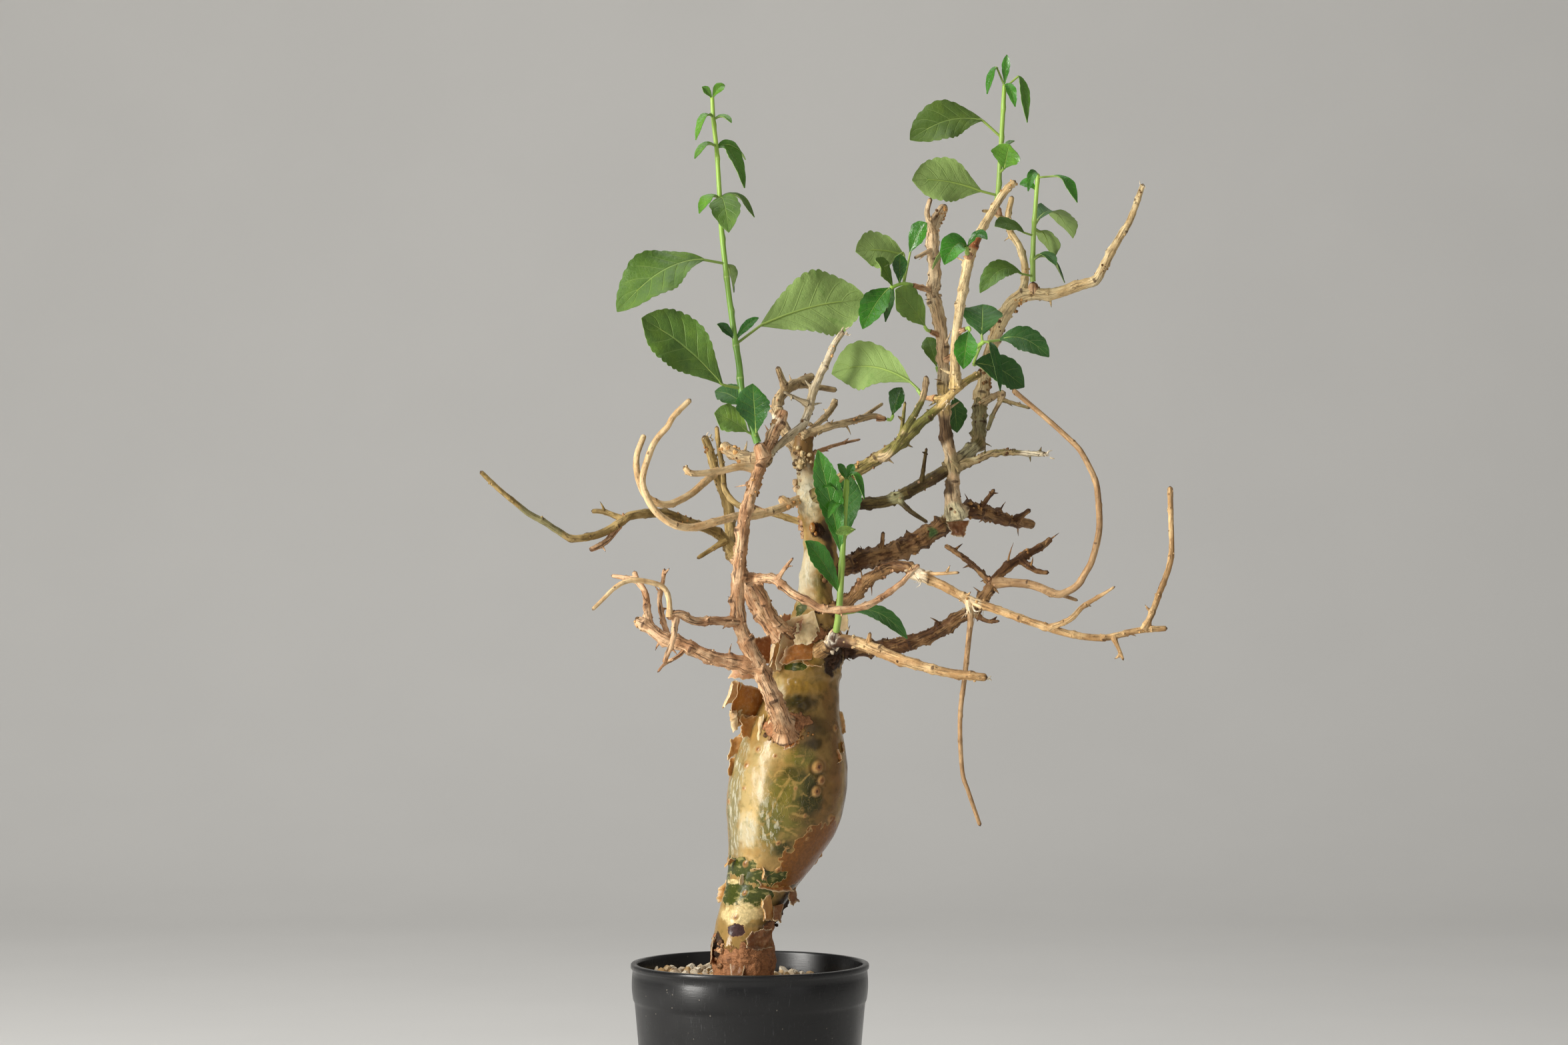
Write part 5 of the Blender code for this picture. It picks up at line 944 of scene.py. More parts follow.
def smooth_route(points, radii, step):
    """Points, radii and lengths along a smooth line through the points, evenly apart."""
    given = np.array([tuple(point) for point in points])
    count = len(given)
    ends = np.vstack((2 * given[0] - given[1], given, 2 * given[-1] - given[-2]))
    places, reads = [], []
    for k in range(count - 1):
        a, b, c, d = ends[k:k + 4]
        for share in np.linspace(0, 1, 12, endpoint=(k == count - 2)):
            curve = 0.5 * (2 * b + (c - a) * share + (2 * a - 5 * b + 4 * c - d) * share ** 2
                           + (3 * b - a - 3 * c + d) * share ** 3)
            places.append(curve)
            reads.append(k + share)
    places = np.array(places)
    run = np.concatenate(([0.0], np.cumsum(np.linalg.norm(np.diff(places, axis=0), axis=1))))
    along = np.linspace(0, run[-1], max(4, int(run[-1] / step) + 1))
    route = np.stack([np.interp(along, run, places[:, axis]) for axis in range(3)], axis=1)
    read_at = np.interp(along, run, reads) / (count - 1) * (len(radii) - 1)
    thick = np.interp(read_at, range(len(radii)), radii) * MM
    return route, thick, along


def route_frames(route):
    """Two directions across the route at each of its points, without twist."""
    ahead = np.gradient(route, axis=0)
    ahead /= np.linalg.norm(ahead, axis=1)[:, None]
    side = np.cross(ahead[0], (0.0, 0.0, 1.0))
    if np.linalg.norm(side) < 0.1:
        side = np.cross(ahead[0], (1.0, 0.0, 0.0))
    sides = []
    for direction in ahead:
        side = side - direction * side.dot(direction)
        side /= np.linalg.norm(side)
        sides.append(side)
    sides = np.array(sides)
    return ahead, sides, np.cross(ahead, sides)


def ring_points(route, radius, columns):
    """Rings of points round the route; radius is one a ring or one a point."""
    _, first, second = route_frames(route)
    angles = 2 * np.pi * np.arange(columns) / columns
    radius = np.asarray(radius)
    if radius.ndim == 1:
        radius = radius[:, None]
    out = first[:, None] * np.cos(angles)[None, :, None] + second[:, None] * np.sin(angles)[None, :, None]
    return route[:, None] + out * radius[..., None], angles


def rough_field(rings, scale, seed):
    """A soft random height, -1 to 1, at each point of the rings."""
    shift = Vector((seed * 3.7, seed * 1.3, seed * 7.1))
    flat = rings.reshape(-1, 3) * (1 / (scale * MM))
    values = [noise.noise(Vector(point) + shift) for point in flat]
    return np.array(values).reshape(rings.shape[:2])


def round_end(along, thick, length_share=1.0):
    """Radius factor that rounds off the last stretch of a twig."""
    left = (along[-1] - along) / (thick[-1] * length_share + 1e-9)
    return np.sqrt(np.clip(1 - (1 - np.clip(left, 0.0, 1.0)) ** 2, 0.03, 1.0))


TWIG_LOOKS = {
    # Bark colour, paler colour, strength of the lumps, spacing of the nodes in mm
    "red": ((178, 134, 96), (220, 182, 142), 1.0, 9.0),
    "young": ((198, 162, 114), (222, 194, 148), 0.22, 17.0),
    "olive": ((132, 110, 64), (180, 154, 100), 0.5, 13.0),
    "rough": ((98, 66, 38), (158, 122, 80), 1.25, 6.5),
    "pinkish": ((192, 162, 124), (224, 200, 162), 0.9, 9.0),
    "cream": ((196, 168, 120), (222, 200, 154), 0.6, 11.0),
    "mottled": ((156, 136, 98), (114, 104, 62), 1.1, 7.0),
    "grey": ((160, 136, 100), (206, 182, 140), 0.75, 9.0),
    "green": ((112, 100, 50), (176, 154, 102), 0.8, 10.0),
    "moss": ((68, 54, 26), (112, 96, 54), 0.6, 10.0),
    "gold": ((182, 132, 76), (218, 172, 112), 1.0, 8.0),
    "dark": ((50, 32, 18), (84, 56, 34), 1.2, 8.0),
    "arc": ((160, 126, 88), (190, 156, 114), 0.25, 17.0),
    "golden": ((176, 138, 92), (214, 180, 130), 0.6, 10.0),
    "silver": ((186, 168, 134), (216, 202, 172), 0.7, 9.0),
    "torn": ((218, 200, 166), (238, 226, 202), 0.3, 20.0),
}
TWIG_STYLE = {
    "left_loop": "young", "back_riser_arc": "young", "left_bracket_arc": "young", "great_arc": "arc",
    "great_arc_thorn": "arc", "long_right": "golden", "long_right_riser": "golden", "hanging_twig": "arc",
    "pale_low": "golden", "front_crosser": "red", "back_left_arm": "olive", "back_left_arm_high": "olive",
    "back_left_arm_low": "red", "thick_right": "rough", "lower_right": "rough", "cross": "moss",
    "tall_riser": "pinkish", "pale_upright": "cream", "long_riser": "cream", "kinked": "mottled",
    "kinked_low": "mottled", "front_left_tip": "silver", "middle_twig": "grey", "right_diagonal": "green",
    "scarred_stub": "grey", "back_stem": "cream", "kinked_side": "grey", "rough_link": "rough",
    "back_centre": "grey", "neck_back_twig": "olive", "back_riser": "olive", "right_diagonal_riser": "grey",
    "tall_riser_tip": "pinkish", "front_left_twig": "young",
}

# Knobby places on twigs: x, height, length along the twig, number of knobs, largest knob, look
KNOTS = {
    "front_left": ((4, 321, 7, 22, 1.7, "gold"), (-3, 291, 4, 12, 1.3, "red"), (1, 306, 4, 8, 1.0, "red"),
                   (13, 350, 8, 22, 1.9, "rough"), (7, 338, 6, 12, 1.4, "red"), (9, 352, 3, 6, 1.4, "torn"),
                   (-4, 262, 4, 8, 1.2, "red"), (4, 245, 4, 8, 1.2, "red")),
    "scarred_stub": ((-5, 336, 7, 20, 1.9, "gold"), (-11, 339, 4, 12, 1.7, "gold")),
    "front_left_twig": ((-26, 329, 3, 8, 1.1, "grey"), (4, 329, 4, 8, 1.2, "red")),
    "front_left_tip": ((24, 351, 3, 8, 1.1, "rough"), (36, 380, 4, 8, 1.2, "gold")),
    "back_left_arm": ((-31, 309, 7, 16, 1.2, "gold"), (-54, 307, 3, 8, 1.1, "red")),
    "back_left": ((-6, 290, 5, 14, 1.5, "red"), (3, 268, 5, 10, 1.4, "red")),
    "back_riser": ((-13, 322, 4, 8, 1.1, "olive"), (-19, 341, 4, 9, 1.4, "gold")),
    "left_loop": ((19, 314, 6, 18, 1.7, "gold"),),
    "left_stub": ((-17, 249, 4, 8, 1.3, "red"), (-36, 257, 5, 10, 1.2, "red"), (-48, 263, 3, 8, 1.3, "gold")),
    "left_bracket": ((-30, 266, 4, 10, 1.1, "red"), (-16, 264, 4, 6, 1.0, "red")),
    "left_stub_twig": ((-38, 278, 3, 6, 0.8, "grey"),),
    "back_centre": ((14, 358, 6, 12, 1.5, "red"), (27, 372, 4, 8, 1.3, "rough")),
    "middle_twig": ((24, 345, 5, 12, 1.4, "grey"), (47, 351, 3, 8, 1.0, "gold")),
    "right_diagonal": ((38, 323, 6, 16, 1.7, "gold"), (46, 329, 6, 18, 1.7, "gold"), (56, 335, 5, 14, 1.5, "rough"),
                       (98, 370, 3, 6, 1.0, "cream"), (90, 364, 3, 6, 1.0, "cream")),
    "right_diagonal_riser": ((65, 342, 3, 8, 0.9, "grey"), (73, 356, 3, 6, 0.9, "grey")),
    "pale_upright": ((90, 366, 4, 8, 1.1, "cream"), (97, 424, 4, 8, 1.3, "gold"), (114, 453, 5, 8, 1.0, "gold")),
    "tall_riser": ((82, 409, 6, 18, 1.5, "pinkish"), (85, 444, 6, 20, 1.7, "gold"), (82, 436, 4, 10, 1.3, "red"),
                   (86, 366, 4, 8, 1.1, "pinkish"), (91, 314, 6, 14, 1.6, "rough"), (89, 340, 4, 8, 1.2, "rough")),
    "thick_right": ((62, 293, 9, 28, 2.1, "rough"), (73, 297, 8, 22, 1.9, "gold"), (80, 301, 5, 12, 1.6, "rough"),
                    (97, 312, 6, 20, 1.9, "gold"), (106, 311, 6, 18, 1.8, "rough"), (116, 307, 4, 10, 1.4, "rough"),
                    (45, 288, 8, 18, 1.9, "dark"), (92, 310, 3, 6, 1.3, "torn")),
    "cross": ((66, 318, 4, 8, 1.2, "grey"), (76, 323, 4, 8, 1.3, "red"), (45, 314, 6, 12, 1.4, "moss")),
    "kinked": ((102, 342, 4, 10, 1.5, "mottled"), (104, 360, 5, 14, 1.6, "red"), (93, 334, 5, 12, 1.5, "grey")),
    "kinked_low": ((101, 334, 4, 8, 1.3, "rough"), (115, 337, 4, 8, 1.3, "rough")),
    "long_riser": ((105, 370, 6, 16, 1.7, "rough"), (112, 394, 5, 12, 1.5, "rough"), (122, 407, 5, 16, 1.7, "gold"),
                   (128, 409, 4, 10, 1.3, "cream"), (158, 420, 4, 8, 1.0, "rough"), (173, 452, 4, 8, 0.9, "rough")),
    "lower_right": ((40, 250, 10, 30, 2.3, "dark"), (55, 250, 9, 22, 1.9, "rough"), (70, 253, 8, 18, 1.7, "rough"),
                    (84, 259, 7, 16, 1.6, "rough"), (98, 268, 6, 12, 1.4, "rough"), (107, 280, 6, 18, 1.5, "red"),
                    (121, 292, 5, 12, 1.3, "gold")),
    "rough_link": ((40, 270, 6, 16, 1.8, "rough"), (50, 280, 6, 16, 1.7, "red"), (60, 286, 6, 18, 1.8, "red"),
                   (71, 285, 4, 14, 1.5, "torn")),
    "long_right": ((94, 273, 4, 10, 1.0, "gold"), (72, 284, 3, 8, 1.1, "torn"), (128, 261, 3, 6, 0.8, "gold"),
                   (168, 260, 3, 6, 0.8, "gold")),
    "pale_low": ((36, 254, 4, 14, 1.8, "torn"), (46, 254, 4, 8, 1.2, "cream"), (52, 252, 4, 8, 1.1, "cream"),
                 (80, 243, 3, 6, 0.9, "gold")),
    "front_crosser": ((32, 269, 3, 8, 1.1, "red"), (4, 282, 3, 8, 1.1, "red"), (68, 283, 3, 6, 1.0, "gold")),
    "back_stem": ((118, 440, 5, 12, 1.0, "cream"), (124, 421, 4, 6, 1.0, "gold")),
}

# Patches of another colour on the twigs: x, height, radius, colour
TWIG_PATCHES = (
    (91, 309, 6, (208, 198, 160)), (81, 301.5, 2.8, (84, 112, 62)), (65, 317, 4, (180, 176, 130)),
    (91, 332, 5, (172, 154, 114)), (98, 339, 5, (188, 180, 140)), (125, 335.5, 8, (206, 194, 166)),
    (9, 351, 4, (226, 208, 178)), (73, 349, 10, (104, 102, 48)), (87, 362, 8, (198, 170, 112)),
    (85, 322, 6, (82, 64, 42)), (86, 346, 7, (96, 74, 50)), (66, 341, 8, (118, 112, 58)), (36, 255, 4, (222, 214, 196)),
    (73, 283, 4, (226, 208, 176)), (98, 428, 3.5, (150, 90, 52)), (95, 271, 4, (214, 190, 150)),
    (104, 352, 8, (140, 132, 96)), (-90, 308, 14, (128, 122, 84)), (40, 250, 8, (70, 46, 30)),
)

# Torn strands: origin, the way they hang, how wide they spread, number, length
STRANDS = (
    ((73.5, -28.5, 283.5), (0.5, -0.2, -1), 0.9, 16, 6.5), ((94.3, -36, 271), (0.1, -0.3, -1), 0.35, 12, 8.0),
    ((41, -8, 390), (0.5, -0.2, 1), 0.8, 5, 2.5), ((130, -3, 336), (1, 0, 0.1), 0.3, 5, 3.0),
    ((101, -45.5, 240), (1, 0, -0.1), 0.4, 5, 2.5), ((86, -22, 359), (-0.6, -0.4, -0.6), 0.4, 7, 6.0),
    ((175, 14, 456), (0.2, 0, 1), 0.3, 4, 2.0), ((-18.5, 23, 344), (-0.2, 0, 1), 0.9, 7, 4.0),
)

# Knobs on the trunk: x, height, spread both ways, number, largest knob, look
COLLARS = (
    (15.5, 217, 5.0, 4.0, 80, 2.6, "red"), (11, 214, 3.0, 3.0, 26, 2.0, "rough"), (20, 213, 3.2, 2.6, 26, 2.0, "gold"),
    (15, 221, 4, 2.5, 20, 2.2, "gold"), (36, 248, 3.2, 5.0, 60, 2.5, "dark"), (33, 256, 3.0, 4.0, 26, 2.1, "rough"),
    (20, 323, 2.6, 3.0, 20, 2.1, "pinkish"), (19, 305, 1.8, 6.0, 24, 1.7, "red"), (23, 333, 3.2, 5.0, 30, 2.1, "cream"),
    (24, 345, 2.6, 4.0, 26, 1.9, "grey"), (33.5, 284, 1.8, 4.0, 20, 2.0, "rough"), (-14, 118, 2.5, 4.0, 18, 1.9, "red"),
    (15, 134, 2.0, 4.0, 16, 1.6, "dark"), (26, 259, 4.0, 2.0, 20, 1.6, "rough"), (31, 266, 2.0, 3.0, 12, 1.6, "dark"),
)


def trunk_profile(heights):
    """Middle and radius of the trunk at each height, in mm."""
    given = np.array(TRUNK)
    fine = np.arange(given[0, 0], given[-1, 0] + 0.25, 0.25)
    weight = np.exp(-0.5 * (np.arange(-24, 25) * 0.25 / 1.8) ** 2)
    weight /= weight.sum()
    read = []
    for column in (1, 2):
        line = np.interp(fine, given[:, 0], given[:, column])
        padded = np.concatenate((np.full(24, line[0]), line, np.full(24, line[-1])))
        read.append(np.interp(heights, fine, np.convolve(padded, weight, "valid")))
    return read


def trunk_surface(height, angle, stand_off):
    middle, radius = (float(value[0]) for value in trunk_profile(np.array([height])))
    reach = radius + stand_off
    return np.array(((middle + reach * math.cos(angle)) * MM, reach * math.sin(angle) * MM, height * MM))


def front_angle(x, height):
    """Direction, in degrees, of the point of the trunk's front that is seen at x."""
    middle, radius = (float(value[0]) for value in trunk_profile(np.array([height])))
    return -math.degrees(math.acos(max(-1.0, min(1.0, (x - middle) / radius))))

# Soft colours of the trunk's bark. The tan, pink, rust and umber tones are darkened with painted shade of the trunk's
# right side; the umber tone is also the real dark brown of scars and stains. The shade tone is a painted shadow.
SKIN_TONES = {
    "cream": (186, 162, 108), "gold": (150, 120, 68), "tan": (120, 88, 46), "olive": (104, 98, 38),
    "green": (50, 50, 14), "silver": (140, 130, 92), "orange": (116, 74, 32), "rust": (80, 48, 20),
    "umber_and_shade": (38, 24, 10), "frost": (200, 188, 156), "moss": (86, 88, 38), "ochre": (136, 106, 40),
    "pink": (122, 88, 50), "shade": (60, 48, 18),
}

# Patches of soft colour on the front, one over the other: tone, x, height, half width, half height, strength. The shade
# patches are painted shadows under and beside the collar and under the ochre band. The tan, pink and rust patches at
# the right edge carry painted shade.
FRONT_TONES = (
    ("cream", 1, 184, 9, 30, 0.85), ("silver", -7.5, 184, 6.5, 32, 0.95), ("moss", -9.5, 176, 2.2, 26, 0.6),
    ("frost", -1, 172, 6, 9, 0.7), ("cream", 9, 205, 10, 5, 0.6), ("tan", 31, 185, 13, 34, 0.85),
    ("pink", 38, 200, 5, 24, 0.85), ("rust", 40, 170, 6, 22, 0.85), ("orange", 24, 156, 14, 8, 0.8),
    ("olive", 17, 184, 13, 20, 0.92), ("green", 27, 186, 7, 13, 0.92), ("olive", 23, 204, 9, 6, 0.85),
    ("shade", 28.5, 209.5, 5, 3.2, 0.9), ("green", 14.6, 164.5, 5.5, 4.2, 0.95), ("moss", 9, 174, 6, 12, 0.75),
    ("green", 19, 197, 7, 4, 0.75), ("tan", 22, 178, 6, 2.5, 0.5), ("gold", 33, 205, 5, 3, 0.6),
    ("gold", 5, 214, 6, 4, 0.5), ("pink", 26, 218, 5, 4, 0.6), ("shade", 31, 217, 8, 6, 0.6),
    ("tan", 36, 226, 7, 14, 0.8), ("ochre", 24, 234.5, 11, 4.5, 0.85), ("cream", 12, 234, 5, 5, 0.8),
    ("shade", 23, 227, 8, 5, 0.9), ("green", 18.5, 228, 3.5, 3.5, 0.5), ("frost", 12, 228.5, 4.0, 6, 0.95),
    ("ochre", 28, 244.5, 5, 3.5, 0.9), ("cream", -3, 136, 13, 8, 0.9), ("rust", 10, 128, 10, 7, 0.8),
    # The umber patches at heights 138 and 150 are painted shade around the torn flaps; the one at 249 is the real dark
    # scar.
    ("umber_and_shade", 14, 138, 8, 12, 0.95), ("umber_and_shade", 22, 150, 9, 5, 0.7), ("umber_and_shade", 36, 249, 7, 10, 0.95),
    ("tan", 18, 254, 8, 9, 0.85),
    ("frost", 22, 260, 6, 5, 0.7), ("green", 23, 268, 4.5, 3.5, 0.9), ("frost", 23, 284, 8, 13, 0.85),
    ("olive", 31, 281, 3, 9, 0.6), ("cream", 22, 298, 5, 6, 0.8), ("umber_and_shade", 35, 292, 3.0, 14, 0.85),
    ("umber_and_shade", 33, 303, 3.5, 6, 0.8), ("frost", 25, 319, 7, 14, 0.98), ("pink", 20, 316, 3.5, 6, 0.6),
    ("umber_and_shade", 33, 312, 2.5, 5, 0.6), ("pink", 24, 334, 7, 8, 0.7), ("frost", 20, 330, 5, 5, 0.8),
    ("tan", 24, 345, 8, 8, 0.8),
)

# The same for the sides and back: tone, direction in degrees, height, half width, half height, strength
BACK_TONES = (
    ("silver", 160, 184, 12, 30, 0.8), ("cream", 120, 176, 14, 30, 0.7), ("olive", 95, 184, 13, 18, 0.85),
    ("green", 70, 194, 9, 10, 0.8), ("orange", 35, 174, 16, 26, 0.8), ("rust", 5, 184, 10, 30, 0.8),
    ("gold", 130, 206, 12, 10, 0.7), ("olive", 60, 214, 10, 10, 0.7), ("frost", 100, 224, 9, 10, 0.6),
    ("tan", 20, 226, 10, 14, 0.7), ("cream", 120, 136, 18, 8, 0.8), ("umber_and_shade", 30, 136, 10, 10, 0.8),
    ("tan", 100, 252, 12, 12, 0.8), ("umber_and_shade", 30, 252, 8, 9, 0.8), ("frost", 90, 292, 8, 18, 0.8),
    ("moss", 120, 304, 5, 7, 0.7), ("frost", 80, 320, 6, 12, 0.8), ("tan", 80, 345, 8, 8, 0.8),
)


# Patches with a torn edge: field, x, height, half width, half height
FRONT_PATCHES = (
    ("amber", 28, 161, 15, 14), ("amber", 20, 153, 12, 7), ("amber", 40, 163, 10, 13),
    ("bare", -6, 155, 11, 4.6), ("bare", 6, 151.5, 11, 3.2), ("bare", -6, 143.5, 11, 6.0), ("bare", 3, 142, 7, 6),
    ("bare", -10, 149, 4, 3), ("bare", 23, 268, 3.6, 3.4), ("bare", 19, 243, 6.5, 1.8),
    ("cream", -3, 135, 11, 4.5), ("cream", -8, 148.6, 5, 1.2), ("purple", -6.5, 127, 4, 2.4),
    ("papery", -3, 106, 20, 15), ("papery", 9, 122, 8, 10), ("scar", 15, 136, 5, 8), ("scar", 36, 249, 6, 9),
    ("scar", -14, 121, 3, 5), ("papery", 16, 217, 9, 6), ("papery", 24, 257, 9, 4), ("scar", 29.5, 303, 3, 3),
    ("papery", 24, 349, 9, 5),
)
# The same for the sides and back: field, direction in degrees, height, half width, half height
BACK_PATCHES = (
    ("bare", 165, 152, 9, 5), ("bare", 120, 146, 12, 5), ("bare", 80, 152, 9, 4), ("cream", 110, 134, 12, 5),
    ("papery", 90, 106, 26, 15), ("papery", 0, 118, 12, 12), ("papery", 180, 112, 10, 12), ("scar", 40, 136, 6, 8),
    ("scar", 40, 250, 7, 8), ("bare", 100, 196, 4, 3), ("papery", 100, 258, 9, 5), ("purple", 140, 126, 4, 3),
    ("papery", 80, 349, 9, 5),
)
# Buds on the trunk: x, height, radius
BUDS = (
    (3.8, 207.2, 1.6), (11.2, 204.5, 1.1), (-1.5, 200.1, 1.5), (-2.3, 190.1, 1.1), (30, 199.6, 2.7),
    (31.4, 193.7, 2.0), (29.2, 189.0, 2.4), (35.2, 176.9, 1.7), (24.2, 178.5, 1.0), (37.3, 216, 1.6),
    (40.8, 207.7, 1.6), (-9.4, 183.6, 1.4), (-11.5, 157.5, 1.3), (-1.8, 156.8, 1.6), (12.6, 154.4, 1.4),
    (25.2, 168.1, 0.9), (-6.0, 133.2, 1.3), (-2, 144, 1.2), (12.5, 166.5, 1.2), (20, 190.5, 0.9),
)
BACK_BUDS = (
    (100, 205, 1.5), (70, 190, 1.4), (130, 196, 1.3), (150, 176, 1.4), (45, 200, 1.5), (85, 170, 1.2),
    (110, 160, 1.2), (20, 182, 1.3), (60, 150, 1.1), (90, 222, 1.4),
)

# Tan strokes under the film on the front: half width, then the points x, height along the stroke
STROKES = (
    (0.75, (17.5, 195), (15.4, 191.4), (13.3, 187.9), (11.5, 184.4), (10, 181.3), (8.3, 178.3), (6.8, 176.8)),
    (0.5, (11.6, 193.9), (10.9, 196.3), (12.6, 198.1), (15.1, 198.1), (17.3, 195.8)),
    (0.5, (7.2, 199.8), (8.9, 195.8), (11.3, 192.5), (14, 191.1), (16.2, 193.1)),
    (0.55, (17.5, 195), (19.5, 193.3), (22.2, 192.5), (24.1, 194.7), (26.3, 196.5)),
    (1.1, (18.9, 193.3), (20.2, 191.1), (19.8, 188.2), (19.1, 185.5)),
    (0.45, (1.5, 199.8), (4.3, 200.5), (7.5, 199.8)), (0.4, (5, 196.3), (6.1, 192), (8.1, 189.3), (10.2, 188.2)),
    (0.5, (23.3, 188.2), (26, 186.5), (28.7, 188.2)), (0.5, (15.7, 182.2), (18.4, 183.1), (21.2, 182.4)),
    (0.9, (18.8, 179.6), (22, 178.4), (25.7, 178.1)),
    (0.8, (10.2, 176.2), (13.5, 174.1), (17.3, 171.9), (20.6, 169.7)),
    (0.45, (3.2, 178.7), (6.4, 180), (9.4, 178.7)), (0.5, (5.3, 170.8), (7, 169.7), (9.4, 170.8)),
    (1.0, (10.8, 167), (13.5, 166.5), (15.1, 167.2)), (0.4, (0.5, 196.3), (1.5, 192), (3.2, 186.5)),
    (0.5, (22.7, 201.2), (23.8, 202.8), (24.6, 207.2)),
)


def turned_apart(first, second):
    """Angle between two directions, in radians, from -pi to pi."""
    return (first - second + np.pi) % (2 * np.pi) - np.pi


def from_line(x, z, points):
    """Distance from each place to a line through points."""
    near = np.full(np.broadcast(x, z).shape, 99.0)
    for (ax, az), (bx, bz) in zip(points, points[1:]):
        share = np.clip(((x - ax) * (bx - ax) + (z - az) * (bz - az)) / ((bx - ax) ** 2 + (bz - az) ** 2), 0, 1)
        near = np.minimum(near, np.hypot(x - ax - share * (bx - ax), z - az - share * (bz - az)))
    return near


def twig_roots():
    """Where woody twigs leave the trunk: direction, height and radius."""
    roots = []
    for radii, points in WOOD.values():
        x, y, z = points[0]
        middle, radius = (float(value[0]) for value in trunk_profile(np.array([min(z, 345)])))
        if math.hypot(x - middle, y * CROWN_DEPTH) > radius * 1.15 or z > 345:
            continue
        ahead = Vector(points[1]) - Vector(points[0])
        turn = math.atan2(ahead.y * CROWN_DEPTH, ahead.x)
        roots.append((turn, z + ahead.z * min(1.0, radius / max(1.0, math.hypot(ahead.x, ahead.y))), radii[0]))
    return roots


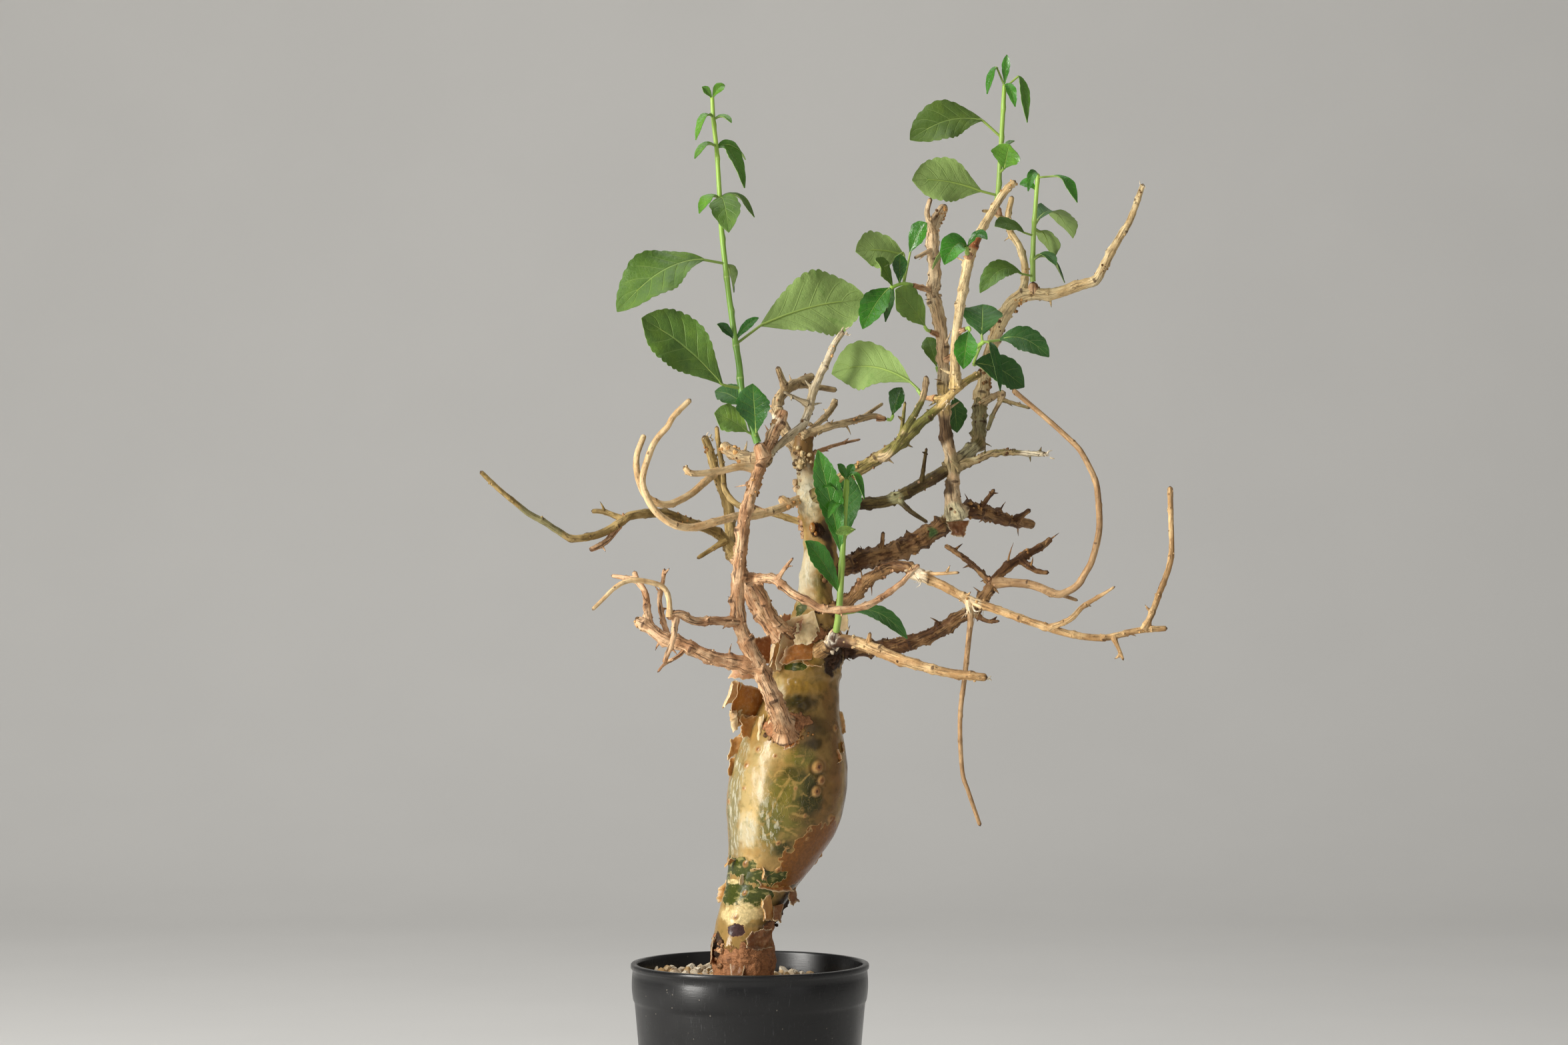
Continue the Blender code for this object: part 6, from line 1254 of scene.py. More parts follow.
def make_trunk_skin(wood):
    """The trunk's skin as a fine grid, with its lumps, buds and collars, and the fields of its bark."""
    heights = np.concatenate((np.array((TRUNK[0][0], 74, 86)), np.arange(95, TRUNK[-1][0], wood.row / MM),
                              (TRUNK[-1][0],)))
    middle, radius = trunk_profile(heights)
    columns = wood.columns
    angles = 2 * np.pi * np.arange(columns) / columns
    z = heights[:, None]
    out = np.stack((np.cos(angles), np.sin(angles)), axis=-1)

    def soft(around, up, seed):
        values = [[noise.noise(Vector((c * around + seed, s * around, h / up + seed))) for c, s in out]
                  for h in heights]
        return np.array(values)

    def at_size(size, seed):
        """Noise of a real size on the surface."""
        values = [[noise.noise(Vector(((m + r * c) / size + seed, r * s / size, h / size))) for c, s in out]
                  for m, r, h in zip(middle, radius, heights)]
        return np.array(values)

    def gap_from(turn, h, w, t):
        return np.hypot(turned_apart(angles[None], turn) * radius[:, None] / w, (z - h) / t)

    above = (heights > 108)[:, None]
    lumps = soft(1.3, 22, 0.0)
    medium, small = at_size(5.5, 3.0), at_size(2.1, 9.0)
    fields = {name: np.full((len(heights), columns), -1.2) for name, *_ in LAYERS}
    patches = [(name, math.radians(front_angle(x, h)), h, w, t) for name, x, h, w, t in FRONT_PATCHES]
    patches += [(name, math.radians(turn), h, w, t) for name, turn, h, w, t in BACK_PATCHES]
    warp = 0.25 * medium + 0.2 * small
    for name, turn, h, w, t in patches:
        fields[name] = np.maximum(fields[name], 0.75 * (1 - gap_from(turn, h, w, t) + warp))
    skin = np.broadcast_to(np.array(srgb(*SKIN_TONES["gold"])), (len(heights), columns, 3)).copy()
    tones = [(name, math.radians(front_angle(x, h)), h, w, t, k) for name, x, h, w, t, k in FRONT_TONES]
    tones += [(name, math.radians(turn), h, w, t, k) for name, turn, h, w, t, k in BACK_TONES]
    web = np.zeros((len(heights), columns))
    frosted = np.zeros_like(web)
    for name, turn, h, w, t, strength in tones:
        cover = strength * ease((1.2 - gap_from(turn, h, w, t) + 1.1 * warp) / 0.75)
        skin += (np.array(srgb(*SKIN_TONES[name])) - skin) * cover[..., None]
        if name in ("olive", "green", "moss"):
            web = np.maximum(web, cover)
        if name in ("silver", "frost", "moss"):
            frosted = np.maximum(frosted, cover)
    strokes = np.full_like(web, -1.0)
    seen = middle[:, None] + radius[:, None] * out[None, :, 0]
    for wide, *points in STROKES:
        near = from_line(seen, z, points)
        strokes = np.maximum(strokes, 1 - near / (1.3 * wide + 0.5))
    strokes[:, out[:, 1] > 0] = -1.0
    relief_mm = wood.relief / MM
    rugged = ease(fields["papery"] + 0.5) + ease(fields["scar"] + 0.5)
    reach = radius[:, None] * (1 + 0.035 * lumps * above) + medium * relief_mm * (0.9 + rugged)
    reach = reach + small * relief_mm * (0.15 + 0.3 * rugged + 0.6 * ease(fields["scar"] + 0.5))
    wrinkle = at_size(3.0, 5.0)
    reach = reach + np.sin((z + wrinkle * 4) * 1.5) * np.clip((132 - z) / 20, 0, 1) * 0.14
    plates = np.abs(at_size(4.5, 51.0))
    reach = reach + 0.4 * ease(plates / 0.16) * ease(fields["papery"] + 0.3) * (z > 108)
    reach = reach + np.abs(at_size(7.0, 21.0)) * np.clip((262 - np.abs(z - 250) * 8 - 150) / 100, 0, 1) * 1.2
    for ring_height, thick in ((238.5, 0.7), (256.0, 0.5), (264.5, 0.6), (283.0, 0.5), (297.0, 0.5), (311.0, 0.5)):
        reach = reach + thick * np.exp(-((z + 1.2 * medium - ring_height) / 1.6) ** 2)
    bud_field = np.zeros_like(reach)
    buds = [(math.radians(front_angle(x, h)), h, size) for x, h, size in BUDS]
    buds += [(math.radians(turn), h, size) for turn, h, size in BACK_BUDS]
    for turn, h, size in buds:
        gap = gap_from(turn, h, size, size)
        reach = reach + size * (0.5 * np.exp(-(gap / 0.8) ** 4) - 0.3 * np.exp(-(gap / 0.3) ** 2)
                                - 0.12 * np.exp(-((gap - 1.25) / 0.3) ** 2) + 0.12 * np.exp(-((gap - 1.7) / 0.35) ** 2))
        bud_field = np.maximum(bud_field, 1 - gap / 1.5)
    for turn, h, size in twig_roots():
        gap = gap_from(turn, h, size * 1.5 + 1.2, (size * 1.5 + 1.2) / 0.8)
        reach = reach + 0.75 * size * np.exp(-gap ** 2) * (1 + 0.5 * small)
    collar = gap_from(math.radians(front_angle(16, 217)), 217.0, 8.0, 6.4)
    knobs = np.clip(1 + 1.7 * at_size(2.2, 33.0) + 0.9 * at_size(1.2, 13.0), 0.15, 2.4)
    reach = reach + 2.2 * ease(1.3 - collar) * knobs + 0.9 * ease(fields["scar"] + 0.2) * knobs
    rings = np.empty(reach.shape + (3,))
    rings[..., 0] = (middle[:, None] + reach * np.cos(angles)) * MM
    rings[..., 1] = reach * np.sin(angles) * MM
    rings[..., 2] = z * MM
    shell = Shell({"bud": 1, "skin": 4, "web": 1, "strokes": 1, "frosted": 1, "matt": 1,
                   **{name: 1 for name in fields}})
    matt = np.clip((z - 250) / 20, 0, 1) * np.ones_like(reach)
    shell.loft(rings, bud=bud_field, skin=np.concatenate((skin, np.ones(skin.shape[:2] + (1,))), axis=-1), web=web,
               strokes=strokes, frosted=frosted, matt=matt, **fields)
    return shell.build("trunk_skin", [trunk_finish()], "trunk", "bark")


# Loose sheets at the sides and back: direction of the fixed edge in degrees, lower and upper end, width (to
# the left if negative), how far it hugs the trunk and then curls off in degrees, colour
SHEETS = (
    (-38, 200, 208, 5, 16, 100, "orange"), (60, 204, 222, 11, 20, 120, "gold"), (100, 172, 198, 12, 22, 110, "orange"),
    (150, 200, 216, 9, 14, 130, "gold"), (80, 236, 256, 9, 26, 60, "gold"), (40, 150, 166, -9, 20, 90, "orange"),
    (90, 128, 144, 8, 20, 110, "brown"), (-5, 212, 224, 5, 16, 60, "gold"), (140, 136, 150, 9, 20, 110, "gold"),
    (120, 112, 124, -8, 14, 80, "brown"), (20, 118, 132, 7, 16, 90, "brown"), (170, 244, 256, 6, 20, 60, "pale"),
    (60, 246, 260, -7, 20, 90, "pale"), (30, 172, 184, 6, 16, 110, "orange"), (110, 212, 232, -10, 20, 130, "gold"),
)

# Loose flaps on the front: the rooted edge's two ends, the free edge's two ends, arch and curl in degrees,
# depth of the rips, colour
FLAPS = (
    ((5.5, -5, 219), (6, -5, 232), (-14, -14, 222), (-9, -11, 238), 18, 90, 0.08, "glass"),
    ((-6.5, -12.4, 227), (-3, -12, 236), (-14.2, -14.5, 224), (-9.5, -12.5, 238.3), 8, 150, 0.1, "pale"),
    ((-1, -9, 219), (0, -8, 227), (-13, -15, 210), (-16, -13, 221.5), 26, 240, 0.1, "pale"),
    ((4.5, -10, 209.5), (6, -9, 222), (-5, -15, 211), (-6, -12, 223), 12, 60, 0.16, "gold"),
    ((7, -14, 210), (8, -13, 223), (0.5, -18.5, 209), (1.5, -17.5, 221), 10, 200, 0.12, "pale"),
    ((-1.5, -6, 204), (-0.5, -7, 213), (-10.5, -8, 201.5), (-9, -7, 212), 14, 60, 0.15, "gold"),
    ((-5, -4.5, 194.5), (-4, -5.5, 204), (-10.6, -6.6, 194), (-10.2, -6, 203), 10, 80, 0.16, "gold"),
    ((3, -6, 237), (4, -6, 247), (-12, -10, 237), (-7, -9, 246), 14, -70, 0.14, "pink"),
    ((8.5, -2, 243), (9.5, -2, 257), (2, -6, 244), (1, -7, 257), 8, 30, 0.14, "brown"),
    ((13, -9, 240), (14, -8, 254), (5, -13, 241), (6.5, -14, 254), 20, 130, 0.10, "pale"),
    ((17, -10, 257), (18, -8, 266), (9, -17, 250), (10, -14, 266), 14, 110, 0.15, "pink"),
    ((32, -12.5, 254), (28, -10, 268), (10.5, -15, 240), (13, -12, 263), -14, 24, 0.10, "pale"),
    ((27, -14.8, 246), (29, -12.6, 254), (13, -16, 243), (16, -14.6, 253), 10, 30, 0.14, "orange"),
    ((20, -13, 262), (30, -11, 261), (17, -16.6, 252), (29, -15, 252.5), 12, 40, 0.14, "pale"),
    ((2, -16.4, 151.5), (20, -7, 153), (3, -19, 145.5), (18.5, -10.5, 142.5), 14, 60, 0.12, "orange"),
    ((9, -14.5, 145), (11, -12.5, 131), (3.5, -17.5, 144), (3, -16.5, 130), 14, 120, 0.2, "gold"),
    ((8, -16.2, 149.5), (8.5, -16.8, 156.5), (3.8, -19, 149), (4.4, -19, 157.5), 10, 140, 0.18, "gold"),
    ((-2, -13.5, 147.5), (-2, -14, 153), (-5.5, -15.5, 147.5), (-5, -15.5, 152.5), 10, 90, 0.18, "pale"),
    ((16, -7.5, 146), (20, -3, 146.5), (17, -11, 138), (21.5, -5, 139), 10, 40, 0.2, "brown"),
    ((-13.5, -5, 112), (-13, -4, 127), (-20, -9, 111), (-18.5, -7, 123), 16, 110, 0.16, "brown"),
    ((-9, -12, 113), (-1.5, -13.2, 114), (-8, -15.5, 103), (-3, -16, 103), 8, 24, 0.12, "brown"),
    ((10, -9.5, 119), (9.5, -10.5, 129), (-2.5, -15, 118.5), (-1.5, -15, 128), 12, 50, 0.2, "brown"),
    ((13, -24.2, 213), (22, -24, 213.5), (14.5, -28.4, 205.5), (20, -27.6, 208.5), 12, 50, 0.2, "orange"),
    ((38, -7, 257), (38, -7, 267), (44.5, -9, 258), (43, -8, 268), 10, 60, 0.15, "pale"),
    ((37.5, -7, 203.5), (37.5, -7, 210.5), (42.5, -9, 204.5), (42.5, -8, 210.5), 10, 100, 0.18, "gold"),
    ((-9, -8, 156), (-6, -11, 158.5), (-12.5, -10, 155.5), (-9, -13, 160), 8, 100, 0.2, "gold"),
    ((0, -15.5, 156), (6, -17.4, 157), (1, -17.8, 153.5), (5.5, -19, 154), 8, 100, 0.2, "gold"),
    ((10, -13.5, 138), (15, -9.5, 139), (9, -16.5, 131), (13.5, -13, 130), 10, 60, 0.2, "brown"),
    ((20, -12, 262), (24, -12.5, 264), (18, -15, 255), (22.5, -15.5, 256), 8, 60, 0.2, "brown"),
    ((22, -13.6, 246.5), (33, -11, 246), (24, -16.4, 242), (31.5, -13.6, 241), 14, 100, 0.16, "gold"),
    ((87, 18, 306), (98, 20, 307), (89, 16, 299.5), (95.5, 17, 299), 10, 30, 0.14, "brown"),
)
SHEET_TONES = {
    "gold": ((186, 138, 76), (150, 102, 48)), "pale": ((220, 194, 150), (188, 150, 104)),
    "brown": ((136, 90, 54), (96, 62, 36)), "orange": ((164, 106, 48), (122, 74, 34)),
    "pink": ((194, 148, 110), (160, 110, 74)), "glass": ((166, 112, 44), (124, 78, 26)),
}


def sheet_section(width, hug, curl, count):
    """Offsets along the trunk and away from it, and how far out, across one sheet of bark."""
    shares = np.linspace(0, 1, count)
    bend = np.radians(-hug * np.clip(shares / 0.6, 0, 1) + (curl + hug) * ease((shares - 0.35) / 0.65))
    step = abs(width) / (count - 1)
    along = np.concatenate(([0.0], np.cumsum(np.cos(bend[:-1]) * step)))
    away = np.concatenate(([0.0], np.cumsum(np.sin(bend[:-1]) * step)))
    return shares, along, away, bend


def add_sheet(shell, number, turn, low, high, width, hug, curl, look, thickness):
    """A ragged sheet of bark that is rooted along one upright edge and curls off the trunk."""
    draw = random.Random(SEED + number)
    columns = max(10, int(abs(width) / 0.6))
    rows = max(8, int((high - low) / 0.7))
    phase = [draw.uniform(0, 50) for _ in range(4)]
    shares = np.linspace(0, 1, columns)

    def jagged(place, lane, depth):
        coarse = noise.noise(Vector((place * 3.0, phase[lane], 0.0)))
        fine = noise.noise(Vector((place * 11.0, phase[lane], 4.0)))
        return depth * (coarse + 0.5 * fine)

    outer, inner = [], []
    for row in range(rows):
        up = row / (rows - 1)
        here = width * (0.86 + jagged(up, 0, 0.22)) * (0.55 + 0.45 * math.sin(math.pi * min(1, 0.12 + up * 0.85)))
        _, along, away, bend = sheet_section(here, hug, curl + 30 * noise.noise(Vector((up * 2, phase[1], 1))),
                                             columns)
        turned = math.radians(turn) + 0.06 * noise.noise(Vector((up * 4, phase[2], 2)))
        side = 1 if width > 0 else -1
        line_out, line_in = [], []
        for share, reach, lift, angle in zip(shares, along, away, bend):
            trim = 0.5 + (up - 0.5) * (1 - 0.25 * share - abs(jagged(share, 3, 0.3)))
            height = low + (high - low) * trim + (high - low) * 0.06 * jagged(share, 2, 1.0)
            base = trunk_surface(height, turned, -0.5)
            normal = np.array((math.cos(turned), math.sin(turned), 0.0))
            tangent = side * np.array((-math.sin(turned), math.cos(turned), 0.0))
            ripple = 0.35 * noise.noise(Vector((share * 4, up * 5, phase[0])))
            place = base + (tangent * reach + normal * (lift + share * 0.9 + ripple)) * MM
            face = (normal * math.cos(angle) - tangent * math.sin(angle))
            line_out.append(place + face * thickness / 2)
            line_in.append(place - face * thickness / 2)
        outer.append(line_out)
        inner.append(line_in)
    rings = np.concatenate((np.array(outer), np.array(inner)[:, ::-1]), axis=1)
    rim = ease((shares - 0.8) / 0.2)[None] + ease((np.abs(np.linspace(-1, 1, rows)) - 0.82) / 0.18)[:, None]
    rim = np.clip(rim, 0, 1)
    tones = [solid(srgb(*tint)) for tint in SHEET_TONES[look]]
    shell.loft(rings, cap="zip", sheet_tone=tones[0], sheet_shade=tones[1],
               sheet_edge=np.concatenate((rim, rim[:, ::-1]), axis=1))


def add_flap(shell, number, low_root, high_root, low_free, high_free, arch, curl, rip, look, thickness):
    """A ragged sheet between two edges that arches and rolls up towards its free edge."""
    draw = random.Random(SEED * 3 + number)
    roots = [np.array(corner, dtype=float) for corner in (low_root, high_root)]
    frees = [np.array(corner, dtype=float) for corner in (low_free, high_free)]
    tall = np.linalg.norm(roots[1] - roots[0]) * 0.5 + np.linalg.norm(frees[1] - frees[0]) * 0.5
    wide = np.linalg.norm(frees[0] - roots[0]) * 0.5 + np.linalg.norm(frees[1] - roots[1]) * 0.5
    columns, rows = max(12, int(wide / 0.5)), max(10, int(tall / 0.55))
    shares = np.linspace(0, 1, columns)
    phase = [draw.uniform(0, 60) for _ in range(4)]

    def jagged(place, lane):
        return (noise.noise(Vector((place * 2.6, phase[lane], 0.0)))
                + 0.55 * noise.noise(Vector((place * 8.0, phase[lane], 4.0)))
                + 0.3 * noise.noise(Vector((place * 21.0, phase[lane], 8.0))))

    outer, inner = [], []
    for row in range(rows):
        up = row / (rows - 1)
        line_out, line_in = [], []
        for share in shares:
            trim = up + (1 - 2 * up) * rip * (0.4 + share) * (0.6 + jagged(share, 0 if up < 0.5 else 1))
            trim += 0.02 * jagged(share, 3)
            root = roots[0] + (roots[1] - roots[0]) * trim
            free = frees[0] + (frees[1] - frees[0]) * trim
            ahead = free - root
            width = np.linalg.norm(ahead) * (1 + rip * 0.9 * jagged(trim, 2))
            ahead = ahead / np.linalg.norm(ahead)
            edge = frees[1] - frees[0] + roots[1] - roots[0]
            normal = np.cross(ahead, edge)
            normal /= np.linalg.norm(normal)
            if normal[1] > 0:
                normal = -normal
            steps = np.linspace(0, share, 9)
            roll = curl * (1 + 0.25 * noise.noise(Vector((up * 2.2, phase[2], 1))))
            bend = np.radians(arch * np.cos(np.pi * steps) + roll * ease((steps - 0.5) / 0.5))
            reach = np.trapz(np.cos(bend), steps) * width
            lift = np.trapz(np.sin(bend), steps) * width
            here = math.radians(arch * math.cos(math.pi * share) + roll * float(ease((share - 0.5) / 0.5)))
            ripple = 0.55 * noise.noise(Vector((share * 3.2, up * 4.5, phase[0])))
            ripple += 0.2 * noise.noise(Vector((share * 9, up * 11, phase[1])))
            place = root + ahead * reach + normal * (lift + ripple)
            face = normal * math.cos(here) - ahead * math.sin(here)
            line_out.append((place + face * thickness / 2 / MM) * MM)
            line_in.append((place - face * thickness / 2 / MM) * MM)
        outer.append(line_out)
        inner.append(line_in)
    rings = np.concatenate((np.array(outer), np.array(inner)[:, ::-1]), axis=1)
    rim = ease((shares - 0.85) / 0.15)[None] + ease((np.abs(np.linspace(-1, 1, rows)) - 0.86) / 0.14)[:, None]
    rim = np.clip(rim, 0, 1)
    tones = [solid(srgb(*tint)) for tint in SHEET_TONES[look]]
    shell.loft(rings, cap="zip", sheet_tone=tones[0], sheet_shade=tones[1],
               sheet_edge=np.concatenate((rim, rim[:, ::-1]), axis=1))


def add_knob(shell, foot, out, size, draw, colours):
    """A small rough knob that stands on a twig or on the trunk."""
    out = np.array(out) / np.linalg.norm(out)
    side = np.cross(out, (0.31, 0.2, 0.93))
    side /= np.linalg.norm(side)
    other = np.cross(out, side)
    tall = draw.uniform(0.8, 1.7)
    rings = []
    for turn in (0.5, 1.15, 1.75, 2.5):
        ring = []
        for angle in np.arange(7) * 2 * math.pi / 7:
            spread = math.sin(turn) * draw.uniform(0.75, 1.25)
            ring.append(foot + size * MM * (out * (-math.cos(turn) * tall * draw.uniform(0.8, 1.2))
                                            + (side * math.cos(angle) + other * math.sin(angle)) * spread))
        rings.append(ring)
    rings = np.array(rings)
    dark = 0.9 if draw.random() < 0.12 else draw.uniform(0, 0.25)
    shell.loft(rings, scar=dark, grain=rings * 0.6, **colours)


def add_strands(shell, origin, heading, spread, count, reach, number):
    """Torn, pale strands of wood at a break."""
    draw = random.Random(SEED * 17 + number)
    start = crown_point(*origin)
    tone, pale, *_ = TWIG_LOOKS["torn"]
    colours = {"twig_tone": solid(srgb(*tone)), "twig_pale": solid(srgb(*pale)), "rugged": 0.3}
    for _ in range(count):
        ahead = Vector(heading).normalized() + Vector([draw.gauss(0, spread) for _ in range(3)])
        ahead.normalize()
        from_here = start + Vector([draw.gauss(0, 0.9) for _ in range(3)]) * MM
        far = reach * draw.uniform(0.4, 1.0) * MM
        bow = Vector([draw.gauss(0, 0.25) for _ in range(3)]) * far
        points = [from_here, from_here + ahead * far * 0.5 + bow, from_here + ahead * far]
        thick = draw.uniform(0.22, 0.55)
        route, radius, _ = smooth_route(points, (thick, thick * 0.8, thick * 0.25), 0.8 * MM)
        rings, _ = ring_points(route, radius, 5)
        shell.loft(rings, scar=0.0, grain=rings, **colours)


def make_bark_sheets(wood):
    shell = Shell({"sheet_tone": 4, "sheet_shade": 4, "sheet_edge": 1})
    for number, sheet in enumerate(SHEETS):
        add_sheet(shell, number, *sheet, wood.sheet)
    for number, flap in enumerate(FLAPS):
        add_flap(shell, number, *flap, wood.sheet)
    return shell.build("bark_sheets", [sheet_finish()], "trunk", "bark", 50)


def twig_style(name):
    while name and name not in TWIG_STYLE:
        name = name.rpartition("_")[0]
    return TWIG_LOOKS[TWIG_STYLE.get(name, "red")]


def add_twig(shell, name, number, radii, points, wood):
    """One woody twig: a smooth route with lumps, knobs, thorns, a collar at its root and a rounded end."""
    tone, pale, lumpy, spacing = twig_style(name)
    route, thick, along = smooth_route(points, radii, wood.twig_row)
    draw = random.Random(SEED * 31 + number)
    thickest = max(radii)
    columns = 10 if thickest < 1.5 else 14 if thickest < 3 else 18
    angles = 2 * np.pi * np.arange(columns) / columns
    run = along / MM
    flare = 1 + 0.5 * np.exp(-(run / (2.2 * radii[0])) ** 2)
    body = thick * flare * round_end(along, thick)
    rings, _ = ring_points(route, body, columns)
    rough = rough_field(rings, 1.1 + 0.8 * thickest, number)
    fine = rough_field(rings, 1.1, number + 40)
    swell = lumpy * (0.15 * rough + 0.13 * fine)
    scar = np.zeros_like(swell)
    place, side = draw.uniform(3, spacing), draw.uniform(0, 6.28)
    colours = {"twig_tone": solid(srgb(*tone)), "twig_pale": solid(srgb(*pale)), "rugged": min(1.0, lumpy)}
    ahead, first, second = route_frames(route)

    def knobs(k_near, reach, count, largest, look):
        shade = dict(colours)
        if look:
            shade = {"twig_tone": solid(srgb(*TWIG_LOOKS[look][0])), "twig_pale": solid(srgb(*TWIG_LOOKS[look][1])),
                     "rugged": 0.8}
        for _ in range(count):
            k = int(np.clip(k_near + draw.gauss(0, 0.5) * reach * MM / wood.twig_row, 1, len(route) - 2))
            turn = draw.uniform(0, 2 * math.pi)
            out = first[k] * math.cos(turn) + second[k] * math.sin(turn)
            lean = out + ahead[k] * draw.uniform(-0.5, 0.5)
            size = largest * draw.uniform(0.35, 1.0)
            add_knob(shell, route[k] + out * body[k] * draw.uniform(0.85, 1.05), lean, size * 0.62, draw, shade)

    while place < run[-1] - 2:
        wide = 0.6 + 0.3 * thickest
        hump = np.exp(-((run - place) / wide) ** 2)[:, None]
        lobe = np.exp(-(turned_apart(angles, side) / 0.9) ** 2)[None]
        swell = swell + hump * (0.08 + 0.32 * lobe + 0.3 * lumpy * np.abs(fine)) * (0.4 + 0.6 * lumpy)
        groove = np.exp(-((run - place - wide) / 0.35) ** 2)[:, None]
        swell = swell - 0.06 * groove
        scar = np.maximum(scar, np.exp(-((run - place) / (0.5 * wide)) ** 2)[:, None] * lobe ** 2)
        scar = np.maximum(scar, groove * 0.35)
        k = int(np.searchsorted(run, place))
        if lumpy > 0.4:
            knobs(k, 1.5, draw.choice((1, 2, 3)), 0.5 + 0.22 * thickest, None)
        if lumpy > 0.4 and draw.random() < 0.68 * lumpy and place > 2.5 * radii[0]:
            out = first[k] * math.cos(side) + second[k] * math.sin(side)
            lean = draw.uniform(-0.1, 0.9)
            reach = draw.choice((1.8, 2.6, 3.6, 5.4)) * (0.7 + 0.2 * thickest)
            heading = out + ahead[k] * lean
            heading /= np.linalg.norm(heading)
            bow = ahead[k] * draw.uniform(-0.3, 0.5)
            spine = [Vector(route[k] + heading * (0.5 * thick[k] + reach * MM * s) + bow * reach * MM * s * s)
                     for s in (0, 0.35, 0.7, 1)]
            base = draw.uniform(0.4, 0.7)
            thorn, thorn_radius, thorn_run = smooth_route(spine, (base * 1.6, base, base * 0.6, base * 0.14), 0.6 * MM)
            thorn_rings, _ = ring_points(thorn, thorn_radius, 6)
            dark = np.exp(-((thorn_run[-1] - thorn_run) / MM / 0.7) ** 2)[:, None]
            shell.loft(thorn_rings, scar=dark * np.ones(6), grain=thorn_rings, **colours)
        place += spacing * draw.uniform(0.5, 1.35)
        side += 2.4 + draw.uniform(-0.5, 0.5)
    for x, height, reach, count, largest, look in KNOTS.get(name, ()):
        k_near = int(np.argmin(np.hypot(route[:, 0] - x * MM, route[:, 2] - height * MM)))
        knobs(k_near, reach, count, largest, look)
    rings, _ = ring_points(route, body[:, None] * (1 + swell), columns)
    tip = np.exp(-((run[-1] - run) / 0.9) ** 2)[:, None]
    scar = np.maximum(scar, tip * 0.9)
    grain = np.empty(swell.shape + (3,))
    grain[..., 0] = thick[:, None] * np.cos(angles)
    grain[..., 1] = thick[:, None] * np.sin(angles)
    grain[..., 2] = along[:, None] + number * 0.37
    dyed = {}
    for key, factor in (("twig_tone", 1.0), ("twig_pale", 1.2)):
        shade = np.broadcast_to(np.array(colours[key]), swell.shape + (4,)).copy()
        for x, height, wide, tint in TWIG_PATCHES:
            gap = np.hypot(rings[..., 0] / MM - x, rings[..., 2] / MM - height) / wide
            cover = ease((1.1 - gap + 0.5 * rough) / 0.5)[..., None]
            shade += (np.clip(np.array(solid(srgb(*tint))) * (factor, factor, factor, 1), 0, 1) - shade) * cover
        dyed[key] = shade
    shell.loft(rings, scar=scar, grain=grain, rugged=colours["rugged"], **dyed)


def make_twigs(wood):
    """All woody twigs and spurs, in three pieces from left to right."""
    finish = twig_finish()
    routes = [(name, radii, points) for name, (radii, points) in WOOD.items()]
    routes += [(name, (radius * 1.05, radius), (root, tip)) for name, (root, tip, radius) in SPURS.items()]
    shells = {part: Shell({"twig_tone": 4, "twig_pale": 4, "scar": 1, "grain": 3, "rugged": 1})
              for part in ("twigs_left", "twigs_middle", "twigs_right")}
    for number, (name, radii, points) in enumerate(routes):
        middle = points[len(points) // 2][0]
        part = "twigs_left" if middle < 15 else "twigs_middle" if middle < 80 else "twigs_right"
        add_twig(shells[part], name, number, radii, [crown_point(*point) for point in points], wood)
    draw = random.Random(SEED + 5)
    for x, height, wide, tall, count, largest, look in COLLARS:
        tone, pale, *_ = TWIG_LOOKS[look]
        colours = {"twig_tone": solid(srgb(*tone)), "twig_pale": solid(srgb(*pale)), "rugged": 1.0}
        for _ in range(count):
            up = height + draw.gauss(0, 0.55) * tall
            turn = math.radians(front_angle(x + draw.gauss(0, 0.55) * wide, up)) + draw.uniform(-0.08, 0.08)
            out = np.array((math.cos(turn), math.sin(turn), draw.uniform(-0.5, 0.4)))
            size = largest * draw.uniform(0.3, 1.0) * 0.7
            add_knob(shells["twigs_middle"], trunk_surface(up, turn, draw.uniform(-0.4, 1.2)), out, size, draw,
                     colours)
    for number, strands in enumerate(STRANDS):
        add_strands(shells["twigs_right"], *strands, number)
    for part, shell in shells.items():
        shell.build(part, [finish], "trunk", "bark", 75)


# Leaves

LEAF_TONES = {
    "m": (80, 114, 34), "d": (32, 84, 20), "o": (74, 100, 30), "u": (96, 132, 50), "y": (84, 134, 38),
    "g": (40, 88, 24), "b": (56, 120, 28), "q": (112, 146, 62),
}
# One letter a leaf: m mid green, d dark, g deep green, o olive, y young, b bright, q pale; u shows its underside
LEAF_KINDS = {
    "shoot_left": "mmqgdudddmmyyyyyyyy", "shoot_front": "bgbgqbbbbb", "shoot_upper_right": "ouyyybbbb",
    "shoot_right": "ggmgdmbbb", "spray_centre": "ubmdbg", "leaf_centre": "q", "spray_upright": "bdm",
    "leaf_middle": "u", "leaf_twig": "d", "spray_right": "ggdgd", "leaf_front": "b", "leaf_back": "g",
    "leaf_back_left": "m",
}
GLOSSY = ("shoot_front", "leaf_centre", "leaf_front", "leaf_twig", "spray_right")


def blade_profile(share):
    """Half width along a blade as a share of its widest, from its foot at 0 to its tip at 1."""
    return np.sin(np.pi * np.clip(share, 0, 1) ** 1.32) ** 0.82


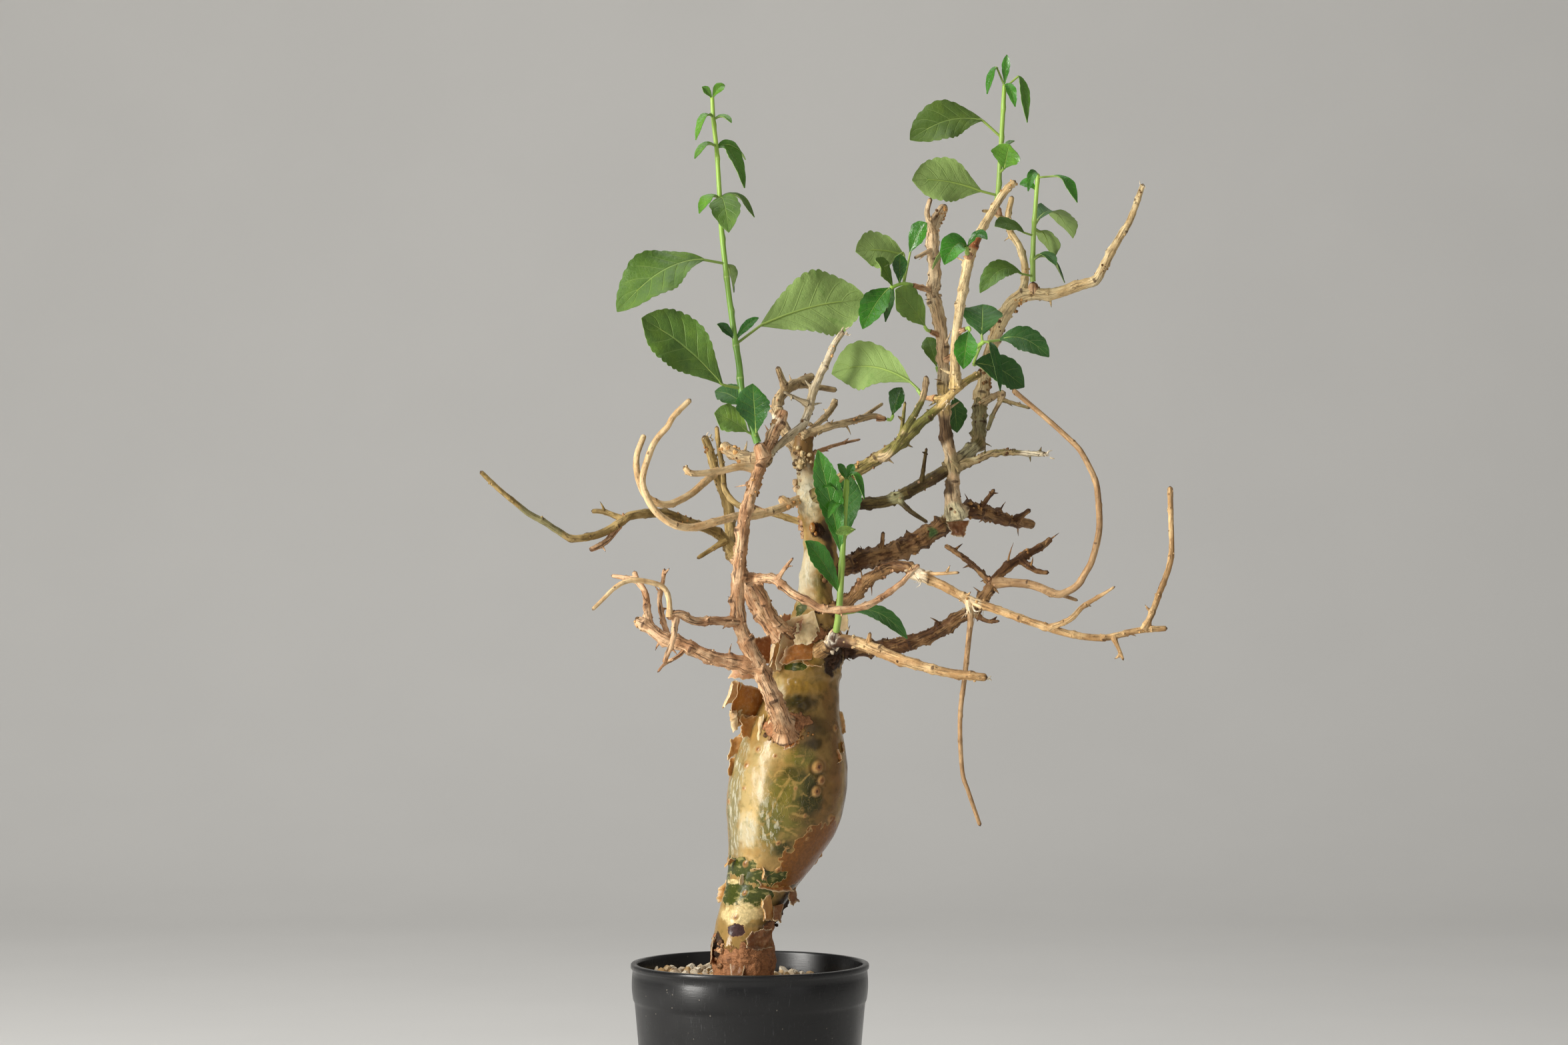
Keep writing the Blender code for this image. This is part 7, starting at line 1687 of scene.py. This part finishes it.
def add_stem(shell, route_points, radii, number, spacing, finish=1, foot=(132, 160, 74), head=(150, 176, 84)):
    """A round green stem with small nodes, from one green at its foot to another at its head."""
    route, thick, along = smooth_route(route_points, radii, 0.7 * MM)
    run = along / MM
    columns = 12
    angles = 2 * np.pi * np.arange(columns) / columns
    draw = random.Random(number)
    swell = np.zeros((len(run), columns))
    scar = np.zeros_like(swell)
    place = spacing * 0.6
    while spacing and place < run[-1] - 1:
        hump = np.exp(-((run - place) / 1.6) ** 2)[:, None]
        side = np.cos(angles - draw.uniform(0, 6))[None]
        swell = swell + 0.16 * hump * (1 + side)
        scar = np.maximum(scar, np.exp(-((run - place) / 0.45) ** 2)[:, None] * ease(side + 0.4))
        place += spacing * draw.uniform(0.75, 1.25)
    body = thick * round_end(along, thick)
    rings, _ = ring_points(route, body[:, None] * (1 + swell), columns)
    grain = np.empty(swell.shape + (3,))
    grain[..., 0] = thick[:, None] * np.cos(angles)
    grain[..., 1] = thick[:, None] * np.sin(angles)
    grain[..., 2] = along[:, None] + number * 0.11
    low, high = np.array(solid(srgb(*foot))), np.array(solid(srgb(*head)))
    tone = low + (high - low) * ease(run / run[-1])[:, None]
    shell.loft(rings, finish=finish, scar=scar, grain=grain, leaf_tone=tone)


def add_leaf(shell, number, leaf, kind, sizes):
    """One leaf: a stalk that runs on as the midrib, and a folded, veined blade with forward teeth."""
    start, foot, tip, half_width, arch, face = leaf
    start, tip = crown_point(*start), crown_point(*tip)
    blade_start = crown_point(*foot) if foot else start
    span = (tip - blade_start).length
    rows = max(14, int(span / sizes.row))
    shares = np.linspace(0, 1, rows)
    line = np.array([tuple(blade_start.lerp(tip, s)) for s in shares])
    line[:, 2] += arch * span * 4 * shares * (1 - shares)
    looks = np.array(Vector(face).normalized())
    ahead = np.gradient(line, axis=0)
    ahead /= np.linalg.norm(ahead, axis=1)[:, None]
    normal = looks - ahead * (ahead @ looks)[:, None]
    normal /= np.linalg.norm(normal, axis=1)[:, None]
    across = np.cross(ahead, normal)
    half_count = max(5, int(half_width / 0.7))
    lanes = np.linspace(-1, 1, 2 * half_count + 1)
    half = np.maximum(0.3, half_width * blade_profile(shares)) * MM
    teeth = max(4, int(span / MM / 3.4))
    rise = (shares * teeth) % 1.0
    bite = sizes.tooth * min(1.0, 5.5 / half_width + 0.25) * ease(shares / 0.35)
    tooth = 1 - bite * np.abs(2 * rise - 1) ** 2.2
    edge_pull = np.abs(lanes) ** 5
    wide = half[:, None] * lanes[None] * (1 + (tooth[:, None] - 1) * edge_pull[None])
    draw = random.Random(SEED * 13 + number)
    phase = draw.uniform(0, 6.28)
    fold = sizes.fold * (2.0 if kind in "dby" else 1.0)
    lift = fold * half[:, None] * np.abs(lanes)[None] ** 1.2
    wave = np.sin(shares[:, None] * (6 + half_width * 0.4) + phase + np.sign(lanes)[None] * 1.1)
    lift = lift + 0.15 * half[:, None] * wave * np.abs(lanes)[None] ** 2.5
    lift = lift - 0.1 * half[:, None] * np.clip(shares[:, None] - 0.6, 0, 1) * 2.5
    pairs = (shares[:, None] - 0.24 * np.abs(lanes)[None]) * 6.5
    quilt = np.abs((pairs % 1.0) - 0.5) * 2
    lift = lift - 0.022 * half[:, None] * (quilt ** 2) * np.clip(np.abs(lanes)[None] * 3, 0, 1)
    middle = line[:, None] + across[:, None] * wide[..., None] + normal[:, None] * lift[..., None]
    thick = sizes.blade / 2 * (1 - 0.45 * np.abs(lanes) ** 4)[None, :, None]
    upper = middle + normal[:, None] * thick
    lower = middle - normal[:, None] * thick
    rings = np.concatenate((upper, lower[:, ::-1]), axis=1)
    blade = np.empty(rings.shape)
    blade[..., 0] = np.concatenate((lanes, lanes[::-1]))
    blade[..., 1] = shares[:, None]
    up = -1.0 if kind == "u" else 1.0
    blade[..., 2] = np.concatenate((np.full(len(lanes), up), np.full(len(lanes), -up)))
    shade = draw.uniform(0.86, 1.14)
    tone = tuple(min(1.0, part * shade) for part in srgb(*LEAF_TONES[kind]))
    shell.loft(rings, cap="zip", finish=2 if kind in "dby" else 0, blade=blade, leaf_tone=solid(tone))
    rib_end = int(rows * 0.8)
    below = -up * sizes.blade * 0.55
    rib = line[1:rib_end:3] + normal[1:rib_end:3] * below
    route = [start] if foot else []
    route = [Vector(p) for p in route] + [Vector(p) for p in rib]
    stalk = 0.62 if half_width > 6 else 0.5
    if len(route) > 2:
        add_stem(shell, route, (stalk, stalk * 0.8, stalk * 0.45, 0.14), number, 0)


def make_shoot(name, number, sizes, finishes):
    root, spur_tip, _ = SPURS[name]
    radii, points = STEMS[name]
    seat = crown_point(*spur_tip)
    away = (seat - crown_point(*root)).normalized()
    route = [seat + away * 0.05 * MM, seat + away * 1.8 * MM] + [crown_point(*point) for point in points]
    shell = Shell({"blade": 3, "leaf_tone": 4, "scar": 1, "grain": 3})
    foot = (96, 140, 60) if name == "shoot_left" else (140, 172, 84)
    add_stem(shell, route, radii, number, 17.0, foot=foot, head=(150, 188, 78))
    for order, leaf in enumerate(LEAVES[name]):
        add_leaf(shell, number * 20 + order, leaf, LEAF_KINDS[name][order], sizes)
    slot = "leaf_glossy" if name in GLOSSY else "leaf"
    return shell.build(name + "_grown", [finishes["leaf"], finishes["stem"], finishes["leaf_glossy"]], name, slot, 60)


# Pot and gravel

def pot_profile(sizes):
    """The pot's section from the middle of its inner floor, up, over the lip and down to its underside."""
    rim, top, base = sizes.rim_radius / MM, sizes.height / MM, sizes.base_radius / MM
    wall, step = sizes.wall / MM, sizes.collar_step / MM
    collar_foot = top - sizes.collar_height / MM
    lip = top - sizes.lip_height / MM
    inner = rim - step - wall
    floor = sizes.floor / MM
    points = [(0, floor), (base - wall - 2.2, floor), (base - wall - 0.6, floor + 0.5), (base - wall, floor + 2)]
    for share in (0.25, 0.5, 0.75):
        points.append((base - wall + (inner - base + wall) * share, floor + 2 + (top - 4 - floor) * share))
    points += [(inner, top - 1.2), (inner + 0.12, top - 0.5), (inner + 0.5, top - 0.05), (inner + 0.9, top),
               (rim - 0.9, top), (rim - 0.35, top - 0.12), (rim - 0.08, top - 0.4), (rim, top - 0.8),
               (rim, lip + 0.5), (rim - 0.15, lip + 0.15), (rim - 0.5, lip - 0.2), (rim - 0.8, lip - 0.8)]
    for share in (0.2, 0.4, 0.6, 0.8):
        bulge = 0.45 * math.sin(math.pi * share)
        points.append((rim - 0.8 + bulge - 0.1 * share, lip - 0.8 - (lip - 0.8 - collar_foot - 1.5) * share))
    points += [(rim - 0.95, collar_foot + 1.5), (rim - 1.15, collar_foot + 0.7), (rim - step - 0.4, collar_foot + 0.1),
               (rim - step - 0.6, collar_foot - 0.6), (rim - step - 0.7, collar_foot - 1.6)]
    for share in (0.2, 0.4, 0.6, 0.8):
        low = rim - step - 0.7
        points.append((low + (base + 0.6 - low) * share, collar_foot - 1.6 - (collar_foot - 4.6) * share))
    points += [(base + 0.6, 3.0), (base + 0.35, 1.4), (base - 0.3, 0.4), (base - 1.2, 0), (0, 0)]
    return points


def make_pot(sizes):
    """Turn the pot and cut its drain holes."""
    profile = pot_profile(sizes)
    turned = bmesh.new()
    ring = [turned.verts.new((radius * MM, 0, height * MM)) for radius, height in profile]
    for first, second in zip(ring, ring[1:]):
        turned.edges.new((first, second))
    mesh = bpy.data.meshes.new("pot_turned")
    turned.to_mesh(mesh)
    turned.free()
    pot = bpy.data.objects.new("pot_turned", mesh)
    bpy.context.scene.collection.objects.link(pot)
    screw = pot.modifiers.new("Turn", "SCREW")
    screw.steps = screw.render_steps = sizes.steps
    screw.use_merge_vertices = True
    screw.merge_threshold = 0.00001
    drills = []
    for number in range(6):
        angle = 2 * math.pi * (number + 0.35) / 6
        hole = bmesh.new()
        bmesh.ops.create_cone(hole, cap_ends=True, segments=28, radius1=4 * MM, radius2=4 * MM, depth=9 * MM)
        bmesh.ops.translate(hole, verts=hole.verts, vec=(25 * math.cos(angle) * MM, 25 * math.sin(angle) * MM, 0))
        cutter_mesh = bpy.data.meshes.new("drill")
        hole.to_mesh(cutter_mesh)
        hole.free()
        drill = bpy.data.objects.new("drill", cutter_mesh)
        bpy.context.scene.collection.objects.link(drill)
        cut = pot.modifiers.new("Drain", "BOOLEAN")
        cut.operation = "DIFFERENCE"
        cut.object = drill
        drills.append(drill)
    finish_modifiers(pot)
    for drill in drills:
        bpy.data.objects.remove(drill, do_unlink=True)
    pot.data.materials.clear()
    pot.data.materials.append(plastic_finish(sizes))
    pot.data.shade_smooth()
    pot.data.set_sharp_from_angle(angle=math.radians(38))
    return place_piece(pot, "pot")


def finish_modifiers(piece):
    """Turn the piece's modifiers into its mesh, with its normals outward."""
    bpy.context.view_layer.update()
    mesh = bpy.data.meshes.new_from_object(piece.evaluated_get(bpy.context.evaluated_depsgraph_get()))
    piece.modifiers.clear()
    piece.data = mesh
    tidy = bmesh.new()
    tidy.from_mesh(mesh)
    bmesh.ops.remove_doubles(tidy, verts=tidy.verts, dist=0.000001)
    bmesh.ops.recalc_face_normals(tidy, faces=tidy.faces)
    tidy.to_mesh(mesh)
    tidy.free()


def make_grain_shapes():
    """Six angular grains of pumice, a millimetre across."""
    shapes = bpy.data.collections.new("grain_shapes")
    draw = random.Random(SEED)
    for number in range(6):
        grain = bmesh.new()
        squash = Vector((draw.uniform(0.8, 1.15), draw.uniform(0.7, 1.0), draw.uniform(0.6, 0.85)))
        for _ in range(24):
            point = Vector([draw.gauss(0, 1) for _ in range(3)]).normalized() * draw.uniform(0.42, 0.52)
            grain.verts.new([a * b * MM for a, b in zip(point, squash)])
        bmesh.ops.convex_hull(grain, input=grain.verts)
        loose = [vert for vert in grain.verts if not vert.link_faces]
        bmesh.ops.delete(grain, geom=loose, context="VERTS")
        mesh = bpy.data.meshes.new(f"grain_{number}")
        grain.to_mesh(mesh)
        grain.free()
        shapes.objects.link(bpy.data.objects.new(f"grain_{number}", mesh))
    return shapes


def grain_tree(shapes, finish):
    """Geometry nodes that scatter grains over a bed."""
    tree = bpy.data.node_groups.new("Scatter grains", "GeometryNodeTree")
    tree.interface.new_socket("Geometry", in_out="OUTPUT", socket_type="NodeSocketGeometry")
    tree.interface.new_socket("Bed", in_out="INPUT", socket_type="NodeSocketGeometry")
    for label, kind in (("Gap", "NodeSocketFloat"), ("Grain size", "NodeSocketFloat"), ("Seed", "NodeSocketInt")):
        tree.interface.new_socket(label, in_out="INPUT", socket_type=kind)
    given, made = tree.nodes.new("NodeGroupInput").outputs, tree.nodes.new("NodeGroupOutput").inputs
    spots = put(tree, "GeometryNodeDistributePointsOnFaces",
                {"Mesh": given["Bed"], "Distance Min": given["Gap"], "Density Max": 300000.0,
                 "Seed": given["Seed"]}, distribute_method="POISSON")
    grains = put(tree, "GeometryNodeCollectionInfo", {"Collection": shapes, "Separate Children": True,
                                                      "Reset Children": True})
    turn = put(tree, "FunctionNodeRandomValue", {"Max": (6.283, 6.283, 6.283), "Seed": given["Seed"]},
               data_type="FLOAT_VECTOR")
    size = put(tree, "FunctionNodeRandomValue", {2: 620.0, 3: 1150.0, "Seed": 5}, data_type="FLOAT")
    scale = put(tree, "ShaderNodeMath", {0: size.outputs[1], 1: given["Grain size"]}, operation="MULTIPLY")
    laid = put(tree, "GeometryNodeInstanceOnPoints",
               {"Points": spots.outputs["Points"], "Instance": grains.outputs[0], "Pick Instance": True,
                "Rotation": turn.outputs[0], "Scale": scale.outputs[0]})
    tone = put(tree, "FunctionNodeRandomValue", {2: 0.0, 3: 1.0, "Seed": 9}, data_type="FLOAT")
    named = put(tree, "GeometryNodeStoreNamedAttribute",
                {"Geometry": laid.outputs[0], "Name": "grain_tone", "Value": tone.outputs[1]},
                data_type="FLOAT", domain="INSTANCE")
    real = put(tree, "GeometryNodeRealizeInstances", {"Geometry": named.outputs[0]})
    ready = put(tree, "GeometryNodeSetMaterial", {"Geometry": real.outputs[0], "Material": finish})
    tree.links.new(ready.outputs[0], made["Geometry"])
    return tree


def bed_height(x, y, sizes):
    heap = 4.6 * (0.45 * y - 0.9 * x) / 52.5
    return sizes.top / MM - 1.6 + heap * 0.8 + 0.8 * noise.noise(Vector((x / 9, y / 9, 2.0)))


def make_gravel(sizes):
    """A solid bed of fines with grains scattered over it."""
    shell = Shell({})
    columns = 96
    angles = 2 * np.pi * np.arange(columns) / columns
    rings = []
    for radius, low in ((40.0, 3.6), (48.2, 100.0)):
        rings.append([(radius * math.cos(a) * MM, radius * math.sin(a) * MM, low * MM) for a in angles])
    for radius in np.linspace(48.2, 9.0, 24):
        line = []
        for a in angles:
            x, y = radius * math.cos(a) - 2.6 * (48.2 - radius) / 39.2, radius * math.sin(a)
            line.append((x * MM, y * MM, bed_height(x, y, sizes) * MM))
        rings.append(line)
    shell.loft(rings)
    bed = shell.build("gravel_bed", [fines_finish(sizes)], "soil", "pumice", 50)
    flat = bmesh.new()
    inner = [flat.verts.new((v[0], v[1], v[2] + 1.2 * MM)) for v in rings[-4]]
    outer = [flat.verts.new((v[0] * 0.985, v[1] * 0.985, v[2] + 1.2 * MM)) for v in rings[3]]
    lines = [inner]
    for share in (0.25, 0.5, 0.75):
        line = []
        for a, b in zip(inner, outer):
            at = a.co.lerp(b.co, share)
            at.z = (bed_height(at.x / MM, at.y / MM, sizes) + 1.2) * MM
            line.append(flat.verts.new(at))
        lines.append(line)
    lines.append(outer)
    for low, high in zip(lines, lines[1:]):
        for k in range(columns):
            flat.faces.new((low[k], low[(k + 1) % columns], high[(k + 1) % columns], high[k]))
    mesh = bpy.data.meshes.new("gravel_grains")
    flat.to_mesh(mesh)
    flat.free()
    grains = bpy.data.objects.new("gravel_grains", mesh)
    bpy.context.scene.collection.objects.link(grains)
    tree = grain_tree(make_grain_shapes(), pumice_finish(sizes))
    scatter = grains.modifiers.new("Scatter", "NODES")
    scatter.node_group = tree
    inputs = {item.name: item.identifier for item in tree.interface.items_tree if item.in_out == "INPUT"}
    scatter[inputs["Gap"]] = sizes.gap
    scatter[inputs["Grain size"]] = sizes.grain
    scatter[inputs["Seed"]] = SEED
    finish_modifiers(grains)
    grains.data.set_sharp_from_angle(angle=math.radians(25))
    place_piece(grains, "soil")
    return bed


# Resin drops: x, y, height, radii
DROPS = ((27.4, -8.3, 303.5, 1.3, 1.9), (79, 5.0, 254.5, 1.2, 1.1), (28.9, -8.1, 301.0, 0.7, 0.8))


def make_resin():
    shell = Shell({})
    for x, y, height, wide, tall in DROPS:
        rings = []
        for row in range(1, 14):
            turn = math.pi * row / 14
            rings.append([((x + wide * math.sin(turn) * math.cos(a)) * MM,
                           (y + wide * math.sin(turn) * math.sin(a)) * MM,
                           (height + tall * math.cos(turn) * (1 if row > 7 else 1.4)) * MM)
                          for a in np.arange(18) * 2 * math.pi / 18])
        shell.loft(rings)
    return shell.build("resin_drops", [resin_finish()], "trunk", "bark")


def make_stage(sizes):
    """Floor and backdrop in one sweep, soft lights and the camera of the photo."""
    sweep = bmesh.new()
    line = [(-3.0, 0.0), (1.3, 0.0)]
    line += [(1.3 + 0.9 * math.sin(a), 0.9 - 0.9 * math.cos(a)) for a in np.linspace(0, math.pi / 2, 16)[1:]]
    line += [(2.2, 3.6)]
    lanes = [[sweep.verts.new((x, y, z)) for y, z in line] for x in (-4.0, 4.0)]
    for k in range(len(line) - 1):
        sweep.faces.new((lanes[0][k], lanes[1][k], lanes[1][k + 1], lanes[0][k + 1]))
    mesh = bpy.data.meshes.new("backdrop")
    sweep.to_mesh(mesh)
    sweep.free()
    mesh.shade_smooth()
    mesh.materials.append(paper_finish(sizes))
    backdrop = bpy.data.objects.new("backdrop", mesh)
    bpy.context.scene.collection.objects.link(backdrop)
    aim = Vector((0.02, 0, 0.25))
    for name, place, size, power, warmth in (
            ("window", (-1.25, -0.85, 0.56), (0.5, 1.0), 33.0, (1.0, 0.98, 0.94)),
            ("fill", (1.3, -1.6, 0.6), (1.4, 1.4), 3.2, (1.0, 0.98, 0.96)),
            ("top", (-0.2, 0.2, 1.6), (1.2, 1.2), 8.5, (1.0, 1.0, 1.0))):
        light = bpy.data.lights.new(name, "AREA")
        light.shape = "RECTANGLE"
        light.size, light.size_y = size
        light.energy = power
        light.color = warmth
        lamp = bpy.data.objects.new(name, light)
        lamp.location = place
        lamp.rotation_euler = (aim - Vector(place)).to_track_quat("-Z", "Y").to_euler()
        bpy.context.scene.collection.objects.link(lamp)
    world = bpy.context.scene.world or bpy.data.worlds.new("studio")
    bpy.context.scene.world = world
    world.use_nodes = True
    sky = world.node_tree.nodes["Background"]
    sky.inputs[0].default_value = (1.0, 0.98, 0.95, 1.0)
    sky.inputs[1].default_value = 0.25
    bpy.context.scene.view_settings.view_transform = "Standard"
    camera = bpy.data.cameras.new("camera")
    camera.lens = sizes.lens
    camera.sensor_width = 36
    camera.clip_end = 20
    viewer = bpy.data.objects.new("camera", camera)
    viewer.location = (sizes.side, -sizes.distance, sizes.height)
    viewer.rotation_euler = (math.pi / 2, 0, 0)
    bpy.context.scene.collection.objects.link(viewer)
    bpy.context.scene.camera = viewer


class COMMIPHORA_OT_stage(bpy.types.Operator):
    """Set up the camera, floor, backdrop and lights"""
    bl_idname = "commiphora.stage"
    bl_label = "Stage"

    def execute(self, context):
        make_stage(context.scene.commiphora_stage)
        return {"FINISHED"}


class COMMIPHORA_OT_pot(bpy.types.Operator):
    """Turn the black nursery pot"""
    bl_idname = "commiphora.pot"
    bl_label = "Pot"

    def execute(self, context):
        make_pot(context.scene.commiphora_pot)
        return {"FINISHED"}


class COMMIPHORA_OT_gravel(bpy.types.Operator):
    """Fill the pot with pumice gravel"""
    bl_idname = "commiphora.gravel"
    bl_label = "Gravel"

    def execute(self, context):
        make_gravel(context.scene.commiphora_gravel)
        return {"FINISHED"}


class COMMIPHORA_OT_trunk(bpy.types.Operator):
    """Grow the swollen trunk with its peeling bark and resin"""
    bl_idname = "commiphora.trunk"
    bl_label = "Trunk"

    def execute(self, context):
        wood = context.scene.commiphora_wood
        make_trunk_skin(wood)
        make_bark_sheets(wood)
        make_resin()
        return {"FINISHED"}


class COMMIPHORA_OT_twigs(bpy.types.Operator):
    """Grow the woody twigs, thorns and spurs"""
    bl_idname = "commiphora.twigs"
    bl_label = "Twigs"

    def execute(self, context):
        make_twigs(context.scene.commiphora_wood)
        return {"FINISHED"}


class COMMIPHORA_OT_shoots(bpy.types.Operator):
    """Grow the green shoots and their leaves"""
    bl_idname = "commiphora.shoots"
    bl_label = "Shoots"

    def execute(self, context):
        sizes = context.scene.commiphora_leaf
        finishes = {"leaf": leaf_finish("leaf_matt", sizes, 0.42), "stem": stem_finish(sizes),
                    "leaf_glossy": leaf_finish("leaf_glossy", sizes, 0.2)}
        for number, name in enumerate(STEMS):
            make_shoot(name, number, sizes, finishes)
        return {"FINISHED"}


STEPS = (COMMIPHORA_OT_stage, COMMIPHORA_OT_pot, COMMIPHORA_OT_gravel, COMMIPHORA_OT_trunk, COMMIPHORA_OT_twigs,
         COMMIPHORA_OT_shoots)


class COMMIPHORA_PT_panel(bpy.types.Panel):
    """Steps and sizes of the potted commiphora"""
    bl_label = "Potted commiphora"
    bl_idname = "COMMIPHORA_PT_panel"
    bl_space_type = "VIEW_3D"
    bl_region_type = "UI"
    bl_category = "Commiphora"

    def draw(self, context):
        for step in STEPS:
            self.layout.operator(step.bl_idname)
        for name, group in SETTINGS.items():
            box = self.layout.box()
            box.label(text=group.__doc__)
            for key in group.__annotations__:
                box.prop(getattr(context.scene, name), key)


def register():
    for group in SETTINGS.values():
        bpy.utils.register_class(group)
    for step in STEPS:
        bpy.utils.register_class(step)
    bpy.utils.register_class(COMMIPHORA_PT_panel)
    for name, group in SETTINGS.items():
        setattr(bpy.types.Scene, name, PointerProperty(type=group))


def unregister():
    for name in SETTINGS:
        delattr(bpy.types.Scene, name)
    bpy.utils.unregister_class(COMMIPHORA_PT_panel)
    for step in reversed(STEPS):
        bpy.utils.unregister_class(step)
    for group in SETTINGS.values():
        bpy.utils.unregister_class(group)


def main():
    register()
    make_groups()
    scales_group()
    for step in STEPS:
        area, name = step.bl_idname.split(".")
        getattr(getattr(bpy.ops, area), name)()


if __name__ == "__main__":
    main()
